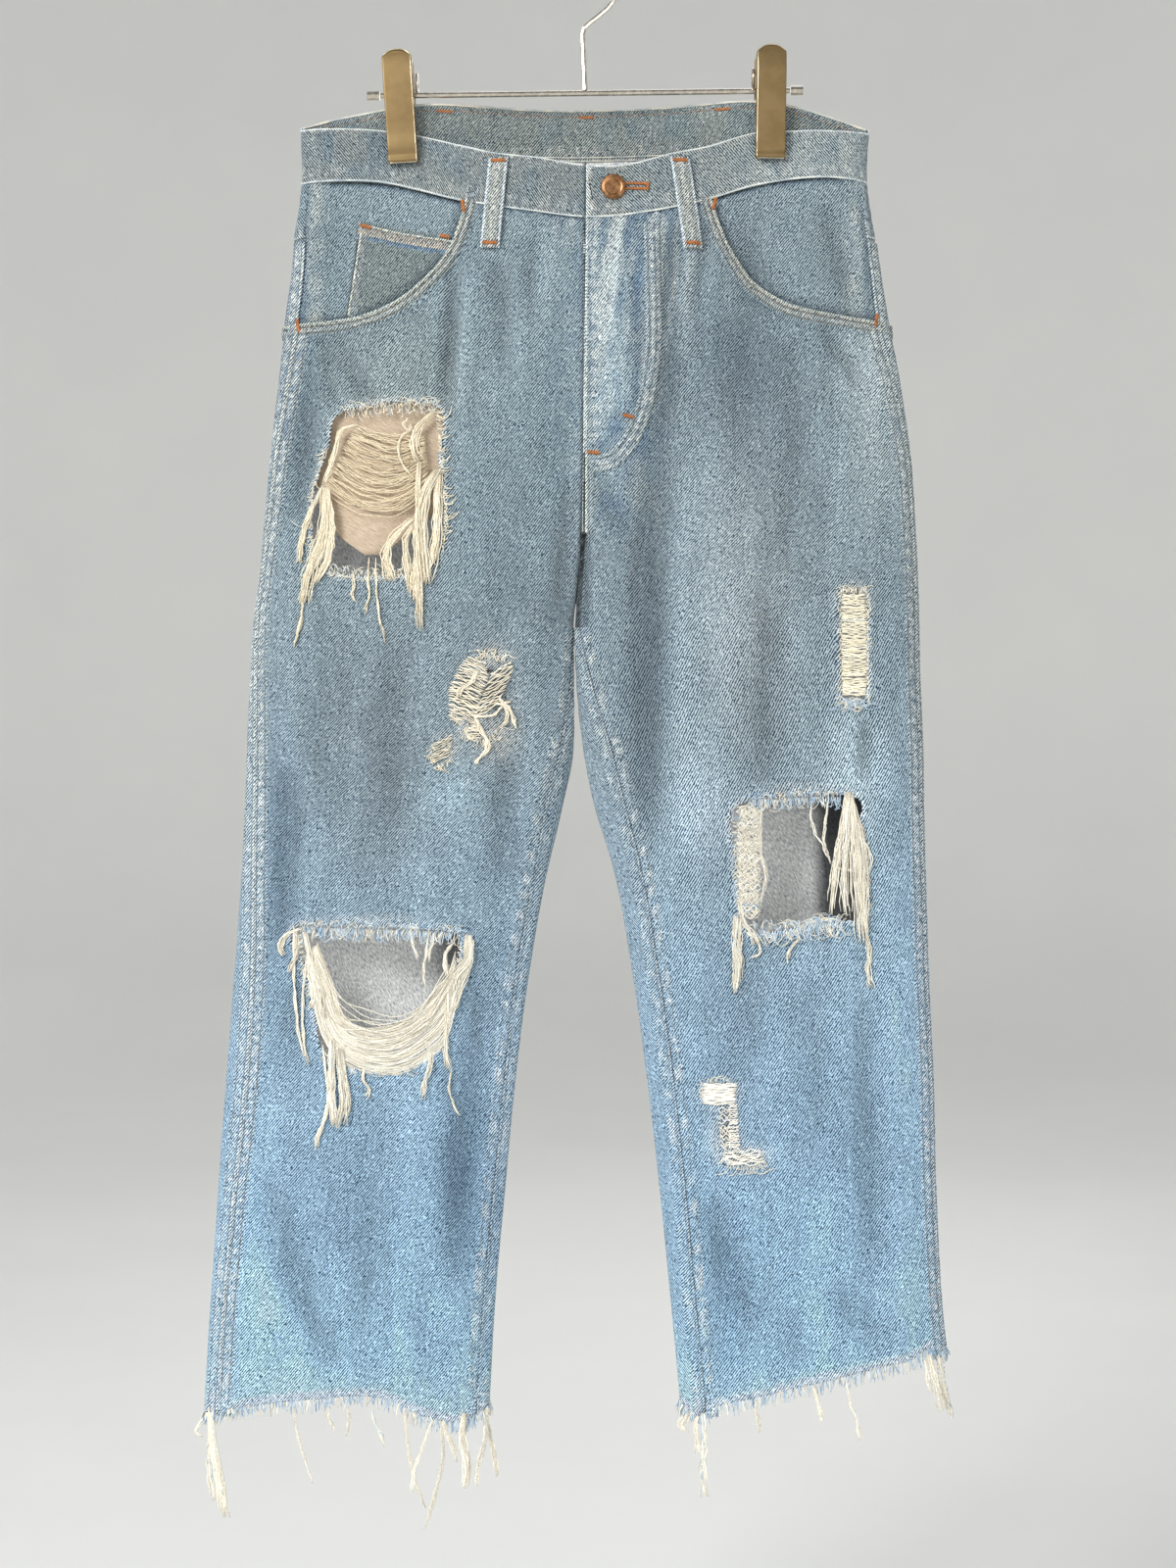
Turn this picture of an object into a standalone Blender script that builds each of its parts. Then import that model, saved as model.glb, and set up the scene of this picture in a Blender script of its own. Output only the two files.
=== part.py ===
"""Ripped five-pocket jeans hanging from a clip hanger.

The cloth is a set of cut pieces: front and back panels, yokes, waistband, belt loops, pocket facings and bags,
coin pocket, back pockets and fly. Each is a thin wall. The hanger is a wire hook, a bar and two sprung clips.

Frame: millimetres in the tables, metres in the meshes; +Z up, the front of the jeans faces -Y, and +X is the
wearer's left. The origin is the inside top of the hook. "drop" is the distance down from the side of the waist.
Right and left are the wearer's.
"""

import math

import bmesh
import bpy
import numpy as np
from mathutils import Vector

MM = 0.001

# Driving sizes, in millimetres
CLOTH = 1.2  # denim wall
BAND_WALL = 2.4  # waistband: two layers of denim
BAND_PROUD = 0.6  # waistband outer face in front of the panels
GAP = 0.3  # clearance between neighbouring pieces
WAIST_Z = -130.0  # side of the waist below the inside top of the hook
FLY_END = 243.0  # drop of the bottom of the fly
SEAT_START = 200.0  # drop where the back starts to divide into legs
CROTCH = 365.0  # drop of the crotch point
PINCH_START = 10.0  # drop where the clips' pinch starts to open
PINCH_END = 120.0  # drop where the pinch has gone
UPPER_REST = 145.0  # panel rows above this follow the waist seam
LOWER_REST = 780.0  # panel rows below this follow the hem
HEM = 945.0  # nominal drop of the hem
FRINGE = 7.0  # length of the short fringe round the hem
ROUNDING = 2.6  # power of the flattened cross-section
CLIP_X = 136.0  # clips to the left and right of the centre
BAR_Z = -105.0
BAR_RADIUS = 2.1
BAR_TILT = 0.0125  # rise of the bar for each unit to the wearer's left
BAR_REACH = 150.5  # half length of the bar between its sleeves
HOOK_RADIUS = 1.8  # wire of the hook
HOOK_BEND = 25.0  # radius of the hook's circle, to the middle of the wire
CLIP_WIDTH = 21.0
CLIP_WALL = 1.2
CLIP_TOP = -28.0  # clip's top end, below the bar
CLIP_BOTTOM = 49.5  # clip's bottom end, below the bar
CLIP_RING = 6.8  # radius of the ring beside each clip
BUTTON_X = 20.6
BUTTON_DROP = 49.0
BUTTON_RADIUS = 9.2

# Panel rows, by drop, and columns
LEG_LEVELS = (190, 240, 290, 330, 365, 410, 460, 500, 540, 620, 700, 780, 860, 945)
FRONT_LEVELS = (45, 62, 80, 100, 120, 145) + LEG_LEVELS
BACK_LEVELS = (88, 100, 120, 145) + LEG_LEVELS
FRONT_COLUMNS = 11
BACK_COLUMNS = 12
SEAM_COLUMN = 1.5  # width of the narrow column beside each seam


def table(columns, *rows):
    """Rows of numbers under named columns, as one array for each column."""
    return {name: np.array(column, float) for name, column in zip(columns.split(), zip(*rows))}


def read(values, column, at):
    """Straight interpolation in a table whose first column is the key."""
    key = next(iter(values))
    return float(np.interp(at, values[key], values[column]))


def smooth(start, end, value):
    """0 before start, 1 after end, with an S-shaped rise between."""
    share = min(1.0, max(0.0, (value - start) / (end - start)))
    return share * share * (3.0 - 2.0 * share)


# Silhouette of each leg. outer, inner: x of the folded edges. seam_out, seam_in: where the side seam and the inseam
# lie on the front, as a share of the width from the inner edge.
RIGHT_LEG = table(
    "drop outer inner seam_out seam_in",
    (-25, -210, 0.35, 0.98, 0.0),
    (45, -208, 0.35, 0.975, 0.0),
    (70, -212, 0.25, 0.965, 0.0),
    (100, -215, 0.05, 0.955, 0.0),
    (145, -221, -0.55, 0.95, 0.0),
    (190, -225, -1.15, 0.965, 0.0),
    (240, -230, -1.75, 0.98, 0.0),
    (290, -234.5, -2.55, 0.985, 0.0),
    (330, -238, -4.75, 0.99, 0.0),
    (365, -242.5, -8.4, 0.988, 0.0),
    (410, -245.5, -8.8, 0.98, 0.01),
    (460, -248, -8.6, 0.97, 0.045),
    (500, -250, -16.5, 0.962, 0.056),
    (540, -252, -26, 0.955, 0.044),
    (620, -257.5, -40.5, 0.93, 0.044),
    (700, -264, -51, 0.918, 0.038),
    (780, -269.5, -58.5, 0.932, 0.04),
    (860, -275, -65.5, 0.941, 0.042),
    (960, -281, -71, 0.945, 0.043),
)
LEFT_LEG = table(
    "drop outer inner seam_out seam_in",
    (-25, 211, 0.65, 0.98, 0.0),
    (45, 207, 0.65, 0.975, 0.0),
    (70, 211, 0.55, 0.97, 0.0),
    (100, 216, 0.35, 0.962, 0.0),
    (145, 224, -0.25, 0.952, 0.0),
    (190, 231, -0.85, 0.975, 0.0),
    (240, 238, -1.45, 0.988, 0.0),
    (290, 241.5, -2.25, 0.99, 0.0),
    (330, 243.5, -4.45, 0.99, 0.0),
    (365, 244.5, -7.4, 0.99, 0.012),
    (410, 245.5, -6.4, 0.99, 0.045),
    (460, 247.5, -1.0, 0.99, 0.084),
    (500, 248, 7, 0.99, 0.092),
    (540, 249, 19.5, 0.99, 0.088),
    (620, 251.5, 34.5, 0.99, 0.088),
    (700, 255, 45.5, 0.99, 0.09),
    (780, 257, 54.5, 0.99, 0.092),
    (860, 261, 62.5, 0.99, 0.09),
    (925, 267, 68.5, 0.99, 0.09),
    (960, 268, 71, 0.99, 0.09),
)

# How far the cloth stands in front of and behind the middle plane
DEPTH = table(
    "drop front back",
    (-25, 16, 17),
    (45, 19, 19),
    (145, 24, 28),
    (240, 27, 35),
    (330, 26, 34),
    (410, 25, 28),
    (540, 22, 23),
    (700, 21, 21),
    (960, 21, 21),
)

# Waist opening between the clips: depth against the share of the half width
WAIST_DEPTH = table(
    "share depth",
    (0.0, 18),
    (0.25, 17),
    (0.4, 12),
    (0.5, 6.5),
    (0.57, 2.9),
    (0.73, 3.3),
    (0.85, 9),
    (0.95, 13),
    (1.0, 14),
)

# Drop of the waistband's edges against x
FRONT_BAND = table(
    "x top seam",
    (-215, 3, 43),
    (-184, 2.5, 41.5),
    (-145, 3.2, 42.5),
    (-123, 6.4, 47.5),
    (-91, 15.7, 57),
    (-69, 22, 61.5),
    (-34, 27, 67),
    (0, 32.5, 71),
    (25, 33, 70),
    (39, 30.4, 68),
    (61, 23.8, 64),
    (88, 17.2, 57),
    (124, 4.5, 44.5),
    (148, 3.2, 40),
    (192, 4.5, 39.5),
    (215, 5.5, 43),
)
BACK_BAND = table(
    "x top seam yoke",
    (-215, 3, 43, 84),
    (-187, -6, 34, 82),
    (-147, -13, 26, 85),
    (-125, -16.5, 22, 87),
    (0, -17.5, 20.5, 99),
    (71, -19.5, 19, 92),
    (116, -20, 19, 87),
    (150, -16, 24, 84),
    (195, -3, 36, 82),
    (215, 5.5, 43, 84),
)

# Drop of the tip of the fringe against the share of the leg's width from its inner edge
RIGHT_HEM = table(
    "share drop",
    (0.0, 943),
    (0.05, 950),
    (0.12, 953),
    (0.19, 950),
    (0.26, 945),
    (0.31, 939),
    (0.62, 935),
    (0.83, 941),
    (1.0, 949),
)
LEFT_HEM = table(
    "share drop",
    (0.0, 942),
    (0.06, 949),
    (0.13, 942),
    (0.26, 935),
    (0.53, 922),
    (0.77, 911),
    (0.88, 906),
    (0.92, 901),
    (1.0, 903.5),
)

# Pocket mouths: the curved edge of each front panel, from the waist seam to the side seam
RIGHT_MOUTH = table(
    "x drop",
    (-87, 56),
    (-92, 75),
    (-98, 91),
    (-107, 105),
    (-118, 116),
    (-130, 126),
    (-146, 135.5),
    (-164, 142),
    (-185, 145),
    (-224, 147),
)
LEFT_MOUTH = table(
    "x drop",
    (92, 54),
    (97, 70),
    (103, 86),
    (110, 99),
    (121, 115),
    (134, 125),
    (147, 133),
    (165, 138),
    (186, 141.5),
    (228, 146),
)

# Rips that are open holes: corners in order round the edge
THIGH_RIP = table(
    "x drop",
    (-175, 212),
    (-108, 209),
    (-106, 248),
    (-103, 284),
    (-106, 312),
    (-118, 328),
    (-157, 332),
    (-190, 325),
    (-198, 298),
    (-196, 266),
    (-186, 239),
)
RIGHT_KNEE_RIP = table(
    "x drop",
    (-207, 585),
    (-101, 589),
    (-91, 599),
    (-96, 631),
    (-103, 660),
    (-111, 680),
    (-140, 689),
    (-175, 687),
    (-191, 674),
    (-196, 645),
    (-204, 613),
)
LEFT_KNEE_RIP = table(
    "x drop",
    (112, 497),
    (193, 491),
    (198, 518),
    (201, 553),
    (202, 578),
    (172, 583),
    (155, 585),
    (126, 591),
    (113, 581),
    (110, 539),
)
THIGH_STRIP = table("x drop", (185, 344), (205, 344), (205, 420), (185, 420))

# Pieces laid on or under a panel: one row for each level, with the x of its two edges. The distances that each
# lies out from the panel's outer face, and how thick it is, are in PATCHES.
ROWS = "drop low high"
PATCH_ROWS = {
    "pocket_facing_right": table(
        ROWS,
        (44, -204, -140),
        (58, -207, -90),
        (80, -208.5, -86),
        (105, -210, -90),
        (130, -211, -108),
        (150, -211, -132),
        (165, -212, -165),
    ),
    "pocket_facing_left": table(
        ROWS,
        (44, 140, 203),
        (56, 95, 206),
        (80, 89, 209),
        (105, 93, 211.5),
        (130, 112, 213),
        (150, 136, 214.5),
        (163, 168, 216),
    ),
    "coin_pocket": table(
        ROWS,
        (72, -163.5, -157),
        (85, -165, -97),
        (105, -168, -100),
        (125, -171, -110),
        (145, -174, -128),
    ),
    "pocket_bag_right": table(
        ROWS,
        (68, -192, -86),
        (150, -200, -88),
        (250, -200, -98),
        (290, -192, -112),
        (305, -176, -132),
        (316, -160, -150),
    ),
    "pocket_bag_left": table(
        ROWS,
        (66, 90, 192),
        (150, 90, 202),
        (250, 100, 204),
        (290, 114, 196),
        (305, 134, 180),
        (316, 152, 164),
    ),
    "fly_facing": table(ROWS, (73, 2, 42), (190, 1, 42), (218, 0.6, 36), (234, 0.2, 24), (243, 0, 14)),
    "zip": table(ROWS, (78, -7, 21), (236, -9, 19)),
    "fly_shield": table(ROWS, (75, -14, 45), (236, -16, 40)),
    "belt_loop_front_right": table(ROWS, (27, -69.5, -55.5), (94, -76, -62)),
    "belt_loop_front_left": table(ROWS, (26.5, 61.5, 75.5), (94, 71.5, 85.5)),
    "belt_loop_back_right": table(ROWS, (-15, -109, -95), (53, -109, -95)),
    "belt_loop_back_centre": table(ROWS, (-15.5, -6, 8), (52.5, -6, 8)),
    "belt_loop_back_left": table(ROWS, (-18, 98, 112), (50, 98, 112)),
    "back_pocket_right": table(
        ROWS,
        (112, -192, -54),
        (200, -186, -60),
        (236, -184, -62),
        (266, -130, -116),
    ),
    "back_pocket_left": table(ROWS, (112, 54, 192), (200, 60, 186), (236, 62, 184), (266, 116, 130)),
    "thigh_threads": table(
        ROWS,
        (214, -172, -112),
        (234, -181, -111),
        (250, -188, -110),
        (262, -192, -110),
    ),
    "thigh_tassel_outer": table(
        ROWS,
        (213, -186, -176),
        (240, -193, -187),
        (268, -204, -198),
        (312, -212, -199.5),
        (340, -211, -200),
        (378, -212, -206),
    ),
    "thigh_tassel_inner": table(
        ROWS,
        (206, -116, -104),
        (250, -104.5, -97),
        (285, -101.5, -95),
        (312, -104, -96),
        (332, -121, -108),
        (372, -124, -116),
    ),
    "thigh_tassel_low": table(ROWS, (330, -160, -128), (345, -159, -134), (372, -155, -139)),
    "worn_patch": table(
        ROWS,
        (385, -78, -55),
        (397, -95, -56),
        (425, -97, -55),
        (448, -95, -53),
        (462, -112, -78),
        (472, -112, -95),
    ),
    "knee_swag": table(
        ROWS,
        (628, -199.8, -96),
        (650, -194.8, -100.9),
        (670, -191.2, -107.6),
        (684, -168, -131),
    ),
    "knee_tassel_outer": table(
        ROWS,
        (586, -222, -209),
        (616, -214, -205.5),
        (650, -211, -198),
        (676, -208, -193),
        (692, -200, -178),
        (720, -190, -176),
        (748, -196, -178),
    ),
    "knee_tassel_inner": table(
        ROWS,
        (592, -90, -82),
        (630, -95, -84),
        (660, -102, -92),
        (690, -106, -96),
        (722, -101, -92),
    ),
    "thigh_strip_threads": table(ROWS, (345, 185.4, 204.6), (419, 185.4, 204.6)),
    "thigh_strip_tassel": table(ROWS, (421, 184, 206), (430, 186, 204)),
    "left_knee_threads": table(ROWS, (499, 113.5, 128), (540, 111, 127), (577, 113, 127)),
    "left_knee_tassel_inner": table(
        ROWS,
        (570, 105, 110),
        (594, 106, 128),
        (608, 104, 124),
        (630, 104, 112),
    ),
    "left_knee_tassel_outer": table(
        ROWS,
        (488, 194.5, 202),
        (520, 199, 206),
        (560, 202, 209),
        (590, 198, 210),
        (632, 202, 210),
    ),
    "shin_threads": table(
        ROWS,
        (699, 84, 110),
        (715, 84, 110),
        (717, 92, 112),
        (747, 92, 112),
        (750, 96, 132),
        (764, 100, 128),
    ),
    "hem_tassel_right_outer": table(ROWS, (944, -276, -262), (975, -274, -263), (1018, -272, -266)),
    "hem_tassel_right_middle": table(ROWS, (930, -208, -198), (992, -204, -198)),
    "hem_tassel_right_inner": table(ROWS, (948, -136, -106), (985, -128, -104), (1026, -120, -113)),
    "hem_tassel_right_edge": table(ROWS, (947, -92, -76), (972, -90, -72), (998, -86, -68)),
    "hem_tassel_left_inner": table(ROWS, (947, 80, 92), (975, 81, 90), (1003, 82, 87)),
    "hem_tassel_left_middle": table(ROWS, (922, 160, 202), (940, 166, 204)),
    "hem_tassel_left_outer": table(ROWS, (904, 246, 262), (925, 252, 266), (944, 258, 272)),
}

# name: (distance of the outer face out from the panel, thickness, back or front, colour name)
PATCHES = {
    "pocket_facing_right": (-3.1, CLOTH, "front", "denim"),
    "pocket_facing_left": (-1.9, CLOTH, "front", "denim"),
    "coin_pocket": (-1.6, CLOTH, "front", "denim"),
    "pocket_bag_right": (-4.9, 1.0, "front", "pocketing"),
    "pocket_bag_left": (-3.8, 1.0, "front", "pocketing"),
    "fly_facing": (-1.7, CLOTH, "front", "denim"),
    "zip": (-3.3, 1.6, "front", "brass"),
    "fly_shield": (-5.3, CLOTH, "front", "denim"),
    "belt_loop_front_right": (3.4, 2.0, "front", "denim"),
    "belt_loop_front_left": (3.4, 2.0, "front", "denim"),
    "belt_loop_back_right": (3.4, 2.0, "back", "denim"),
    "belt_loop_back_centre": (3.4, 2.0, "back", "denim"),
    "belt_loop_back_left": (3.4, 2.0, "back", "denim"),
    "back_pocket_right": (2.5, CLOTH, "back", "denim"),
    "back_pocket_left": (2.5, CLOTH, "back", "denim"),
    "thigh_threads": (0.2, 1.4, "front", "thread"),
    "thigh_tassel_outer": (2.6, 2.0, "front", "thread"),
    "thigh_tassel_inner": (2.6, 2.0, "front", "thread"),
    "thigh_tassel_low": (2.6, 2.0, "front", "thread"),
    "worn_patch": (1.7, 1.2, "front", "thread"),
    "knee_swag": (0.2, 1.4, "front", "thread"),
    "knee_tassel_outer": (2.6, 2.0, "front", "thread"),
    "knee_tassel_inner": (2.6, 2.0, "front", "thread"),
    "thigh_strip_threads": (0.0, CLOTH, "front", "thread"),
    "thigh_strip_tassel": (2.6, 2.0, "front", "thread"),
    "left_knee_threads": (0.2, 1.4, "front", "thread"),
    "left_knee_tassel_inner": (2.6, 2.0, "front", "thread"),
    "left_knee_tassel_outer": (2.6, 2.0, "front", "thread"),
    "shin_threads": (1.7, 1.2, "front", "thread"),
    "hem_tassel_right_outer": (2.6, 2.0, "front", "thread"),
    "hem_tassel_right_middle": (2.6, 2.0, "front", "thread"),
    "hem_tassel_right_inner": (2.6, 2.0, "front", "thread"),
    "hem_tassel_right_edge": (2.6, 2.0, "front", "thread"),
    "hem_tassel_left_inner": (2.6, 2.0, "front", "thread"),
    "hem_tassel_left_middle": (2.6, 2.0, "front", "thread"),
    "hem_tassel_left_outer": (2.6, 2.0, "front", "thread"),
}

# colour name: (linear red, green, blue, roughness, metallic)
FINISHES = {
    "denim": (0.16, 0.29, 0.44, 0.9, 0.0),
    "thread": (0.76, 0.72, 0.62, 0.95, 0.0),
    "pocketing": (0.62, 0.54, 0.42, 0.95, 0.0),
    "brass": (0.42, 0.3, 0.14, 0.4, 1.0),
    "copper": (0.34, 0.15, 0.08, 0.4, 1.0),
    "nickel": (0.6, 0.58, 0.52, 0.3, 1.0),
    "clip_bronze": (0.34, 0.3, 0.22, 0.35, 1.0),
}


def clear_scene():
    for item in list(bpy.data.objects):
        bpy.data.objects.remove(item, do_unlink=True)


def collection(name):
    group = bpy.data.collections.new(name)
    bpy.context.scene.collection.children.link(group)
    return group


def finish(name):
    """The Principled material of one finish, made once."""
    found = bpy.data.materials.get(name)
    if found:
        return found
    red, green, blue, roughness, metallic = FINISHES[name]
    made = bpy.data.materials.new(name)
    made.use_nodes = True
    shader = made.node_tree.nodes["Principled BSDF"]
    shader.inputs["Base Color"].default_value = (red, green, blue, 1.0)
    shader.inputs["Roughness"].default_value = roughness
    shader.inputs["Metallic"].default_value = metallic
    made.diffuse_color = (red, green, blue, 1.0)
    return made


def add_object(name, mesh, group, finish_name):
    item = bpy.data.objects.new(name, mesh)
    group.objects.link(item)
    mesh.materials.append(finish(finish_name))
    return item


def share(phi):
    """Share of a leg's width at an angle round it: 0 at the inner edge, 1 at the outer edge."""
    return (1.0 - math.cos(phi)) / 2.0


def wrapped(phi):
    """The same angle within one turn."""
    return phi - 2.0 * math.pi if phi > 2.0 * math.pi else phi


def angle(width_share):
    """Angle on the front of a leg for a share of its width."""
    return math.acos(1.0 - 2.0 * min(1.0, max(0.0, width_share)))


def cloth_point(leg, phi, drop):
    """Outer face of the cloth: 0 to pi is the front from the inner edge out, pi to two pi is the back again.

    Above the crotch the section is a flattened half tube that starts at the centre line. Below it, it is a whole
    flattened tube. The two shapes are mixed where the fly and the seat run down into the crotch.
    """
    front = phi <= math.pi
    across = share(phi)
    inner = read(leg, "inner", drop)
    outer = read(leg, "outer", drop)
    half_tube = math.sqrt(max(0.0, 1.0 - across**ROUNDING))
    whole_tube = math.sqrt(max(0.0, 1.0 - abs(math.cos(phi)) ** ROUNDING))
    fork = smooth(FLY_END if front else SEAT_START, CROTCH, drop)
    opened = smooth(PINCH_START, PINCH_END, drop)
    at_waist = read(WAIST_DEPTH, "depth", across)
    below = read(DEPTH, "front" if front else "back", drop)
    depth = at_waist + opened * (below - at_waist)
    depth *= half_tube + fork * (whole_tube - half_tube)
    return Vector((inner + across * (outer - inner), -depth if front else depth, WAIST_Z - drop))


def cloth_normal(leg, phi, drop):
    """Outward direction of the cloth, from differences a small step apart."""
    small = 0.01
    round_leg = cloth_point(leg, phi + small, drop) - cloth_point(leg, phi - small, drop)
    down_leg = cloth_point(leg, phi, drop + 1.0) - cloth_point(leg, phi, drop - 1.0)
    out = round_leg.cross(down_leg).normalized()
    return out if leg is RIGHT_LEG else -out


def moved_out(leg, phi, drop, distance):
    return cloth_point(leg, phi, drop) + distance * cloth_normal(leg, phi, drop)


def stepped(leg, phi, drop, distance):
    """The angle a given distance further round the leg, found in short steps."""
    small = math.copysign(0.004, distance)
    travelled = 0.0
    here = cloth_point(leg, wrapped(phi), drop)
    while travelled < abs(distance):
        phi += small
        there = cloth_point(leg, wrapped(phi), drop)
        travelled += (there - here).length
        here = there
    return phi


def leg_at(x, drop):
    """The leg that a point on the front or the back belongs to."""
    return LEFT_LEG if x > read(LEFT_LEG, "inner", drop) - 0.2 else RIGHT_LEG


def skin_point(x, drop, face, distance):
    """A point a distance out from the cloth's outer face, at a given x and drop."""
    leg = leg_at(x, drop)
    inner = read(leg, "inner", drop)
    outer = read(leg, "outer", drop)
    phi = angle((x - inner) / (outer - inner))
    phi = min(max(phi, 0.02), math.pi - 0.02)
    if face == "back":
        phi = 2.0 * math.pi - phi
    return moved_out(leg, phi, drop, distance)


def grid_mesh(name, rows, outward, closed=False):
    """A sheet of quads through rows of points, its faces turned towards the outward direction."""
    width = len(rows[0])
    points = [point * MM for row in rows for point in row]
    last = width if closed else width - 1
    faces = []
    for i in range(len(rows) - 1):
        for j in range(last):
            k = (j + 1) % width
            faces.append((i * width + j, i * width + k, (i + 1) * width + k, (i + 1) * width + j))
    a, b, _, d = (points[index] for index in faces[0])
    if (b - a).cross(d - a).dot(outward) < 0.0:
        faces = [face[::-1] for face in faces]
    mesh = bpy.data.meshes.new(name)
    mesh.from_pydata(points, [], faces)
    mesh.shade_smooth()
    return mesh


def walled(item, thickness):
    """Gives a sheet its thickness on its inner side."""
    wall = item.modifiers.new("wall", "SOLIDIFY")
    wall.thickness = thickness * MM
    wall.offset = -1.0
    return wall


def hem_drop(leg, across):
    return read(RIGHT_HEM if leg is RIGHT_LEG else LEFT_HEM, "drop", across)


def row_drop(leg, level, across, x, back):
    """Drop of a panel's row: level, bent to the seam at its top and to the hem at its bottom."""
    if level < UPPER_REST:
        seam = read(BACK_BAND, "yoke", x) if back else read(FRONT_BAND, "seam", x)
        top = seam + GAP
        start = BACK_LEVELS[0] if back else FRONT_LEVELS[0]
        return top + (level - start) / (UPPER_REST - start) * (UPPER_REST - top)
    if level > LOWER_REST:
        end = hem_drop(leg, across) - FRINGE
        return LOWER_REST + (level - LOWER_REST) / (HEM - LOWER_REST) * (end - LOWER_REST)
    return level


def panel_angles(leg, level, back):
    """Angles of a panel's columns between its two seams, with a narrow column beside each seam."""
    inseam = angle(read(leg, "seam_in", level))
    side_seam = angle(read(leg, "seam_out", level))
    inseam_gap = GAP / 2.0 if level >= CROTCH else 0.0
    start = stepped(leg, inseam, level, inseam_gap)
    end = stepped(leg, side_seam, level, -GAP / 2.0)
    if back:
        start = stepped(leg, side_seam, level, GAP / 2.0)
        end = stepped(leg, 2.0 * math.pi + inseam, level, -inseam_gap)
    first = stepped(leg, start, level, SEAM_COLUMN)
    last = stepped(leg, end, level, -SEAM_COLUMN)
    columns = BACK_COLUMNS if back else FRONT_COLUMNS
    return [start] + [first + (last - first) * j / columns for j in range(columns + 1)] + [end]


def panel_rows(leg, levels, back):
    """Points of one panel, level by level, between its two seams."""
    rows = []
    for level in levels:
        row = []
        for phi in panel_angles(leg, level, back):
            across = share(phi)
            inner = read(leg, "inner", level)
            x = inner + across * (read(leg, "outer", level) - inner)
            drop = row_drop(leg, level, across, x, back)
            row.append(cloth_point(leg, wrapped(phi), drop))
        rows.append(row)
    return rows


def cutter(name, outline, group):
    """A plain prism through the front of the cloth, along the corners of a rip or a pocket mouth."""
    near = -80.0
    far = -0.2
    mesh = bpy.data.meshes.new(name)
    shape = bmesh.new()
    corners = [shape.verts.new(Vector((x, near, WAIST_Z - drop)) * MM) for x, drop in outline]
    face = shape.faces.new(corners)
    pushed = bmesh.ops.extrude_face_region(shape, geom=[face])
    moved = [item for item in pushed["geom"] if isinstance(item, bmesh.types.BMVert)]
    bmesh.ops.translate(shape, verts=moved, vec=(0.0, (far - near) * MM, 0.0))
    bmesh.ops.recalc_face_normals(shape, faces=shape.faces)
    shape.to_mesh(mesh)
    shape.free()
    item = bpy.data.objects.new(name, mesh)
    item.hide_render = True
    item.display_type = "WIRE"
    group.objects.link(item)
    return item


def cut_with(item, tool):
    cut = item.modifiers.new(tool.name, "BOOLEAN")
    cut.operation = "DIFFERENCE"
    cut.solver = "EXACT"
    cut.object = tool


def outline_of(values):
    return list(zip(values["x"], values["drop"]))


def mouth_outline(values):
    """A pocket mouth's edge, closed above and beyond the side seam."""
    edge = outline_of(values)
    outer = edge[-1][0] * 1.06
    return edge + [(outer, edge[-1][1]), (outer, 20.0), (edge[0][0] * 0.97, 20.0)]


def build_front_panel(name, leg, mouth, rips, cloth, tools):
    mesh = grid_mesh(name, panel_rows(leg, FRONT_LEVELS, back=False), Vector((0.0, -1.0, 0.0)))
    panel = add_object(name, mesh, cloth, "denim")
    walled(panel, CLOTH)
    cut_with(panel, cutter(name + "_mouth", mouth_outline(mouth), tools))
    for rip_name, rip in rips.items():
        cut_with(panel, cutter(rip_name, outline_of(rip), tools))


def build_back_panel(name, leg, cloth):
    rows = panel_rows(leg, BACK_LEVELS, back=True)
    side = Vector((1.0 if leg is LEFT_LEG else -1.0, -0.2, 0.0))
    walled(add_object(name, grid_mesh(name, rows, side), cloth, "denim"), CLOTH)


def build_yoke(name, leg, cloth):
    """The shaped piece between the back of the waistband and the back panel."""
    rows = []
    for part in (0.0, 0.5, 1.0):
        row = []
        for phi in panel_angles(leg, 60.0, back=True):
            inner = read(leg, "inner", 60.0)
            x = inner + share(phi) * (read(leg, "outer", 60.0) - inner)
            band = FRONT_BAND if phi < math.pi else BACK_BAND
            top = read(band, "seam", x) + GAP
            bottom = read(BACK_BAND, "yoke", x) - GAP
            row.append(cloth_point(leg, phi, top + part * (bottom - top)))
        rows.append(row)
    side = Vector((1.0 if leg is LEFT_LEG else -1.0, -0.2, 0.0))
    walled(add_object(name, grid_mesh(name, rows, side), cloth, "denim"), CLOTH)


def band_column(leg, phi, inset):
    """The three points of the waistband at one angle: its top edge, its middle and its seam."""
    inner = read(leg, "inner", 20.0)
    x = inner + share(phi) * (read(leg, "outer", 20.0) - inner)
    band = FRONT_BAND if phi <= math.pi else BACK_BAND
    top = read(band, "top", x)
    seam = read(band, "seam", x)
    return [moved_out(leg, phi, drop, BAND_PROUD - inset) for drop in (top, (top + seam) / 2.0, seam)]


def build_waistband(cloth):
    """One strip: from the buttonhole end at the centre front, round the left side and the back, to the button end,
    which carries on under the buttonhole end."""
    around = 28
    tuck = BAND_WALL + GAP
    columns = []
    for j in range(around + 1):
        columns.append(band_column(LEFT_LEG, 0.02 + (2.0 * math.pi - 0.02) * j / around, 0.0))
    for j in range(1, around + 1):
        phi = 2.0 * math.pi - (2.0 * math.pi - 0.17) * j / around
        columns.append(band_column(RIGHT_LEG, phi, 0.0))
    for phi in (0.06, 0.35, 0.6, 0.86):
        leg = RIGHT_LEG if phi < 0.1 else LEFT_LEG
        columns.append(band_column(leg, phi, tuck))
    rows = [[column[level] for column in columns] for level in range(3)]
    mesh = grid_mesh("waistband", rows, Vector((0.0, -1.0, 0.0)))
    walled(add_object("waistband", mesh, cloth, "denim"), BAND_WALL)


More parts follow.
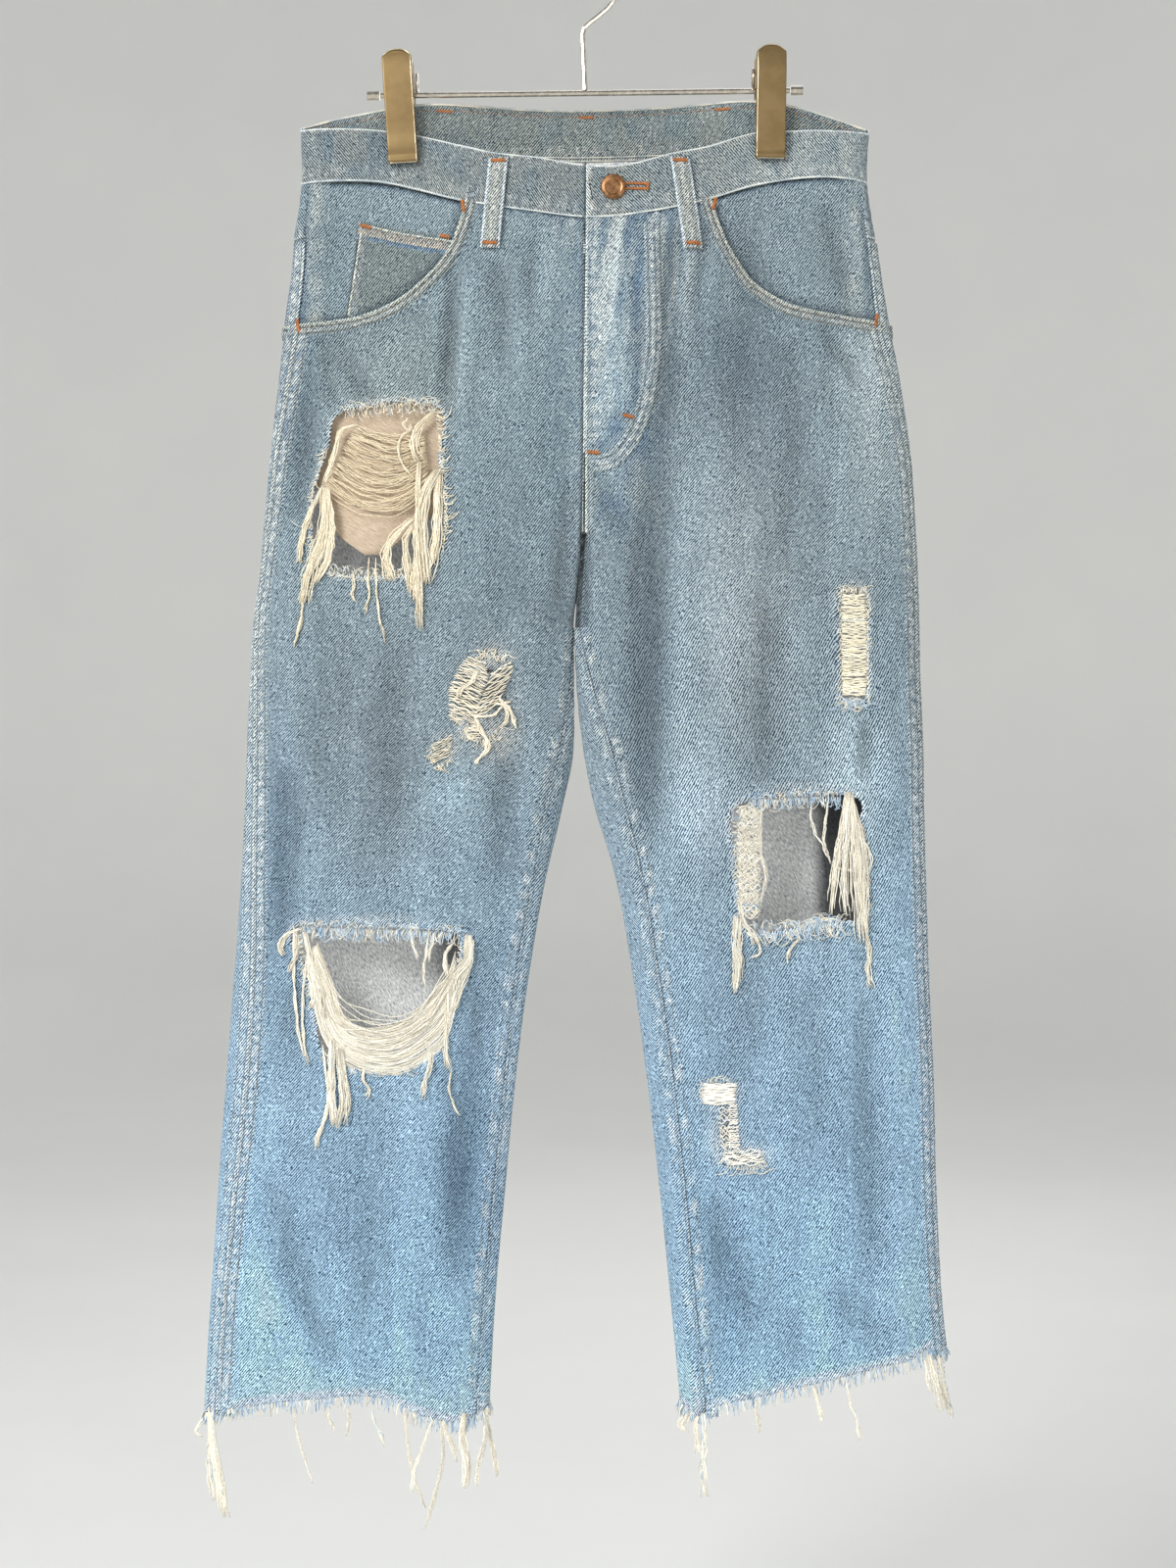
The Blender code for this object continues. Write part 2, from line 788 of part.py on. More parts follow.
def build_patch(name, cloth):
    """A piece that follows a panel: a few columns between its two edges, row by row."""
    distance, thickness, face, finish_name = PATCHES[name]
    values = PATCH_ROWS[name]
    widest = max(values["high"] - values["low"])
    columns = max(2, round(widest / 12.0))
    rows = []
    levels = list(values["drop"])
    for above, below in zip(levels, levels[1:]):
        steps = max(1, round((below - above) / 30.0))
        rows += [above + (below - above) * step / steps for step in range(steps)]
    rows.append(levels[-1])
    points = []
    for drop in rows:
        low = read(values, "low", drop)
        high = read(values, "high", drop)
        level = min(drop, HEM - 10.0)
        row = []
        for j in range(columns + 1):
            point = skin_point(low + (high - low) * j / columns, level, face, distance)
            point.z = WAIST_Z - drop
            row.append(point)
        points.append(row)
    outward = Vector((0.0, -1.0 if face == "front" else 1.0, 0.0))
    walled(add_object(name, grid_mesh(name, points, outward), cloth, finish_name), thickness)


def build_hem_fringe(name, leg, cloth):
    """The short fringe all round one hem: a ring from the cut edge to the tips."""
    angles = panel_angles(leg, HEM, back=False) + panel_angles(leg, HEM, back=True)
    rows = []
    for length in (FRINGE - GAP, 0.0):
        rows.append([cloth_point(leg, wrapped(phi), hem_drop(leg, share(phi)) - length) for phi in angles])
    inward_end = Vector((-1.0 if leg is LEFT_LEG else 1.0, -0.5, 0.0))
    walled(add_object(name, grid_mesh(name, rows, inward_end, closed=True), cloth, "thread"), CLOTH)


def primitive(name, group, finish_name, make, place):
    """An object from a bmesh primitive, moved to its place."""
    mesh = bpy.data.meshes.new(name)
    shape = bmesh.new()
    make(shape)
    shape.to_mesh(mesh)
    shape.free()
    mesh.shade_smooth()
    mesh.set_sharp_from_angle(angle=math.radians(40.0))
    item = add_object(name, mesh, group, finish_name)
    item.location = Vector(place) * MM
    return item


def bevelled(item, width):
    edge = item.modifiers.new("edge", "BEVEL")
    edge.width = width * MM
    edge.segments = 2
    edge.limit_method = "ANGLE"
    return item


def build_button(cloth):
    """Tack button: a low turned cap with a plain raised rim."""
    rim = BUTTON_RADIUS
    profile = ((0.0, 2.2), (5.6, 2.4), (6.6, 2.9), (8.4, 2.6), (rim, 1.6), (rim, 0.7), (8.2, 0.0), (0.0, 0.0))
    edges = [(k, k + 1) for k in range(len(profile) - 1)]
    seat = skin_point(BUTTON_X, BUTTON_DROP, "front", BAND_PROUD + 2.0 * GAP)
    mesh = bpy.data.meshes.new("button")
    mesh.from_pydata([(x * MM, 0.0, z * MM) for x, z in profile], edges, [])
    item = add_object("button", mesh, cloth, "copper")
    turn = item.modifiers.new("turn", "SCREW")
    turn.axis = "Z"
    turn.steps = 28
    turn.render_steps = 28
    turn.use_merge_vertices = True
    turn.merge_threshold = 0.00002
    item.rotation_euler = (math.radians(90.0), 0.0, 0.0)
    item.location = seat * MM


def wire(name, points, radius, group, finish_name):
    """A round wire along a path, with closed ends."""
    curve = bpy.data.curves.new(name, "CURVE")
    curve.dimensions = "3D"
    curve.bevel_depth = radius * MM
    curve.bevel_resolution = 2
    curve.use_fill_caps = True
    spline = curve.splines.new("POLY")
    spline.points.add(len(points) - 1)
    for target, point in zip(spline.points, points):
        target.co = (*(Vector(point) * MM), 1.0)
    curve.materials.append(finish(finish_name))
    item = bpy.data.objects.new(name, curve)
    group.objects.link(item)
    return item


def bar_height(x):
    return BAR_Z + BAR_TILT * x


def build_hook(group):
    """Wire hook: up from the bar, out to the left and round a circle whose inside top is the origin."""
    centre_z = HOOK_RADIUS - HOOK_BEND
    path = [
        (0.0, 0.0, bar_height(0.0) + BAR_RADIUS + GAP),
        (-1.0, 0.0, -80.0),
        (-1.8, 0.0, -62.0),
        (-0.6, 0.0, -57.0),
        (3.6, 0.0, -53.0),
        (9.5, 0.0, -48.5),
        (16.0, 0.0, -43.0),
    ]
    for step in range(17):
        turn = math.radians(-38.0 + 238.0 * step / 16.0)
        path.append((HOOK_BEND * math.cos(turn), 0.0, centre_z + HOOK_BEND * math.sin(turn)))
    wire("hanger_hook", path, HOOK_RADIUS, group, "nickel")


def build_bar(group):
    """Round bar with a plain sleeve on each end."""
    ends = [(x, 0.0, bar_height(x)) for x in (-BAR_REACH, BAR_REACH)]
    wire("hanger_bar", ends, BAR_RADIUS, group, "nickel")
    for name, turn in (("bar_end_right", -1.0), ("bar_end_left", 1.0)):
        sleeve = [turn * (BAR_REACH + GAP), turn * (BAR_REACH + 9.5)]
        wire(name, [(x, 0.0, bar_height(x)) for x in sleeve], 3.4, group, "nickel")


def side_profile(name, points, width, group, finish_name):
    """A side view in Y and drop from the bar, drawn out along X on both sides of the middle."""
    mesh = bpy.data.meshes.new(name)
    shape = bmesh.new()
    corners = [shape.verts.new(Vector((-width / 2.0, y, -drop)) * MM) for y, drop in points]
    face = shape.faces.new(corners)
    pushed = bmesh.ops.extrude_face_region(shape, geom=[face])
    moved = [item for item in pushed["geom"] if isinstance(item, bmesh.types.BMVert)]
    bmesh.ops.translate(shape, verts=moved, vec=(width * MM, 0.0, 0.0))
    bmesh.ops.recalc_face_normals(shape, faces=shape.faces)
    shape.to_mesh(mesh)
    shape.free()
    return add_object(name, mesh, group, finish_name)


def build_ring(name, x, group):
    """The ring of a clip's spring, round the bar's line and standing on it."""
    ring = primitive(
        name,
        group,
        "nickel",
        lambda shape: bmesh.ops.create_cone(
            shape, cap_ends=True, segments=20, radius1=CLIP_RING * MM, radius2=CLIP_RING * MM, depth=2.8 * MM
        ),
        (x, 0.0, bar_height(x) + BAR_RADIUS + CLIP_RING + GAP + 0.1),
    )
    ring.rotation_euler = (0.0, math.radians(90.0), 0.0)


def build_clip(side, x, lean, group, tools):
    """A sprung clip: a front and a back jaw, each a folded channel, on the bar, with a ring at its inner side."""
    outer = (
        (-11.0, CLIP_TOP),
        (-13.5, CLIP_TOP + 8.0),
        (-13.0, 6.0),
        (-8.2, CLIP_BOTTOM),
        (-4.4, CLIP_BOTTOM),
        (-4.4, 6.0),
        (-2.5, 4.0),
        (-2.5, CLIP_TOP),
    )
    inner = (
        (-9.8, CLIP_TOP - 1.0),
        (-12.2, CLIP_TOP + 8.0),
        (-11.8, 6.0),
        (-7.6, CLIP_BOTTOM - 12.0),
        (-3.0, CLIP_BOTTOM - 14.0),
        (-1.0, 4.0),
        (-1.0, CLIP_TOP - 1.0),
    )
    hollow_width = CLIP_WIDTH - 2.0 * CLIP_WALL
    for face, turn in (("front", 1.0), ("back", -1.0)):
        shell_side = [(turn * y, drop) for y, drop in outer]
        hollow_side = [(turn * y, drop) for y, drop in inner]
        shell = side_profile(f"clip_{face}_{side}", shell_side, CLIP_WIDTH, group, "clip_bronze")
        hollow = side_profile(f"hollow_{face}_{side}", hollow_side, hollow_width, tools, "clip_bronze")
        hollow.hide_render = True
        hollow.display_type = "WIRE"
        for item in (shell, hollow):
            item.location = Vector((x, 0.0, bar_height(x))) * MM
            item.rotation_euler = (0.0, lean, 0.0)
        cut_with(shell, hollow)
        bevelled(shell, 0.5)
    inward = 1.0 if side == "right" else -1.0
    build_ring(f"clip_ring_{side}", x + inward * (CLIP_WIDTH / 2.0 + 2.0), group)


def build():
    clear_scene()
    jeans = collection("ripped_jeans_on_clip_hanger")
    tools = collection("cutters")
    build_front_panel(
        "front_panel_right",
        RIGHT_LEG,
        RIGHT_MOUTH,
        {"thigh_rip": THIGH_RIP, "right_knee_rip": RIGHT_KNEE_RIP},
        jeans,
        tools,
    )
    build_front_panel(
        "front_panel_left",
        LEFT_LEG,
        LEFT_MOUTH,
        {"thigh_strip": THIGH_STRIP, "left_knee_rip": LEFT_KNEE_RIP},
        jeans,
        tools,
    )
    for side, leg in (("right", RIGHT_LEG), ("left", LEFT_LEG)):
        build_back_panel(f"back_panel_{side}", leg, jeans)
        build_yoke(f"yoke_{side}", leg, jeans)
        build_hem_fringe(f"hem_fringe_{side}", leg, jeans)
    build_waistband(jeans)
    for name in PATCHES:
        build_patch(name, jeans)
    build_button(jeans)
    build_hook(jeans)
    build_bar(jeans)
    build_clip("right", -CLIP_X, math.radians(-3.5), jeans, tools)
    build_clip("left", CLIP_X, math.radians(0.5), jeans, tools)


build()
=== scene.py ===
"""Looks of ripped five-pocket jeans on a clip hanger: cloth, loose threads, stitching and metal round the
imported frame.

The tables and the shape functions work in millimetres in the frame's own axes: +Z up, the front of the jeans
faces -Y, +X is the wearer's left, and the origin is the inside top of the hook. "drop" is the distance down
from the side of the waist. Right and left are the wearer's. Meshes are made in metres.
"""

import bpy
import numpy as np
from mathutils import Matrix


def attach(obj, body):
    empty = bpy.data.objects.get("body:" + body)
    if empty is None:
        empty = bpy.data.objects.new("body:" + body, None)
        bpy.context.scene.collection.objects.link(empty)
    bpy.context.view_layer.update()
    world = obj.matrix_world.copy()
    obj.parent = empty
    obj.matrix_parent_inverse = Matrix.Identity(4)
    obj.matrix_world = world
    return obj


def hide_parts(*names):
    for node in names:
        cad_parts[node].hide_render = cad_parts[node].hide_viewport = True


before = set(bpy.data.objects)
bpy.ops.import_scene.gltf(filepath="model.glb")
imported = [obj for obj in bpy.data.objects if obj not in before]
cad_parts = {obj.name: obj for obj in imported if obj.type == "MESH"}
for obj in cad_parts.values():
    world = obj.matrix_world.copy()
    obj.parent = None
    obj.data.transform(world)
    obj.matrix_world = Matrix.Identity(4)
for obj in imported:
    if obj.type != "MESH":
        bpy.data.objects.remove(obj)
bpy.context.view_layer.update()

MM = 0.001
TURN = 2.0 * np.pi
CLOTH = 1.2  # denim wall
BAND_WALL = 2.4  # waistband: two layers of denim
BAND_PROUD = 0.6  # waistband outer face in front of the panels
WAIST_Z = -130.0  # side of the waist below the inside top of the hook
FLY_BEND = 200.0  # drop at which the fly's stitching turns in
FLY_WIDTH = 44.0  # its distance from the centre line above that
FLY_END = 243.0  # drops at which the fly ends, the seat begins to fork and the legs part
SEAT_START = 200.0
CROTCH = 365.0
SIDE_SEAM_X = 204.0  # side seams beside the pockets
ROUNDING = 2.6  # power of the flattened cross-section
BAR_Z = -105.0  # middle of the hanger's bar, and its rise for each mm towards +X
BAR_TILT = 0.0125
CLIP_X = 136.0  # clips from the middle of the bar
CLOSER = 0.088 / np.pi  # how far a panel's columns crowd towards its seams, as a share of its width
LEVELS = (-30.0, 966.0, 6.0)  # drops from above the waist to below the hems, and their step
FOLLOW_END = 936.0  # threads follow the cloth down to this drop, and hang free below it


def table(columns, *rows):
    """Rows of numbers under named columns, as one array for each column."""
    return {name: np.array(column, float) for name, column in zip(columns.split(), zip(*rows))}


def read(values, column, at):
    """A smooth curve through a table's rows: a cubic between each two rows, with the mean slope at each row.
    """
    key = next(iter(values.values()))
    height = values[column]
    slope = np.gradient(height, key)
    at = np.clip(at, key[0], key[-1])
    k = np.clip(np.searchsorted(key, at, side="right") - 1, 0, len(key) - 2)
    span = key[k + 1] - key[k]
    t = (at - key[k]) / span
    start = (1 + 2 * t) * (1 - t) ** 2 * height[k] + t * (1 - t) ** 2 * span * slope[k]
    return start + t * t * (3 - 2 * t) * height[k + 1] + t * t * (t - 1) * span * slope[k + 1]


def bell(value, middle, width):
    """exp(-((value - middle) / width)^2): 1 at the middle, fading to both sides."""
    return np.exp(-(((value - middle) / width) ** 2))


def rise(start, end, value):
    """0 before start, 1 after end, with an S-shaped rise between."""
    t = np.clip((value - start) / (end - start), 0.0, 1.0)
    return t * t * (3.0 - 2.0 * t)


def fall(start, end, value):
    """1 before start, 0 after end."""
    return 1.0 - rise(start, end, value)


def drift(a, b, seed):
    """Smooth random heights from -1 to 1 over a plane: random values on a lattice of 1 by 1, joined by
    S-curves.
    """
    lattice = np.random.default_rng(seed).uniform(-1.0, 1.0, (97, 97))
    i = np.floor(a).astype(int)
    j = np.floor(b).astype(int)
    s = rise(0.0, 1.0, a - i)
    t = rise(0.0, 1.0, b - j)
    near = lattice[i % 97, j % 97] * (1 - s) + lattice[(i + 1) % 97, j % 97] * s
    far = lattice[i % 97, (j + 1) % 97] * (1 - s) + lattice[(i + 1) % 97, (j + 1) % 97] * s
    return near * (1 - t) + far * t


def dapple(a, b, seed):
    """The same heights from 0 to 1."""
    return 0.5 + 0.5 * drift(a, b, seed)


def length_along(points):
    """Length from the first point to each point of a line."""
    return np.concatenate([[0.0], np.cumsum(np.linalg.norm(np.diff(points, axis=0), axis=-1))])


def places_of(values):
    """A table's x and drop as an array of places."""
    return np.stack([values["x"], values["drop"]], axis=-1)


def curve_through(places):
    """A table of x and drop by the length run along the line through places."""
    places = np.array(places, float)
    return {"run": length_along(places), "x": places[:, 0], "drop": places[:, 1]}


# Silhouette of each leg. outer, inner: x of the folded edges. seam_out, seam_in: where the side seam and the
# inseam lie on the front, as a share of the width from the inner edge.
RIGHT_LEG = table(
    "drop outer inner seam_out seam_in",
    (-25, -210, 0.35, 0.98, 0.0),
    (45, -208, 0.35, 0.975, 0.0),
    (70, -212, 0.25, 0.965, 0.0),
    (100, -215, 0.05, 0.955, 0.0),
    (145, -221, -0.55, 0.95, 0.0),
    (190, -225, -1.15, 0.965, 0.0),
    (240, -230, -1.75, 0.98, 0.0),
    (290, -234.5, -2.55, 0.985, 0.0),
    (330, -238, -4.75, 0.99, 0.0),
    (365, -242.5, -8.4, 0.988, 0.0),
    (410, -245.5, -8.8, 0.98, 0.01),
    (460, -248, -8.6, 0.97, 0.045),
    (500, -250, -16.5, 0.962, 0.056),
    (540, -252, -26, 0.955, 0.044),
    (620, -257.5, -40.5, 0.93, 0.044),
    (700, -264, -51, 0.918, 0.038),
    (780, -269.5, -58.5, 0.932, 0.04),
    (860, -275, -65.5, 0.941, 0.042),
    (960, -281, -71, 0.945, 0.043),
)
LEFT_LEG = table(
    "drop outer inner seam_out seam_in",
    (-25, 211, 0.65, 0.98, 0.0),
    (45, 207, 0.65, 0.975, 0.0),
    (70, 211, 0.55, 0.97, 0.0),
    (100, 216, 0.35, 0.962, 0.0),
    (145, 224, -0.25, 0.952, 0.0),
    (190, 231, -0.85, 0.975, 0.0),
    (240, 238, -1.45, 0.988, 0.0),
    (290, 241.5, -2.25, 0.99, 0.0),
    (330, 243.5, -4.45, 0.99, 0.0),
    (365, 244.5, -7.4, 0.99, 0.012),
    (410, 245.5, -6.4, 0.99, 0.045),
    (460, 247.5, -1.0, 0.99, 0.084),
    (500, 248, 7, 0.99, 0.092),
    (540, 249, 19.5, 0.99, 0.088),
    (620, 251.5, 34.5, 0.99, 0.088),
    (700, 255, 45.5, 0.99, 0.09),
    (780, 257, 54.5, 0.99, 0.092),
    (860, 261, 62.5, 0.99, 0.09),
    (925, 267, 68.5, 0.99, 0.09),
    (960, 268, 71, 0.99, 0.09),
)

# How far the cloth stands in front of and behind the middle plane
DEPTH = table(
    "drop front back",
    (-25, 16, 17),
    (45, 19, 19),
    (145, 24, 28),
    (240, 27, 35),
    (330, 26, 34),
    (410, 25, 28),
    (540, 22, 23),
    (700, 21, 21),
    (960, 21, 21),
)

# Waist opening between the clips: depth against the share of the half width
WAIST_DEPTH = table(
    "share depth",
    (0.0, 18),
    (0.25, 17),
    (0.4, 12),
    (0.5, 6.5),
    (0.57, 2.9),
    (0.73, 3.3),
    (0.85, 9),
    (0.95, 13),
    (1.0, 14),
)

# Drop of the waistband's edges against x
FRONT_BAND = table(
    "x top seam",
    (-215, 3, 43),
    (-184, 2.5, 41.5),
    (-145, 3.2, 42.5),
    (-123, 6.4, 47.5),
    (-91, 15.7, 57),
    (-69, 22, 61.5),
    (-34, 27, 67),
    (0, 32.5, 71),
    (25, 33, 70),
    (39, 30.4, 68),
    (61, 23.8, 64),
    (88, 17.2, 57),
    (124, 4.5, 44.5),
    (148, 3.2, 40),
    (192, 4.5, 39.5),
    (215, 5.5, 43),
)
BACK_BAND = table(
    "x top seam yoke",
    (-215, 3, 43, 84),
    (-187, -6, 34, 82),
    (-147, -13, 26, 85),
    (-125, -16.5, 22, 87),
    (0, -17.5, 20.5, 99),
    (71, -19.5, 19, 92),
    (116, -20, 19, 87),
    (150, -16, 24, 84),
    (195, -3, 36, 82),
    (215, 5.5, 43, 84),
)

# Drop of the tip of the fringe against the share of the leg's width from its inner edge
RIGHT_HEM = table(
    "share drop",
    (0.0, 943),
    (0.05, 950),
    (0.12, 953),
    (0.19, 950),
    (0.26, 945),
    (0.31, 939),
    (0.62, 935),
    (0.83, 941),
    (1.0, 949),
)
LEFT_HEM = table(
    "share drop",
    (0.0, 942),
    (0.06, 949),
    (0.13, 942),
    (0.26, 935),
    (0.53, 922),
    (0.77, 911),
    (0.88, 906),
    (0.92, 901),
    (1.0, 903.5),
)

# Pocket mouths: the curved edge of each front panel, from the waist seam to the side seam
RIGHT_MOUTH = table(
    "x drop",
    (-87, 56),
    (-92, 75),
    (-98, 91),
    (-107, 105),
    (-118, 116),
    (-130, 126),
    (-146, 135.5),
    (-164, 142),
    (-185, 145),
    (-224, 147),
)
LEFT_MOUTH = table(
    "x drop",
    (92, 54),
    (97, 70),
    (103, 86),
    (110, 99),
    (121, 115),
    (134, 125),
    (147, 133),
    (165, 138),
    (186, 141.5),
    (228, 146),
)

# Rips that are open holes: corners in order round the edge
THIGH_RIP = table(
    "x drop",
    (-175, 212),
    (-108, 209),
    (-106, 248),
    (-103, 284),
    (-106, 312),
    (-118, 328),
    (-157, 332),
    (-190, 325),
    (-198, 298),
    (-196, 266),
    (-186, 239),
)
RIGHT_KNEE_RIP = table(
    "x drop",
    (-207, 585),
    (-101, 589),
    (-91, 599),
    (-96, 631),
    (-103, 660),
    (-111, 680),
    (-140, 689),
    (-175, 687),
    (-191, 674),
    (-196, 645),
    (-204, 613),
)
LEFT_KNEE_RIP = table(
    "x drop",
    (112, 497),
    (193, 491),
    (198, 518),
    (201, 553),
    (202, 578),
    (172, 583),
    (155, 585),
    (126, 591),
    (113, 581),
    (110, 539),
)
THIGH_STRIP = table("x drop", (186, 345), (203.5, 344), (204, 380), (203, 419), (187, 420), (185.5, 385))
WORN_HOLES = (
    table("x drop", (-81, 400), (-68, 403), (-69, 406), (-73, 410), (-77, 405)),
    table("x drop", (-86, 436), (-80, 433), (-73, 427), (-72, 429), (-80, 438), (-84, 438)),
    table("x drop", (-90, 441), (-87, 440), (-86, 444), (-89, 445)),
)

# Folds of the hanging cloth. side: 1 front, -1 back. depth: above 0 a ridge, below 0 a trough. width: half
# width of the fold. lean: how strongly the cloth swells out beside it, on its left (above 0) or right. Then
# three points.
FOLDS = table(
    "side depth width lean x1 d1 x2 d2 x3 d3",
    (1, -3.8, 6, 0.7, -94, 100, -97, 158, -102, 214),
    (1, -2.2, 8, 0.5, 176, 58, 187, 98, 197, 142),
    (1, -2.0, 12, 0.4, 116, 66, 124, 100, 134, 142),
    (1, -1.5, 4, 0.5, 37, 110, 40, 165, 37, 222),
    (1, 1.0, 5, 0.0, 50, 84, 51, 140, 52, 200),
    (1, -3.4, 15, 0.5, 50, 225, 46, 380, 44, 540),
    (1, -2.6, 13, -0.4, 56, 140, 58, 190, 50, 250),
    (1, 1.6, 20, 0.0, 74, 250, 78, 380, 84, 520),
    (1, -2.0, 13, 0.4, -60, 400, -55, 480, -66, 560),
    (1, -2.6, 16, 0.5, -84, 690, -92, 770, -100, 860),
    (1, -2.4, 12, -0.5, -226, 760, -212, 840, -178, 908),
    (1, -2.2, 14, 0.5, 88, 780, 104, 835, 128, 875),
    (1, -2.4, 9, 0.5, -205, 165, -204, 230, -210, 290),
    (1, -1.9, 8, 0.5, -178, 150, -168, 185, -150, 210),
    (1, -1.6, 7, -0.4, -190, 152, -186, 190, -178, 215),
    (1, -3.0, 10, 0.4, -217, 470, -216, 540, -222, 600),
    (1, -1.8, 18, 0.4, -135, 340, -138, 440, -150, 560),
    (1, -1.6, 16, 0.3, -182, 350, -184, 450, -176, 560),
    (1, -1.6, 15, -0.4, 146, 160, 150, 230, 150, 330),
    (1, -1.8, 14, 0.4, 112, 140, 110, 200, 118, 290),
    (1, -2.0, 7, 0.5, 172, 148, 188, 172, 210, 200),
    (1, -1.6, 13, 0.3, 130, 330, 134, 420, 128, 486),
    (1, -2.4, 7, 0.5, 206, 432, 205, 455, 203, 480),
    (1, -2.2, 8, 0.4, 66, 74, 63, 110, 60, 150),
    (1, -2.0, 6, 0.5, 88, 74, 84, 110, 78, 150),
    (1, -1.8, 7, 0.4, -64, 100, -60, 140, -58, 190),
    (1, -1.5, 6, 0.5, -34, 76, -38, 110, -40, 150),
    (1, -2.0, 8, 0.4, 4, 250, 14, 275, 30, 300),
    (1, -2.4, 9, -0.4, -4, 262, -10, 310, -14, 360),
    (1, 1.4, 11, 0.0, 24, 90, 26, 150, 24, 215),
    (1, -1.6, 12, 0.4, 160, 620, 168, 700, 178, 780),
    (1, -1.8, 14, -0.3, 200, 640, 206, 740, 214, 850),
    (1, -1.6, 15, 0.3, 118, 600, 112, 680, 108, 760),
    (1, -1.4, 12, 0.3, 176, 830, 196, 868, 226, 892),
    (1, -1.6, 14, 0.3, -150, 700, -158, 790, -150, 880),
    (1, -1.5, 12, -0.3, -200, 600, -212, 660, -222, 720),
    (1, -1.4, 13, 0.3, -70, 600, -74, 660, -84, 700),
    (1, -1.3, 11, 0.3, -120, 860, -110, 900, -104, 930),
    (1, -1.2, 10, 0.3, 150, 860, 156, 890, 150, 915),
    (-1, -3.4, 14, 0.5, -30, 250, -60, 310, -110, 350),
    (-1, -3.2, 13, 0.5, 28, 252, 62, 315, 116, 352),
    (-1, -2.6, 12, 0.4, -20, 300, -52, 370, -90, 420),
    (-1, -2.6, 12, 0.4, 22, 306, 56, 372, 96, 424),
    (-1, -2.4, 11, -0.4, -150, 285, -176, 330, -214, 352),
    (-1, -2.2, 11, -0.4, 152, 288, 182, 330, 220, 350),
    (-1, -2.0, 14, 0.4, -110, 400, -116, 500, -122, 620),
    (-1, -2.0, 14, 0.4, 118, 400, 120, 500, 126, 600),
    (-1, -2.6, 11, 0.5, -210, 560, -160, 590, -96, 600),
    (-1, -2.4, 10, 0.4, -96, 640, -150, 656, -216, 640),
    (-1, -2.4, 11, 0.5, 86, 556, 140, 590, 200, 600),
    (-1, -2.4, 10, -0.4, 90, 650, 150, 640, 220, 660),
    (-1, -1.8, 14, 0.3, -180, 680, -190, 790, -184, 900),
    (-1, -1.8, 13, 0.3, 170, 690, 180, 790, 176, 890),
    (-1, -1.6, 12, 0.3, -112, 720, -118, 800, -130, 880),
    (-1, -1.6, 12, 0.3, 118, 720, 112, 800, 126, 880),
    (-1, -1.5, 10, 0.3, -150, 110, -140, 150, -150, 200),
    (-1, -1.5, 10, 0.3, 150, 110, 142, 160, 150, 205),
    (-1, -1.5, 10, 0.3, -24, 110, -34, 160, -30, 220),
)


def share_of(phi):
    """Share of a leg's width at an angle round it: 0 at the inner edge, 1 at the outer edge."""
    return (1.0 - np.cos(phi)) / 2.0


def angle_of(leg, x, drop, front=True):
    """Angle round a leg of a point at x: 0 to pi on the front, pi to two pi on the back."""
    inner = read(leg, "inner", drop)
    share = np.clip((x - inner) / (read(leg, "outer", drop) - inner), 0.0004, 0.9996)
    phi = np.arccos(1.0 - 2.0 * share)
    return phi if front else TURN - phi


def fold_relief(x, drop, side):
    """Sum of the folds near each point: for each fold, exp(-(distance / width)^2) from its curve, faded at
    both ends, with a weaker swelling of the other sign two widths to one side.
    """
    height = np.zeros(np.shape(x))
    rows = zip(*FOLDS.values())
    for fold_side, depth, width, lean, x1, d1, x2, d2, x3, d3 in rows:
        if fold_side != side:
            continue
        t = np.linspace(0.0, 1.0, 9)
        px = (1 - t) * (1 - 2 * t) * x1 + 4 * t * (1 - t) * x2 + t * (2 * t - 1) * x3
        pd = (1 - t) * (1 - 2 * t) * d1 + 4 * t * (1 - t) * d2 + t * (2 * t - 1) * d3
        reach = 4.0 * width
        near = (x > px.min() - reach) & (x < px.max() + reach) & (drop > pd.min() - reach) & (drop < pd.max()
            + reach)
        if not near.any():
            continue
        ax = x[near][:, None]
        ad = drop[near][:, None]
        ex, ed = np.diff(px), np.diff(pd)
        along = np.clip(((ax - px[:-1]) * ex + (ad - pd[:-1]) * ed) / (ex * ex + ed * ed), 0.0, 1.0)
        dx = ax - px[:-1] - along * ex
        dd = ad - pd[:-1] - along * ed
        distance = np.hypot(dx, dd)
        best = distance.argmin(axis=1)[:, None]
        away = np.take_along_axis(distance, best, 1)[:, 0]
        turn = np.sign(np.take_along_axis(dx * ed - dd * ex, best, 1)[:, 0])
        place = (np.take_along_axis(along, best, 1)[:, 0] + best[:, 0]) / len(ex)
        fade = np.sqrt(np.clip(np.sin(np.pi * place), 0.0, 1.0))
        signed = away * turn * np.sign(lean if lean else 1.0)
        shape = bell(away, 0.0, width)
        shape -= 0.55 * abs(lean) * bell(signed, 1.9 * width, 1.2 * width)
        height[near] += 1.7 * depth * fade * shape
    return height


def relief(leg, phi, drop):
    """Height of the cloth over its plain form: the folds and a slow unevenness, none of it at the folded
    edges of the leg or at the waistband.
    """
    phi = np.mod(phi, TURN)
    share = share_of(phi)
    inner = read(leg, "inner", drop)
    outer = read(leg, "outer", drop)
    x = inner + share * (outer - inner)
    from_edge = np.minimum(share, 1.0 - share) * np.abs(outer - inner)
    front = phi <= np.pi
    seam = np.where(front, read(FRONT_BAND, "seam", x), read(BACK_BAND, "seam", x))
    calm = rise(0.0, 16.0, from_edge) * rise(2.0, 26.0, drop - seam)
    slow = 1.1 * drift(x / 34.0 + 7.0, drop / 120.0 + 3.0, 5) + 0.4 * drift(x / 13.0, drop / 34.0, 6)
    folds = np.where(front, fold_relief(x, drop, 1), fold_relief(x, drop, -1))
    return calm * (folds + slow * np.where(front, 1.0, 1.3))


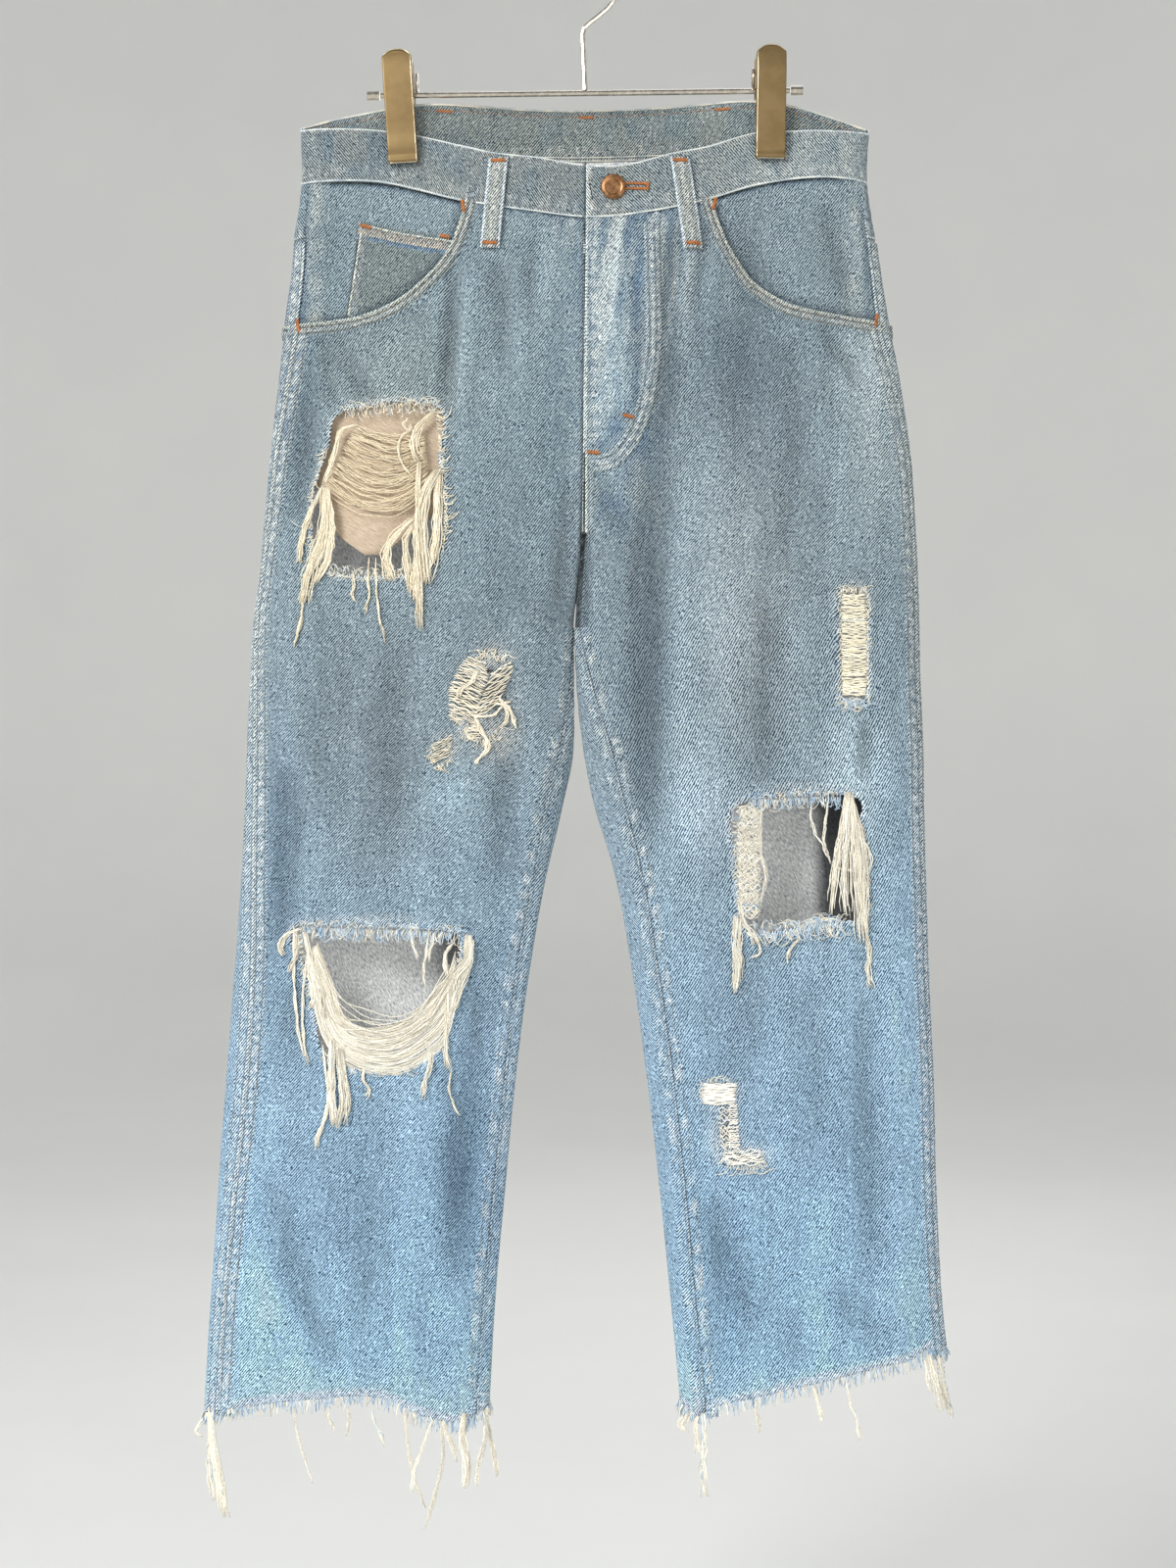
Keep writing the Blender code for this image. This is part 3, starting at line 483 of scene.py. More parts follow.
def plain_cloth(leg, phi, drop):
    """Outer face of the cloth without its folds.

    Above the crotch the section is a flattened half tube that starts at the centre line, (1 - share^p)^1/2
    deep. Below it is a whole flattened tube, (1 - |cos|^p)^1/2 deep. The two mix where the fly and the seat
    run into the crotch.
    """
    phi = np.mod(phi, TURN)
    share = share_of(phi)
    front = phi <= np.pi
    inner = read(leg, "inner", drop)
    outer = read(leg, "outer", drop)
    half_tube = np.sqrt(np.clip(1.0 - share**ROUNDING, 0.0, 1.0))
    whole_tube = np.sqrt(np.clip(1.0 - np.abs(np.cos(phi)) ** ROUNDING, 0.0, 1.0))
    fork = rise(np.where(front, FLY_END, SEAT_START), CROTCH, drop)
    below = np.where(front, read(DEPTH, "front", drop), read(DEPTH, "back", drop))
    at_waist = read(WAIST_DEPTH, "depth", share)
    depth = at_waist + rise(10.0, 120.0, drop) * (below - at_waist)
    depth = depth * (half_tube + fork * (whole_tube - half_tube))
    x = inner + share * (outer - inner)
    return np.stack(np.broadcast_arrays(x, np.where(front, -depth, depth), WAIST_Z - drop), axis=-1)


def outward(leg, phi, drop):
    """Outward direction of the plain cloth: the cross product of its steps round and down the leg. Above the
    crotch a step doesn't cross the centre line.
    """
    phi = np.mod(phi, TURN)
    joined = drop > CROTCH
    after = np.where(joined, phi + 0.02, np.minimum(phi + 0.02, TURN - 1e-4))
    before = np.where(joined, phi - 0.02, np.maximum(phi - 0.02, 1e-4))
    around = plain_cloth(leg, after, drop) - plain_cloth(leg, before, drop)
    down = plain_cloth(leg, phi, drop + 1.0) - plain_cloth(leg, phi, drop - 1.0)
    out = np.cross(around, down)
    out /= np.maximum(np.linalg.norm(out, axis=-1, keepdims=True), 1e-9)
    return out if leg is RIGHT_LEG else -out


def cloth(leg, phi, drop, lift=0.0):
    """The cloth's outer face with its folds, moved out by lift."""
    phi, drop = np.broadcast_arrays(np.asarray(phi, float), np.asarray(drop, float))
    height = relief(leg, phi, drop) + lift
    return plain_cloth(leg, phi, drop) + outward(leg, phi, drop) * height[..., None]


def skin(x, drop, lift=0.0, front=True):
    """A point on the cloth at x and drop, moved out by lift."""
    x, drop = np.broadcast_arrays(np.asarray(x, float), np.asarray(drop, float))
    on_left = x > read(LEFT_LEG, "inner", drop) - 0.2
    legs = [leg for leg, used in ((RIGHT_LEG, not on_left.all()), (LEFT_LEG, on_left.any())) if used]
    points = [cloth(leg, angle_of(leg, x, drop, front), drop, lift) for leg in legs]
    return np.where(on_left[..., None], points[-1], points[0])


def linear(colour):
    """A "#rrggbb" colour as linear red, green and blue."""
    parts = np.array([int(colour[k : k + 2], 16) for k in (1, 3, 5)]) / 255.0
    return np.where(parts <= 0.04045, parts / 12.92, ((parts + 0.055) / 1.055) ** 2.4)


def grid_quads(rows, columns, closed=False):
    """The quads of a grid of points, joined round from its last column to its first if closed."""
    index = np.arange(rows * columns).reshape(rows, columns)
    if closed:
        index = np.concatenate([index, index[:, :1]], axis=1)
    return np.stack([index[:-1, :-1], index[:-1, 1:], index[1:, 1:], index[1:, :-1]], axis=-1).reshape(-1, 4)


def build(name, points, quads, finishes, outward=None, colour=None, grain=None, painted_shade=None):
    """A mesh through points in mm, its faces turned towards outward, or out of the form that they close."""
    co = np.asarray(points, float).reshape(-1, 3) * MM
    used = np.unique(quads)
    renumber = np.zeros(len(co), int)
    renumber[used] = np.arange(len(used))
    quads = renumber[quads]
    co = co[used]
    a, b, c, d = (co[quads[:, k]] for k in range(4))
    normal = np.cross(c - a, d - b)
    turned = normal.sum(axis=0) @ np.array(outward) if outward is not None else (normal
        * (a + b + c + d)).sum()
    if turned < 0.0:
        quads = quads[:, ::-1]
    mesh = bpy.data.meshes.new(name)
    mesh.vertices.add(len(co))
    mesh.vertices.foreach_set("co", co.ravel())
    mesh.loops.add(quads.size)
    mesh.loops.foreach_set("vertex_index", quads.ravel().astype(np.int32))
    mesh.polygons.add(len(quads))
    mesh.polygons.foreach_set("loop_start", np.arange(0, quads.size, 4, dtype=np.int32))
    mesh.update(calc_edges=True)
    mesh.polygons.foreach_set("use_smooth", np.ones(len(quads), bool))
    if colour is not None:
        # The per-point colour, with the painted shade and painted shadows laid into it
        layer = mesh.attributes.new("colour_and_shade", "FLOAT_COLOR", "POINT")
        rgba = np.ones((len(co), 4))
        rgba[:, :3] = np.broadcast_to(colour, (len(renumber), 3))[used]
        layer.data.foreach_set("color", rgba.ravel())
    if grain is not None:
        layer = mesh.attributes.new("grain", "FLOAT_VECTOR", "POINT")
        uvw = np.zeros((len(co), 3))
        uvw[:, :2] = np.asarray(grain).reshape(-1, 2)[used]
        layer.data.foreach_set("vector", uvw.ravel())
    if painted_shade is not None:
        mesh.attributes.new("painted_shade", "FLOAT", "POINT").data.foreach_set("value", painted_shade.ravel()[used])
    for finish in finishes:
        mesh.materials.append(finish)
    item = bpy.data.objects.new(name, mesh)
    bpy.context.scene.collection.objects.link(item)
    return item


def set_in(item, nodes):
    """Puts a piece on the one body, in place of these nodes."""
    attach(item, "root")
    if nodes:
        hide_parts(*nodes)
    return item


def walled(item, thickness, backed=True):
    """Gives a sheet its thickness on its inner side, where a backed sheet has its second finish."""
    wall = item.modifiers.new("wall", "SOLIDIFY")
    wall.thickness = thickness * MM
    wall.offset = -1.0
    if backed:
        wall.material_offset = 1
    return item


def tubes(paths, radius):
    """Points and quads of four-sided tubes along paths of shape (number, steps, 3), thinner at both ends,
    with their ends closed: p(t) + r(t) * (cos a * side(t) + sin a * up(t)), a = 45, 135, 225 and 315 degrees.
    """
    number, steps, _ = paths.shape
    along = np.gradient(paths, axis=1)
    along /= np.maximum(np.linalg.norm(along, axis=-1, keepdims=True), 1e-9)
    side = np.cross(along, np.array([0.12, 1.0, 0.07]))
    side /= np.maximum(np.linalg.norm(side, axis=-1, keepdims=True), 1e-9)
    up = np.cross(side, along)
    turn = np.pi / 4.0 + np.pi / 2.0 * np.arange(4)
    width = np.array(np.broadcast_to(radius if np.ndim(radius) == 2 else np.reshape(radius, (-1, 1)),
        (number, steps)))
    width[:, [0, -1]] *= 0.45
    ring = np.cos(turn)[:, None] * side[:, :, None] + np.sin(turn)[:, None] * up[:, :, None]
    points = paths[:, :, None] + ring * width[:, :, None, None]
    corner = np.arange(4)
    one = np.concatenate([grid_quads(steps, 4, closed=True), [corner[::-1], corner + (steps - 1) * 4]])
    quads = (one[None] + (np.arange(number) * steps * 4)[:, None, None]).reshape(-1, 4)
    return points.reshape(-1, 3), quads


def joined(parts):
    """Several (points, quads, colours) as one."""
    points = np.concatenate([p for p, _, _ in parts])
    start = np.cumsum([0] + [len(p) for p, _, _ in parts[:-1]])
    quads = np.concatenate([q + s for (_, q, _), s in zip(parts, start)])
    colours = np.concatenate([np.broadcast_to(c, (len(p), 3)) for p, _, c in parts])
    return points, quads, colours


def add(tree, kind, inputs=None, **settings):
    """One shader node: its settings, then its inputs by name or number, each a value or another node or
    output.
    """
    node = tree.nodes.new("ShaderNode" + kind)
    for name, value in settings.items():
        setattr(node, name, value)
    for key, value in (inputs or {}).items():
        if isinstance(value, bpy.types.Node):
            value = value.outputs[0]
        if isinstance(value, bpy.types.NodeSocket):
            tree.links.new(value, node.inputs[key])
        else:
            node.inputs[key].default_value = value
    return node


def material(name, **constants):
    """A new material, its node tree and its Principled shader, with these constants set on the shader's
    sockets.
    """
    made = bpy.data.materials.new(name)
    made.use_nodes = True
    tree = made.node_tree
    shader = next(node for node in tree.nodes if node.type == "BSDF_PRINCIPLED")
    for key, value in constants.items():
        shader.inputs[key.replace("_", " ")].default_value = value
    return made, tree, shader


def woven(tree, where, layers, twill=None, height=0.0):
    """A pattern: 0.5 plus each (layer - 0.5) times its weight, the twill's ridges first, with height as their
    weight, then layers of noise. A layer's spots are so many mm along and across its threads, which lie at
    turn degrees.
    """
    level = 0.5 - 0.5 * (height + sum(layer[-1] for layer in layers))
    if twill:
        level = add(tree, "Math", {0: twill, 1: height, 2: level}, operation="MULTIPLY_ADD")
    for along, across, turn, detail, roughness, place, weight in layers:
        places = {
            "Vector": where, "Location": (place, 0.7 * place, 0.0), "Rotation": (0.0, 0.0, np.radians(turn)),
            "Scale": (along, across, 1.0),
        }
        laid = add(tree, "Mapping", places, vector_type="TEXTURE")
        spots = add(tree, "TexNoise", {"Vector": laid, "Scale": 1.0, "Detail": detail,
            "Roughness": roughness})
        level = add(tree, "Math", {0: spots, 1: weight, 2: level}, operation="MULTIPLY_ADD")
    return level


def finished(made, tree, shader, depth=None, height=None, **links):
    """Links outputs to the shader's sockets, and a height pattern as relief depth mm deep."""
    for key, output in links.items():
        tree.links.new(output, shader.inputs[key.replace("_", " ")])
    if height is not None:
        bump = add(tree, "Bump", {"Height": height, "Strength": 1.0, "Distance": depth * MM})
        tree.links.new(bump.outputs[0], shader.inputs["Normal"])
    return made


def denim(name, lean, dark, light, contrast=1.0):
    """Stone-washed denim: ring-spun indigo warp over undyed weft in broken twill, leaning lean degrees to the
    weft.

    Each rib is pale where the dye has worn off its crown, so that the cloth looks like salt and pepper from
    afar. The real ribs are 0.7 mm apart, too fine to show, so they are drawn 1.5 mm apart.
    """
    made, tree, shader = material(
        name, Roughness=0.88, Sheen_Weight=0.12, Sheen_Roughness=0.5, Specular_IOR_Level=0.25
    )
    grain = add(tree, "Attribute", attribute_name="grain").outputs["Vector"]
    colour_and_shade = add(tree, "Attribute", attribute_name="colour_and_shade").outputs["Color"]
    laid = add(tree, "Mapping", {"Vector": grain, "Rotation": (0.0, 0.0, np.radians(lean))},
        vector_type="TEXTURE")
    ridges = {"Vector": laid, "Scale": 0.314 / 1.55, "Distortion": 0.8, "Detail": 1.0, "Detail Scale": 1.2}
    twill = add(tree, "TexWave", ridges, bands_direction="Y").outputs["Fac"]
    # Ribs, crumbs and salt of the worn crowns, then patches, slubs in the warp and clouds of the wash: size
    # along and across, turn, detail, roughness, place, weight
    pattern = woven(tree, grain, (
        (3.0, 0.75, lean, 0.5, 0.5, 0.0, 2.3 * contrast),
        (1.1, 0.9, lean + 8.0, 0.5, 0.5, 31.0, 2.4 * contrast),
        (1.9, 1.6, lean + 20.0, 1.0, 0.5, 11.0, 2.8 * contrast),
        (6.0, 7.0, 0.0, 1.0, 0.5, 17.0, 0.6),
        (1.8, 30.0, 0.0, 1.0, 0.6, 57.0, 0.4),
        (20.0, 30.0, 8.0, 3.0, 0.6, 83.0, 0.4),
    ), twill, 1.8 * contrast)
    shown = add(tree, "MapRange", {0: pattern, 1: 0.0, 2: 1.0})
    low, high = (
        add(tree, "Mix", {0: 1.0, 6: colour_and_shade, 7: (*tone, 1.0)}, data_type="RGBA",
            blend_type="MULTIPLY").outputs[2]
        for tone in (dark, light)
    )
    undyed = add(tree, "VectorMath", {0: high, 1: (0.81, 0.895, 0.98)}, operation="MINIMUM")
    worn = add(tree, "MapRange", {0: colour_and_shade, 1: 0.45, 2: 0.9, 3: 0.0, 4: 0.6})
    faded = add(tree, "Mix", {0: worn, 6: low, 7: colour_and_shade}, data_type="RGBA").outputs[2]
    colour = add(tree, "Mix", {0: shown, 6: faded, 7: undyed}, data_type="RGBA").outputs[2]
    return finished(made, tree, shader, 0.16, pattern, Base_Color=colour)


def plain_cloth_finish(name, low, high, size, turn, depth=0.15, **constants):
    """A plain cotton cloth: two close colours in a pattern of size mm, with painted shade taking it to near
    black where its attribute of painted shade is 1, and its colour glowing as painted light at the emission
    strength given.
    """
    made, tree, shader = material(name, Roughness=0.92, Sheen_Weight=0.1, Specular_IOR_Level=0.2, **constants)
    grain = add(tree, "Attribute", attribute_name="grain").outputs["Vector"]
    layers = ((*size, turn, 2.0, 0.7, 0.0, 2.6), (14.0, 22.0, 0.0, 3.0, 0.6, 41.0, 0.3))
    pattern = woven(tree, grain, layers)
    two = {0: pattern, 6: (*linear(low), 1.0), 7: (*linear(high), 1.0)}
    colour = add(tree, "Mix", two, data_type="RGBA").outputs[2]
    painted_shade = add(tree, "Attribute", attribute_name="painted_shade").outputs["Fac"]
    darkened = {0: painted_shade, 6: colour, 7: (*linear("#17191d"), 1.0)}
    colour = add(tree, "Mix", darkened, data_type="RGBA").outputs[2]
    return finished(made, tree, shader, depth, pattern, Base_Color=colour, Emission_Color=colour)


def yarn_finish(name, contrast, **constants):
    """Spun cotton yarn: each thread's colour is in its colour attribute, with fibres that catch light along
    it, and the same colour glows as painted light at the emission strength given.
    """
    made, tree, shader = material(name, Roughness=0.85, Specular_IOR_Level=0.25, **constants)
    colour_and_shade = add(tree, "Attribute", attribute_name="colour_and_shade").outputs["Color"]
    where = add(tree, "TexCoord").outputs["Object"]
    fibres = add(tree, "TexNoise", {"Vector": where, "Scale": 900.0, "Detail": 2.0}).outputs[0]
    level = add(tree, "MapRange", {0: fibres, 1: 0.3, 2: 0.7, 3: 1.0 - contrast, 4: 1.0 + 0.6 * contrast})
    colour = add(tree, "Mix", {0: 1.0, 6: colour_and_shade, 7: level}, data_type="RGBA", blend_type="MULTIPLY").outputs[2]
    return finished(made, tree, shader, Base_Color=colour, Emission_Color=colour)


def metal(name, base, worn, roughness, spread, size=3.0, relief=0.03):
    """A metal with a worn or tarnished pattern between two colours, its patches size mm wide."""
    made, tree, shader = material(name, Metallic=1.0)
    where = add(tree, "TexCoord").outputs["Object"]
    scale = {"Vector": where, "Scale": 1.0 / (size * MM), "Detail": 4.0, "Roughness": 0.65}
    patches = add(tree, "TexNoise", scale).outputs[0]
    level = add(tree, "MapRange", {0: patches, 1: 0.35, 2: 0.65}, interpolation_type="SMOOTHSTEP")
    two = {0: level, 6: (*linear(base), 1.0), 7: (*linear(worn), 1.0)}
    colour = add(tree, "Mix", two, data_type="RGBA").outputs[2]
    rough = add(tree, "MapRange", {0: patches, 1: 0.3, 2: 0.7, 3: roughness - spread, 4: roughness + spread})
    return finished(made, tree, shader, relief, patches, Base_Color=colour, Roughness=rough.outputs[0])


# Washed many times: pale speckled blue over a dark ground, and on the waistband the twill leans the other way
STONEWASHED = denim("stonewashed_denim_twill", 52.0, (0.06, 0.14, 0.22), (2.3, 2.03, 1.85))
BAND_DENIM = denim("waistband_denim_cross_twill", 128.0, (0.06, 0.14, 0.22), (2.2, 1.96, 1.8), 0.95)
# The inner face of the same denim: undyed weft with grey warp between, so it looks light grey. It glows
# faintly as painted light, so that the inside of the legs looks lit
INNER_DENIM = plain_cloth_finish(
    "denim_inner_face", "#767b82", "#e9e9e6", (3.4, 0.9), 123.0, Emission_Strength=0.22
)
# Unbleached cotton twill, which has gone a warm beige, with a very faint glow of painted light
POCKETING = plain_cloth_finish(
    "cotton_pocketing_twill", "#a4917c", "#c9b8a3", (6.0, 0.9), 150.0, 0.1, Emission_Strength=0.03
)
# Undyed weft and cut warp ends: soft and matt, and glowing a little as painted light so that they look bright
COTTON = yarn_finish("loose_cotton_yarn", 0.2, Emission_Strength=0.08)
# Sewing thread that has faded to a pale tan, and the bartacks' thread, which has kept its orange
TOPSTITCH = yarn_finish("washed_out_topstitch_thread", 0.25)
BARTACK = yarn_finish("orange_bartack_thread", 0.25)
# Plated wire, smooth with soft reflections
BAR_METAL = metal("satin_nickel_plated_wire", "#b9b0a2", "#d8d0c3", 0.24, 0.05, 4.0)
# Pressed steel with an antique bronze finish, dull and slightly mottled, and a paler copy of it along its
# bent edges as a painted highlight
CLIP_METAL = metal("pressed_steel_antique_bronze", "#8a7451", "#927c58", 0.5, 0.02, 14.0, 0.0)
EDGE_HIGHLIGHT_METAL = metal("pressed_steel_edge_painted_highlight", "#d9c9a5", "#efe3c6", 0.3, 0.05, 4.0)
# Turned copper, brown in its hollows and bright where it is worn
BUTTON_METAL = metal("turned_copper_worn_antique", "#86603f", "#b0835f", 0.38, 0.06, 3.5, 0.02)

# Colour down the leg, from greyed blue at the hips to bright blue at the shins
COLOUR_DOWN_THE_LEG = (
    (0, "#8a999e"), (170, "#87979d"), (300, "#8e9ea4"), (450, "#8fa0a8"), (560, "#94abb9"), (680, "#99b5c9"),
    (800, "#99b9d0"), (900, "#a0c2d8"), (950, "#b0cee0"),
)
# Where it differs from that: middle across and down, half width, half height, colour and strength. The pale
# zones are worn and faded; most of the darker ones are painted shade, on the hips and the sides turned from
# the light, beside the crotch and along the long folds of the legs
WASH_AND_SHADE_ZONES = (
    (-214, 150, 18, 130, "#6b7e8a", 0.7), (-130, 185, 46, 42, "#8e9b98", 0.7),
    (-22, 220, 14, 80, "#768990", 0.7),
    (15, 190, 13, 110, "#9fb1b8", 0.6), (112, 178, 28, 50, "#6c7d86", 0.8),
    (212, 200, 22, 70, "#b4c0c1", 0.8),
    (108, 330, 90, 200, "#7f8c93", 0.45), (115, 350, 32, 95, "#a6b0b4", 0.8),
    (47, 410, 17, 90, "#74858e", 0.8), (-145, 470, 42, 90, "#838f95", 0.7),
    (-97, 492, 20, 24, "#a9c1cc", 0.7), (90, 500, 24, 40, "#aebfc9", 0.7), (193, 472, 24, 50, "#b9cdd5", 0.8),
    (-85, 765, 20, 80, "#718ea6", 0.7), (232, 720, 22, 220, "#a9cae1", 0.6),
    (-55, 700, 13, 100, "#a6c0d3", 0.6),
    (104, 855, 14, 60, "#85a6c0", 0.6), (-222, 560, 16, 120, "#86a0b4", 0.6),
    (-66, 285, 50, 80, "#798990", 0.65),
    (-62, 125, 44, 50, "#7f8f95", 0.5), (-184, 95, 16, 45, "#74858a", 0.6),
)
DYE = np.array([0.685, 0.75, 0.81])  # share of each washed colour's red, green and blue that the cloth shows


def wash_and_shade_at(x, drop):
    """The colour near each point, with painted shade in some zones: the colour for its height, moved towards
    each zone's colour by the zone's strength * exp(-(dx / half width)^2 - (dy / half height)^2).
    """
    levels = [level for level, _ in COLOUR_DOWN_THE_LEG]
    down = np.array([linear(colour) for _, colour in COLOUR_DOWN_THE_LEG])
    colour = np.stack([np.interp(drop, levels, down[:, k]) for k in range(3)], axis=-1)
    for x0, drop0, wide, high, target, strength in WASH_AND_SHADE_ZONES:
        near = bell(x, x0, wide) * bell(drop, drop0, high)
        colour = toward(colour, target, strength * near)
    return colour * DYE


def toward(colours, target, amount):
    """Colours moved towards another, an array or "#rrggbb", by an amount for each point or one for all."""
    target = linear(target) if isinstance(target, str) else np.asarray(target)
    return colours + (target - colours) * np.clip(amount, 0.0, 1.0)[..., None]


def smooth_outline(values, step=1.0, rough=0.9, seed=1):
    """A closed curve through a table's corners, Catmull-Rom, with a little raggedness, as an array of (x,
    drop).
    """
    corner = places_of(values)
    parts = []
    count = len(corner)
    for k in range(count):
        a, b, c, d = (corner[(k + n - 1) % count] for n in range(4))
        t = np.arange(0.0, 1.0, step / max(np.linalg.norm(c - b), step))[:, None]
        parts.append(0.5 * (2 * b + (c - a) * t + (2 * a - 5 * b + 4 * c - d) * t**2
            + (3 * b - a - 3 * c + d) * t**3))
    line = np.concatenate(parts)
    return line + rough * np.random.default_rng(seed).normal(0.0, 0.45, line.shape)


def from_outline(x, drop, line):
    """Signed distance to a closed outline, below 0 inside it, and the nearest point on it."""
    a = line
    b = np.roll(line, -1, axis=0)
    p = np.stack([x, drop], axis=-1)[:, None]
    e = b - a
    t = np.clip(((p - a) * e).sum(-1) / np.maximum((e * e).sum(-1), 1e-9), 0.0, 1.0)
    near = a + t[..., None] * e
    away = np.linalg.norm(p - near, axis=-1)
    best = away.argmin(axis=1)
    crosses = (a[:, 1] > p[..., 1]) != (b[:, 1] > p[..., 1])
    run = np.where(np.abs(e[:, 1]) < 1e-9, 1e-9, e[:, 1])
    left = p[..., 0] < a[:, 0] + (p[..., 1] - a[:, 1]) * e[:, 0] / run
    inside = (crosses & left).sum(axis=1) % 2 == 1
    pick = np.arange(len(x))
    return np.where(inside, -1.0, 1.0) * away[pick, best], near[pick, best]


RIGHT_RIPS = [smooth_outline(THIGH_RIP, seed=3), smooth_outline(RIGHT_KNEE_RIP, seed=4)] + [
    smooth_outline(values, 0.6, 0.5, seed=20 + k) for k, values in enumerate(WORN_HOLES)
]
LEFT_RIPS = [smooth_outline(THIGH_STRIP, seed=5), smooth_outline(LEFT_KNEE_RIP, seed=6)]


def mouth_line(values):
    """A pocket mouth's outline, closed above and beyond the side seam."""
    x, drop = values["x"], values["drop"]
    fine = np.linspace(0.0, 1.0, 120)
    steps = np.linspace(0.0, 1.0, len(x))
    edge = np.stack([np.interp(fine, steps, x), np.interp(fine, steps, drop)], axis=-1)
    for _ in range(20):
        edge[1:-1] += 0.5 * (edge[:-2] + edge[2:] - 2 * edge[1:-1])
    far = x[-1] * 1.15
    return np.concatenate([edge, [(far, drop[-1] + 1.0), (far, -60.0), (x[0] * 0.97, -60.0),
        (x[0] * 0.97, 30.0)]])


RIGHT_MOUTH_LINE = mouth_line(RIGHT_MOUTH)
LEFT_MOUTH_LINE = mouth_line(LEFT_MOUTH)


def columns_between(leg, back, count):
    """Angles of a panel's columns between its two seams on a ladder of drops: even in arc length, closer
    together near both seams. Returns the drops, the angles and the arc length from the first seam.
    """
    levels = np.arange(*LEVELS)
    fine = np.linspace(0.0, 2.5 * np.pi, 900)
    points = plain_cloth(leg, fine[None, :], levels[:, None])
    length = np.concatenate(
        [np.zeros((len(levels), 1)), np.cumsum(np.linalg.norm(np.diff(points, axis=1), axis=-1), axis=1)],
        axis=1
    )
    inseam, side = (np.arccos(1.0 - 2.0 * np.clip(read(leg, key, levels), 0.0, 1.0))
        for key in ("seam_in", "seam_out"))
    open_seam = np.where(levels >= CROTCH, 0.15, 0.0)
    t = np.linspace(0.0, 1.0, count)
    t = t - CLOSER * np.sin(TURN * t)
    angles, lengths = [], []
    for row in range(len(levels)):
        first, last = inseam[row], side[row]
        if back:
            first, last = side[row], TURN + inseam[row]
        start = np.interp(first, fine, length[row]) + (0.15 if back else open_seam[row])
        end = np.interp(last, fine, length[row]) - (open_seam[row] if back else 0.15)
        at = start + t * (end - start)
        angles.append(np.interp(at, length[row], fine))
        lengths.append(at - start)
    return levels, np.array(angles), np.array(lengths)


def at_level(levels, values, drop):
    """Values given for each column on a ladder of drops, read at each point's own drop."""
    place = np.clip((drop - levels[0]) / (levels[1] - levels[0]), 0, len(levels) - 1.001)
    k = place.astype(int)
    f = place - k
    column = np.broadcast_to(np.arange(drop.shape[1]), drop.shape)
    return values[k, column] * (1 - f) + values[k + 1, column] * f


def hem_at(leg, share):
    return read(RIGHT_HEM if leg is RIGHT_LEG else LEFT_HEM, "drop", share) - 6.0


def x_of(leg, phi, drop):
    inner = read(leg, "inner", drop)
    return inner + share_of(phi) * (read(leg, "outer", drop) - inner)


def panel_grid(leg, back, rows, columns):
    """Angle, drop, distance from the inseam side and panel width for each point of a panel."""
    levels, angles, lengths = columns_between(leg, back, columns)
    band = BACK_BAND if back else FRONT_BAND
    at_top = x_of(leg, angles[12], 45.0)  # row 12 lies at the waistband's seam, row -4 near the hem
    top = read(band, "yoke" if back else "seam", at_top) + 0.3
    end = hem_at(leg, share_of(angles[-4]))
    r = np.linspace(0.0, 1.0, rows)[:, None]
    drop = top + r * (end - top)
    phi = at_level(levels, angles, drop)
    length = at_level(levels, lengths, drop)
    width = at_level(levels, np.broadcast_to(lengths[:, -1:], lengths.shape), drop)
    return phi, drop, length, width


def seam_dressing(edge, drop, seed):
    """Height and paleness of the puckered band beside a seam, by the distance from its edge: a worn ridge on
    the edge, puckers every 9 mm up to the stitch line at 9 mm, and a worn line beyond it.
    """
    wobble = 1.6 * drift(drop / 11.0, edge * 0.0 + seed, 31)
    pucker = 0.5 + 0.5 * np.sin(TURN * (drop + 3.0 * wobble) / 9.0 + 0.25 * edge)
    band = rise(1.0, 3.0, edge) * fall(7.5, 9.5, edge)
    ridge = fall(0.6, 2.4, edge)
    line = bell(edge, 10.6, 1.1)
    fine = dapple(drop / 2.4 + seed, edge / 2.0, 32)
    height = 0.55 * ridge + band * (0.35 + 0.75 * pucker) + 0.25 * line
    pale = 0.85 * ridge * (0.5 + 0.5 * fine) + band * (0.75 * pucker - 0.33) + 0.45 * line * fine
    return height, pale


CLOTH_FINISHES = (STONEWASHED, INNER_DENIM)


def side_of(leg):
    """1 for the left leg, -1 for the right."""
    return 1.0 if leg is LEFT_LEG else -1.0


def cut_cloth(name, points, quads, front, colour, weft, drop, finishes=CLOTH_FINISHES, thickness=CLOTH,
        painted_shade=None):
    """A walled piece of cloth with its outer side to the front or the back, its grain laid out by weft and
    drop.
    """
    grain = np.stack([weft, -drop], axis=-1)
    out = (0.0, -1.0 if front else 1.0, 0.0)
    item = build(name, points, quads, finishes, out, colour=colour.reshape(-1, 3), grain=grain, painted_shade=painted_shade)
    return walled(item, thickness, backed=len(finishes) > 1)


WORN_WHITE = linear("#e6ebe8")
DEEP_BLUE = linear("#4f6a84")
SHADE = linear("#5c6d78")


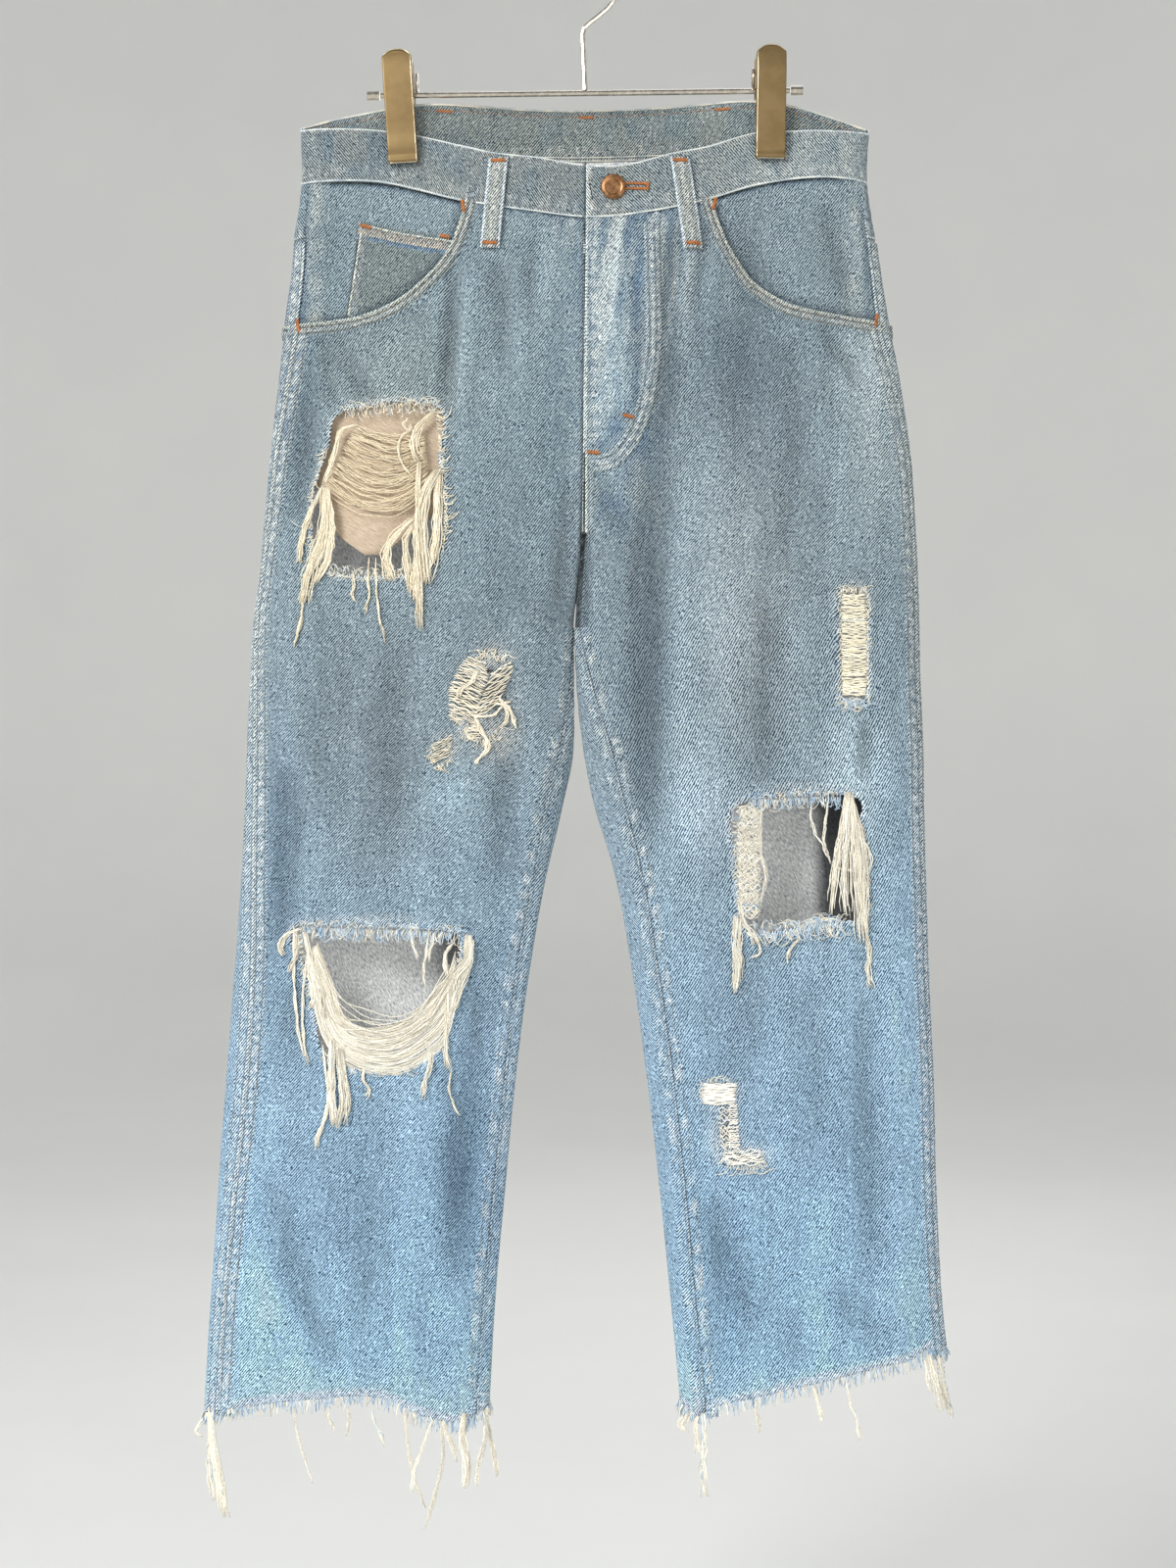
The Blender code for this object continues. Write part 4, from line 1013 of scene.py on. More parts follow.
def panel_colours(leg, x, drop, phi, edges, back):
    """Colour, with painted fold shade, and extra height of each point of a panel."""
    colour = wash_and_shade_at(x, drop)
    height = np.zeros(x.shape)
    streak = drift(x / 2.2, drop / 26.0, 41)
    blotch = drift(x / 17.0 + 5, drop / 24.0, 42)
    # Painted fold shade: darker in the troughs of the folds and paler on their ridges
    painted_fold_shade = np.clip(relief(leg, phi, drop), -4.0, 2.5) * (0.45 if back else 1.0)
    worn = drift(x / 8.0, drop / 110.0, 47)
    mottle = drift(x / 5.5, drop / 7.0, 48)
    tone = 1.0 + 0.05 * streak + 0.06 * blotch + 0.085 * painted_fold_shade + 0.07 * worn + 0.05 * mottle
    colour = colour * tone[..., None]
    for n, (edge, strength) in enumerate(edges):
        lifted, pale = seam_dressing(edge, drop, n * 3.0 + (7.0 if back else 0.0))
        height += strength * lifted
        colour = toward(colour, WORN_WHITE, strength * np.maximum(pale, 0.0) * 0.25)
        colour = toward(colour, DEEP_BLUE, strength * bell(edge, 0.0, 16.0) * np.clip(0.3 + mottle, 0.0, 1.0)
            * 0.4)
    tip = hem_at(leg, share_of(phi)) - drop
    colour = toward(colour, "#cfe0ee", fall(0.0, 9.0, tip) * (0.45 + 0.3 * streak))
    return colour, height


# Worn spots of the fronts: x and drop of the middle, half sizes and strength. Pale fuzz where the warp has
# worn through, then near-black spots of painted shadow in small holes and under loose weft
HALOS = (
    (-70, 430, 22, 36, 0.15), (-66, 390, 9, 7, 0.6), (-63, 450, 12, 13, 0.35), (-101, 457, 8, 8, 0.45),
    (194, 345, 10, 7, 0.5), (97, 707, 12, 8, 0.7), (101, 738, 10, 16, 0.5), (116, 752, 15, 6, 0.7),
    (-140, 205, 30, 6, 0.12), (160, 488, 28, 6, 0.2), (-150, 582, 44, 6, 0.15),
)
HOLE_SHADOWS = (
    (-84, 420, 12, 20, 0.55), (-66, 416, 10, 12, 0.5), (-70.5, 400.5, 4.4, 2.6, 1.0),
    (-77, 431, 6.0, 1.9, 1.0),
    (-82.5, 437.5, 3.0, 2.2, 0.95), (-104, 459, 7, 8, 0.3), (103, 731, 6.5, 17, 0.6), (110, 755, 12, 5, 0.4),
)


def front_panel(name, leg, mouth, rips):
    """A front: the cloth's outer face between its seams, cut along the pocket mouth and the open rips."""
    rows, columns = 328, 84  # cells of about 2.7 mm, as fine as the triangle limit allows
    phi, drop, length, width = panel_grid(leg, False, rows, columns)
    x = x_of(leg, phi, drop)
    quads = grid_quads(rows, columns)
    gone = np.zeros(x.size, bool)
    mouth_away, mouth_near = from_outline(x.ravel(), drop.ravel(), mouth)
    lines = [(mouth_away, mouth_near)] + [from_outline(x.ravel(), drop.ravel(), line) for line in rips]
    flat_x, flat_drop = x.ravel().copy(), drop.ravel().copy()
    for away, near in lines:
        inside = away < -0.9
        cut = inside[quads].any(axis=1)
        gone |= inside
        rim = np.zeros(x.size, bool)
        rim[quads[cut]] = True
        rim &= ~inside
        flat_x[rim] = near[rim, 0]
        flat_drop[rim] = near[rim, 1]
    quads = quads[~gone[quads].any(axis=1)]
    moved = (flat_x != x.ravel()).reshape(x.shape)
    x, drop = flat_x.reshape(x.shape), flat_drop.reshape(x.shape)
    phi = np.where(moved, angle_of(leg, x, drop), phi)
    below = rise(CROTCH - 10.0, CROTCH + 40.0, drop)
    edges = [(width - length, 0.35 * rise(120.0, 170.0, drop)), (length, 0.4 * below)]
    colour, height = panel_colours(leg, x, drop, phi, edges, False)
    # Pocket mouth: painted shade beside its hem
    band = mouth_away.reshape(x.shape)
    ripple = dapple(x / 3.2, drop / 3.2, 44)
    colour = toward(colour, SHADE, 0.4 * bell(band, 10.5, 2.5))
    # Rips: the edge curls up a little and frays pale
    for away, _ in lines[1:]:
        from_rip = away.reshape(x.shape)
        height += 1.3 * bell(from_rip, 0.0, 4.0)
        colour = toward(colour, "#d9e1e4", bell(from_rip, 0.0, 1.7 + 1.2 * ripple) * (0.1 + 0.45 * ripple))
    # Pale worn fuzz, then the painted shadow in the holes
    for spots, tint, steep, amount in ((HALOS, "#dcdcd4", 1, 0.4 + 0.75 * ripple),
            (HOLE_SHADOWS, "#14191e", 2, 1.0)):
        for cx, cd, rx, rd, strength in spots:
            if cx * side_of(leg) > 0.0:
                away = (((x - cx) / rx) ** 2 + ((drop - cd) / rd) ** 2) ** steep
                colour = toward(colour, tint, np.exp(-away) * strength * amount)
    # Waist: puckers under the waistband seam, fanning out from the belt loop and the button, with painted
    # shade just under the seam between them
    under = drop - read(FRONT_BAND, "seam", x)
    tuck = bell(under, 0.0, 16.0) * (0.5 + 0.5 * np.sin(TURN * (x + 5.0 * drift(x / 20.0, under * 0.0, 45))
        / 13.0))
    height += 0.6 * tuck * rise(0.0, 3.0, under)
    colour = toward(colour, SHADE, 0.3 * (1.0 - tuck) * bell(under, 0.0, 5.0))
    # Fly and crotch: blue and pale patches where the layers rubbed
    by_fly = bell(x, 20.0, 30.0) * fall(255.0, 330.0, drop)
    rubbed = drift(x / 6.0, drop / 10.0, 49)
    colour = toward(colour, DEEP_BLUE, by_fly * np.clip(rubbed, 0.0, 1.0) * 0.7)
    colour = toward(colour, WORN_WHITE, by_fly * np.clip(-rubbed, 0.0, 1.0) * 0.12)
    fan = drift((x + 0.12 * (drop - 70.0)) / 3.4, drop / 60.0, 50) * bell(drop, 90.0, 70.0)
    fan = fan * bell(x, 30.0, 42.0)
    colour = toward(colour, DEEP_BLUE, np.clip(fan, 0.0, 1.0) * 0.8)
    colour = toward(colour, WORN_WHITE, np.clip(-fan, 0.0, 1.0) * 0.45)
    foot = bell(x, 35.0, 14.0) * bell(drop, 234.0, 14.0)
    colour = toward(colour, DEEP_BLUE, foot * 0.6)
    # Fly: the left front laps over in a raised band up to the curved stitching
    if leg is LEFT_LEG:
        bend = (np.clip(drop, FLY_BEND, FLY_END) - FLY_BEND) / (FLY_END - FLY_BEND)
        fly = FLY_WIDTH - 40.0 * bend**1.6
        on_fly = fall(fly - 1.0, fly + 1.5, x) * fall(241.0, 244.0, drop)
        height += 0.8 * on_fly
        edge_line = fall(0.6, 2.2, x - read(leg, "inner", drop)) * fall(355.0, 372.0, drop)
        colour = toward(colour, "#e4dfd0", edge_line * (0.55 + 0.45 * ripple))
        puckers = 0.5 + 0.5 * np.sin(TURN * (drop + 3.0 * drift(drop / 12.0, x * 0.0, 46)) / 10.5)
        colour = toward(colour, WORN_WHITE, bell(x, 6.5, 3.0) * puckers * 0.3 * fall(240, 250, drop))
        for row in (fly - 6.0, fly):
            on_row = bell(x, row, 1.5) * fall(238, 247, drop)
            colour = toward(colour, DEEP_BLUE, on_row * (0.65 - 0.4 * puckers))
        colour = toward(colour, WORN_WHITE, bell(x - fly, 4.0, 2.2) * puckers * 0.22 * fall(225, 240, drop))
        # Painted shadow down the crotch, where the legs part
        painted_fold_shade = bell(x, 0.0, 3.4) * rise(285, 312, drop) * fall(365, 395, drop)
        colour = toward(colour, "#2c3842", painted_fold_shade * 0.55)
    else:
        # Painted shadow along the centre line, under the left front's edge
        colour = toward(colour, "#3d4850", bell(x, 0.0, 2.6) * fall(380.0, 420.0, drop) * 0.8)
    return cut_cloth(name, cloth(leg, phi, drop, height), quads, True, colour, side_of(leg) * length, drop)


def back_panel(name, leg):
    """A back: from the yoke to the hem, between the side seam and the inseam."""
    rows, columns = 200, 56  # cells of about 4.5 mm
    phi, drop, length, width = panel_grid(leg, True, rows, columns)
    x = x_of(leg, phi, drop)
    below = rise(CROTCH - 10.0, CROTCH + 40.0, drop)
    edges = [(length, 0.35 * rise(80.0, 90.0, drop)), (width - length, 0.4 * below)]
    colour, height = panel_colours(leg, x, drop, phi, edges, True)
    colour = toward(colour, "#c3d2da", 0.35 * bell(np.abs(x), 120.0, 55.0) * bell(drop, 250.0, 90.0))
    colour = toward(colour, "#b9ccd8", 0.3 * bell(np.abs(x), 150.0, 60.0) * bell(drop, 600.0, 60.0))
    # Inside, painted shade: the hollows behind the open knees darkened at their top and beside the fold of
    # the leg, and the inside of the seat darkened a little above the crotch
    if leg is LEFT_LEG:
        painted_shade = 0.92 * rise(167.0, 179.0, x) + 0.4 * fall(494.0, 506.0, drop)
    else:
        painted_shade = 0.75 * rise(-122.0, -98.0, x) * fall(615.0, 660.0, drop) + 0.3 * fall(588.0, 600.0, drop)
    painted_shade = np.clip(painted_shade, 0.0, 0.93) * rise(440.0, 460.0, drop) * fall(690.0, 710.0, drop)
    painted_shade = painted_shade + 0.2 * fall(340.0, 360.0, drop)
    points, quads = cloth(leg, phi, drop, height), grid_quads(rows, columns)
    return cut_cloth(name, points, quads, False, colour, -side_of(leg) * length, drop, painted_shade=painted_shade)


def yoke(name, leg):
    """The shaped piece between the back of the waistband and the back panel."""
    rows, columns = 20, 60
    levels, angles, lengths = columns_between(leg, True, columns)
    x = x_of(leg, angles[15], 60.0)
    front = np.mod(angles[15], TURN) < np.pi
    top = np.where(front, read(FRONT_BAND, "seam", x), read(BACK_BAND, "seam", x)) + 0.3
    bottom = read(BACK_BAND, "yoke", x) - 0.3
    r = np.linspace(0.0, 1.0, rows)[:, None]
    drop = top + r * (bottom - top)
    phi = at_level(levels, angles, drop)
    length = at_level(levels, lengths, drop)
    x = x_of(leg, phi, drop)
    lifted, pale = seam_dressing(bottom - drop, x, 3.0)
    side, _ = seam_dressing(length, drop, 4.0)
    colour = toward(wash_and_shade_at(x, drop), WORN_WHITE, np.maximum(pale, 0.0) * 0.6)
    points, quads = cloth(leg, phi, drop, 0.8 * lifted + 0.5 * side), grid_quads(rows, columns)
    return cut_cloth(name, points, quads, False, colour, -side_of(leg) * length, drop)


# Pieces that follow the cloth: x of their two edges at each drop
PATCH_ROWS = {
    "pocket_facing_right": table("drop low high", (34, -204, -90), (58, -207, -90), (80, -208.5, -86),
        (105, -210, -90), (130, -211, -108), (150, -211, -132), (165, -212, -165)),
    "pocket_facing_left": table("drop low high", (34, 95, 203), (56, 95, 206), (80, 89, 209),
        (105, 93, 211.5), (130, 112, 213), (150, 136, 214.5), (163, 168, 216)),
    "coin_pocket": table("drop low high", (72, -163.5, -157), (85, -165, -97), (105, -168, -100),
        (125, -171, -110), (145, -174, -128)),
    "pocket_bag_right": table("drop low high", (68, -192, -86), (150, -200, -88), (250, -200, -98),
        (290, -192, -112), (305, -176, -132), (316, -160, -150)),
    "pocket_bag_left": table("drop low high", (66, 90, 192), (150, 90, 202), (250, 100, 204),
        (290, 114, 196), (305, 134, 180), (316, 152, 164)),
    "fly_facing": table("drop low high", (73, 2, 42), (190, 1, 42), (218, 0.6, 36), (234, 0.2, 24),
        (243, 0, 14)),
    "zip": table("drop low high", (78, -7, 21), (236, -9, 19)),
    "fly_shield": table("drop low high", (75, -14, 45), (236, -16, 40)),
    "belt_loop_front_right": table("drop low high", (27, -69.5, -55.5), (94, -76, -62)),
    "belt_loop_front_left": table("drop low high", (26.5, 61.5, 75.5), (94, 71.5, 85.5)),
    "belt_loop_back_right": table("drop low high", (-15, -109, -95), (53, -109, -95)),
    "belt_loop_back_centre": table("drop low high", (-15.5, -6, 8), (52.5, -6, 8)),
    "belt_loop_back_left": table("drop low high", (-18, 98, 112), (50, 98, 112)),
    "back_pocket_right": table("drop low high", (112, -192, -54), (200, -186, -60), (236, -184, -62),
        (266, -130, -116)),
    "back_pocket_left": table("drop low high", (112, 54, 192), (200, 60, 186), (236, 62, 184),
        (266, 116, 130)),
    "thigh_threads": table("drop low high", (214, -172, -112), (234, -181, -111), (250, -188, -110),
        (262, -192, -110)),
}


def strip(name, node, distance, thickness=CLOTH, finishes=CLOTH_FINISHES, front=True, cell=2.6, colour=None,
        dress=None):
    """A piece between the two edges of its PATCH_ROWS, on the cloth moved out by distance. dress(u, v, x,
    drop, width, shade) gives its extra height and its colour, u and v in mm from its left edge and its top.
    """
    key, low, high = (PATCH_ROWS[node][column] for column in ("drop", "low", "high"))
    tall = key[-1] - key[0]
    wide = float(np.max(high - low))
    m = max(6, int(tall / cell))
    n = max(6, int(wide / cell))
    drop = np.linspace(key[0], key[-1], m + 1)[:, None] + np.zeros((1, n + 1))
    t = np.linspace(0.0, 1.0, n + 1)[None, :]
    left = np.interp(drop[:, :1], key, low)
    right = np.interp(drop[:, :1], key, high)
    x = left + t * (right - left)
    height = np.full(x.shape, float(distance))
    # Painted fold shade, as on the panels
    painted_fold_shade = np.clip(fold_relief(x, drop, 1 if front else -1), -4.0, 2.5)
    shade = wash_and_shade_at(x, drop) if colour is None else np.broadcast_to(linear(colour), (*x.shape, 3))
    shade = shade * (1.0 + 0.06 * painted_fold_shade)[..., None]
    if dress is not None:
        extra, shade = dress(x - left, drop - key[0], x, drop, right - left, shade)
        height = height + extra
    points, quads = skin(x, drop, height, front), grid_quads(m + 1, n + 1)
    return cut_cloth(name, points, quads, front, shade, x, drop, finishes, thickness)


def hemmed(u, v, x, drop, width, shade):
    """A dress for a sewn-down piece: its turned edges stand up 9 mm wide, pale on the fold, with painted
    shade along the stitches.
    """
    hem, pale = 9.0, 0.7
    away = np.minimum.reduce(np.broadcast_arrays(u, width - u, v, v.max() - v))
    ripple = dapple(x / 3.5, drop / 3.5, 61)
    height = 0.7 * fall(hem - 1.5, hem + 0.5, away) * (0.6 + 0.5 * ripple)
    shade = toward(shade, "#c9cbc2", fall(hem - 2.0, hem, away) * pale * (0.2 + 0.5 * ripple))
    shade = toward(shade, WORN_WHITE, fall(0.4, 1.8, away) * pale * (0.4 + 0.8 * ripple))
    return height, toward(shade, SHADE, bell(away, hem, 1.2) * 0.6)


def looped(u, v, x, drop, width, shade):
    """A belt loop: raised in its middle, tucked down at both ends, greyed, its folded edges and its middle
    pale, with painted shade along its stitch rows.
    """
    tall = float(v.max())
    ends = np.minimum(v, tall - v)
    across = np.abs(u / width - 0.5) * 2.0
    ripple = dapple(x / 2.0, drop / 2.6, 62)
    height = 0.55 * rise(2.0, 12.0, ends) + 0.35 * np.cos(across * 2.4) - 0.5 * fall(0.0, 3.0, ends)
    shade = toward(shade, "#8d9490", 0.65)
    shade = toward(shade, WORN_WHITE, fall(0.5, 2.2, width / 2 - across * width / 2) * (0.5 + 0.5 * ripple))
    shade = toward(shade, WORN_WHITE, 0.35 * ripple * bell(across, 0.0, 0.3))
    shade = toward(shade, SHADE, bell(across, 0.52, 0.16) * 0.28 * (1 - ripple))
    return height, shade


def band_line(x, front, column):
    return read(FRONT_BAND, column, x) if front else read(BACK_BAND, column, x)


def band_path():
    """Leg, angle and inset of each column of the waistband, from its buttonhole end round to its button end,
    which carries on beneath the buttonhole end.
    """
    turn = 2.0 * np.pi - 0.002
    left = [(LEFT_LEG, phi, 0.0) for phi in 0.02 + (turn - 0.02) * np.linspace(0.0, 1.0, 150)]
    right = [(RIGHT_LEG, phi, 0.0) for phi in turn - (turn - 0.17) * np.linspace(0.0, 1.0, 150)[1:]]
    tucked = [(RIGHT_LEG, 0.06, 2.7)] + [(LEFT_LEG, phi, 2.7) for phi in np.linspace(0.3, 0.86, 9)]
    return left + right + tucked


def band_points(steps, lift, columns):
    """Points of the waistband: steps give the share of its height and lift the distance out, for each profile
    point.
    """
    rows = []
    for leg, phi, inset in columns:
        x = x_of(leg, phi, 20.0)
        front = phi <= np.pi
        top, seam = band_line(x, front, "top"), band_line(x, front, "seam")
        drop = top + steps * (seam - top)
        bend = 0.5 * drift(drop / 14.0, x / 22.0 + 2.0, 71) + 0.25 * drift(drop / 6.0, x / 7.0, 72)
        rows.append(plain_cloth(leg, phi, drop) + outward(leg, np.full(drop.shape, phi), drop)
                    * (BAND_PROUD - inset + lift + bend * np.sin(np.pi * np.clip(steps, 0, 1)))[:, None])
    return np.array(rows)


def waistband():
    """A closed strip two layers thick: along its path, a profile down its outer face and up its inner face
    with round edges, dished along both stitch rows.
    """
    s = np.linspace(0.0, 1.0, 15)
    face = np.concatenate([[0.004, 0.02, 0.045], s[1:-1] * 0.9 + 0.05, [0.955, 0.98, 0.996]])
    dish = 0.35 * bell(face, 0.075, 0.03) + 0.35 * bell(face, 0.93, 0.03)
    edge = np.clip(np.minimum(face, 1 - face) / 0.045, 0.0, 1.0)
    outer = -1.1 * (1.0 - np.sqrt(1.0 - (1.0 - edge) ** 2)) - dish + 0.25 * np.sin(np.pi * face)
    inner = -BAND_WALL + 1.1 * (1.0 - np.sqrt(1.0 - (1.0 - edge) ** 2))
    steps = np.concatenate([face, face[::-1]])
    lift = np.concatenate([outer, inner[::-1]])
    columns = band_path()
    points = band_points(steps, lift, columns)
    count, around = points.shape[:2]
    quads = grid_quads(count, around, closed=True)
    half = around // 2
    k = np.arange(half - 1)
    cap = np.stack([k, k + 1, around - 2 - k, around - 1 - k], axis=-1)
    quads = np.concatenate([quads, cap[:, ::-1], cap + (count - 1) * around])
    run = length_along(points[:, 5])
    x = points[..., 0]
    ripple = dapple(run[:, None] / 2.6, steps[None] * 16.0, 73)
    inside = np.broadcast_to(lift < -1.3, x.shape) * 1.0
    clouds = 0.5 + 0.9 * drift(run[:, None] / 11.0, steps[None] * 2.4, 74) * (1.0 + 0.6 * inside)
    colour = np.broadcast_to(linear("#727d80"), (count, around, 3)).copy()
    colour = toward(colour, "#8c989a", np.clip(x / 160.0, 0.0, 0.9) * (1.0 - inside))
    colour = toward(colour, "#4f6b7d", (0.35 + 0.2 * inside) * clouds)
    colour = toward(colour, "#75807f", inside * 0.6)
    fold = np.minimum(steps, 1.0 - steps)[None]
    low = bell(steps, 0.82, 0.1) * (0.5 + 0.5
        * np.sin(TURN * (run[:, None] / 11.0 + 2 * drift(run[:, None] / 25.0, 0.0 * steps, 75))))
    colour = toward(colour, WORN_WHITE, low * 0.3 * ripple + bell(fold, 0.0, 0.03) * (0.2 + 0.4 * ripple))
    colour = toward(colour, DEEP_BLUE, bell(fold, 0.085, 0.02) * 0.5 * (1.0 - ripple))
    end = np.minimum(run, run[count - 10] * 0.0 + run)[:, None]
    colour = toward(colour, "#dcdcd2", bell(end, 0.0, 3.0) * (1.0 - inside) * (0.5 + 0.5 * ripple))
    grain = np.stack([np.broadcast_to(run[:, None], x.shape), np.broadcast_to(-40.0 * steps, x.shape)],
        axis=-1)
    return build("band", points, quads, (BAND_DENIM,), colour=colour.reshape(-1, 3), grain=grain)


def coin_dress(u, v, x, drop, width, shade):
    """A dress for the small pocket on the right hip: greyer than the cloth beside it, with a painted shadow
    under the mouth's edge.
    """
    away, _ = from_outline(x.ravel(), drop.ravel(), RIGHT_MOUTH_LINE)
    shade = toward(shade, "#5a625b", 0.5)
    return np.zeros(x.shape), toward(shade, "#3d4a53", 0.8 * bell(away.reshape(x.shape), 0.0, 5.0))


cloths = {
    "front_panel_right": front_panel("front_right", RIGHT_LEG, RIGHT_MOUTH_LINE, RIGHT_RIPS),
    "front_panel_left": front_panel("front_left", LEFT_LEG, LEFT_MOUTH_LINE, LEFT_RIPS),
    "back_panel_right": back_panel("back_right", RIGHT_LEG),
    "back_panel_left": back_panel("back_left", LEFT_LEG),
    "yoke_right": yoke("back_yoke_right", RIGHT_LEG),
    "yoke_left": yoke("back_yoke_left", LEFT_LEG),
    "waistband": waistband(),
}


def facing_dress(depth, mouth):
    """A dress for the hip under a pocket mouth: it comes up to the side seam, is worn along it and has
    painted shade along it, and a painted shadow under the mouth's edge.
    """

    def dress(u, v, x, drop, width, shade):
        away = SIDE_SEAM_X - np.abs(x)
        inside, _ = from_outline(x.ravel(), drop.ravel(), mouth)
        shade = toward(shade, "#36434d", 0.75 * bell(inside.reshape(x.shape), 0.0, 4.5))
        ripple = dapple(x / 7.0, drop / 13.0, 63)
        shade = toward(shade, "#c5cac2", bell(away, 7.0, 6.0) * ripple * 0.3)
        shade = toward(shade, "#4f6170", bell(away + 2.0, 0.0, 3.0) * 0.8 * (1.0 - 0.5 * ripple))
        return (-0.4 - depth) * fall(0.0, 22.0, away), shade

    return dress


for side, depth, mouth in (("right", -3.1, RIGHT_MOUTH_LINE), ("left", -1.9, LEFT_MOUTH_LINE)):
    cloths[f"pocket_facing_{side}"] = strip(f"facing_{side}", f"pocket_facing_{side}", depth,
        dress=facing_dress(depth, mouth))
    cloths[f"pocket_bag_{side}"] = strip(f"bag_{side}", f"pocket_bag_{side}", depth - 1.8, 1.0, (POCKETING,),
        cell=4.0)
    cloths[f"back_pocket_{side}"] = strip(f"rear_pocket_{side}", f"back_pocket_{side}", 2.5, front=False,
        cell=3.6, dress=hemmed)
cloths["coin_pocket"] = strip("ticket_pocket", "coin_pocket", -1.6, cell=2.0, dress=coin_dress)
cloths["fly_facing"] = strip("fly_lining", "fly_facing", -1.7)
cloths["fly_shield"] = strip("fly_guard", "fly_shield", -5.3)
cloths["zip"] = strip("zip_tape", "zip", -3.3, 1.6, (COTTON,), colour="#8a7d68")
LOOPS = ("front_right", "front_left", "back_right", "back_centre", "back_left")
for place in LOOPS:
    node = f"belt_loop_{place}"
    cloths[node] = strip(f"loop_{place}", node, 3.2, 1.8, front=place.startswith("front"), cell=1.0,
        dress=looped)
for node, item in cloths.items():
    set_in(item, (node,))


# Loose threads. Each row is a bundle: a curve through four places, how many threads, and how far they spread.
BUNDLE = "x1 d1 x2 d2 x3 d3 x4 d4 count spread"
CREAM, IVORY, GREY_BLUE, INDIGO = (linear(c) for c in ("#fffbee", "#efe6d0", "#cfdde6", "#7fa1bf"))


def thread_points(x, drop, lift):
    """Places on the front for threads, which may hang below the hem and beyond the folded edges."""
    points = skin(x, np.minimum(drop, FOLLOW_END), lift)
    points[..., 0] = x
    points[..., 2] = WAIST_Z - drop
    return points


def yarn_colours(rng, number, per_thread, blue=0.0):
    """A colour for each thread from cream to ivory, each darkened at random by up to a third as painted shade
    for the strands that lie deeper, some of them blue, repeated for its points.
    """
    mix = rng.uniform(0.0, 1.0, (number, 1)) ** 1.5
    colour = (CREAM + (IVORY - CREAM) * mix) * rng.uniform(0.66, 1.0, (number, 1))
    tinted = rng.uniform(0.0, 1.0, number) < blue
    colour[tinted] = GREY_BLUE + (INDIGO - GREY_BLUE) * rng.uniform(0.0, 1.0, (tinted.sum(), 1)) ** 1.3
    return np.repeat(colour, per_thread, axis=0)


def as_threads(rng, x, drop, lift, radius=0.42, blue=0.0):
    """Tubes through arrays of places of shape (threads, steps), with a colour for each."""
    points, quads = tubes(thread_points(x, drop, lift), radius * rng.uniform(0.75, 1.2, len(x)))
    return points, quads, yarn_colours(rng, len(x), 4 * x.shape[1], blue)


def bundles(rows, seed, lift=1.2, steps=12, radius=0.45, blue=0.01, more=2.2):
    """Threads that hang together: each keeps its own place in the bundle, wanders a little and ends at its
    own length.
    """
    rng = np.random.default_rng(seed)
    parts = []
    for row in zip(*rows.values()):
        places = np.array(row[:8]).reshape(4, 2)
        count, spread = int(np.ceil(more * row[8])), row[9]
        curve = curve_through(places)
        longest = curve["run"][-1]
        end = longest * (1.0 - 0.3 * rng.uniform(0.0, 1.0, (count, 1)) ** 2)
        at = end * np.linspace(0.0, 1.0, steps)
        share = at / longest
        x, drop = read(curve, "x", at), read(curve, "drop", at)
        place = rng.normal(0.0, 0.42, (count, 1)) * spread * (0.75 + 0.6 * share)
        for size, reach in ((1.0, (10.0, 22.0)), (0.4, (4.0, 8.0))):
            wave = rng.uniform(*reach, (count, 1))
            bend = rng.uniform(0.2, 1.0, (count, 1)) * size
            place = place + bend * np.sin(TURN * (at / wave + rng.uniform(0, 1, (count, 1)))) * rise(0.0,
                0.3, share)
        drop = drop + 0.5 * np.sin(at / 3.0 + rng.uniform(0, 6, (count, 1)))
        level = lift + rng.uniform(0.0, 0.5, (count, 1)) * spread + 0.5 * np.sin(at / 7.0
            + rng.uniform(0, 6, (count, 1)))
        parts.append(as_threads(rng, x + place, drop, np.maximum(level, 0.5), radius, blue))
    return joined(parts)


def between(upper, lower, count, seed, steps=22, lift=0.6, sag=0.0, swing=1.0, blue=0.04, radius=0.42):
    """Threads across a rip, from one curve to another: each mixes the two curves at its own share and sags.
    """
    rng = np.random.default_rng(seed)
    t = np.linspace(0.0, 1.0, steps)
    share = np.sort(rng.uniform(0.0, 1.0, (count, 1)), axis=0) * 0.6 + np.linspace(0.0, 0.4, count)[:, None]
    curves = []
    for line in (upper, lower):
        curve = curve_through(line)
        curves.append([read(curve, column, t * curve["run"][-1]) for column in ("x", "drop")])
    (ux, ud), (lx, ld) = curves
    x = ux + share * (lx - ux)
    drop = ud + share * (ld - ud) + sag * rng.uniform(0.5, 1.5, (count, 1)) * 4 * t * (1 - t)
    for wave, size in ((3.0, 0.8), (8.0, 0.35)):
        phase = rng.uniform(0, 1, (count, 1))
        drop = drop + swing * size * rng.uniform(0.3, 1.2, (count, 1)) * np.sin(TURN * (t * wave / 2 + phase))
    level = lift + rng.uniform(0.0, 1.6, (count, 1)) + 0.6 * np.sin(TURN
        * (t * 1.5 + rng.uniform(0, 1, (count, 1))))
    return as_threads(rng, x, drop, level, radius, blue)


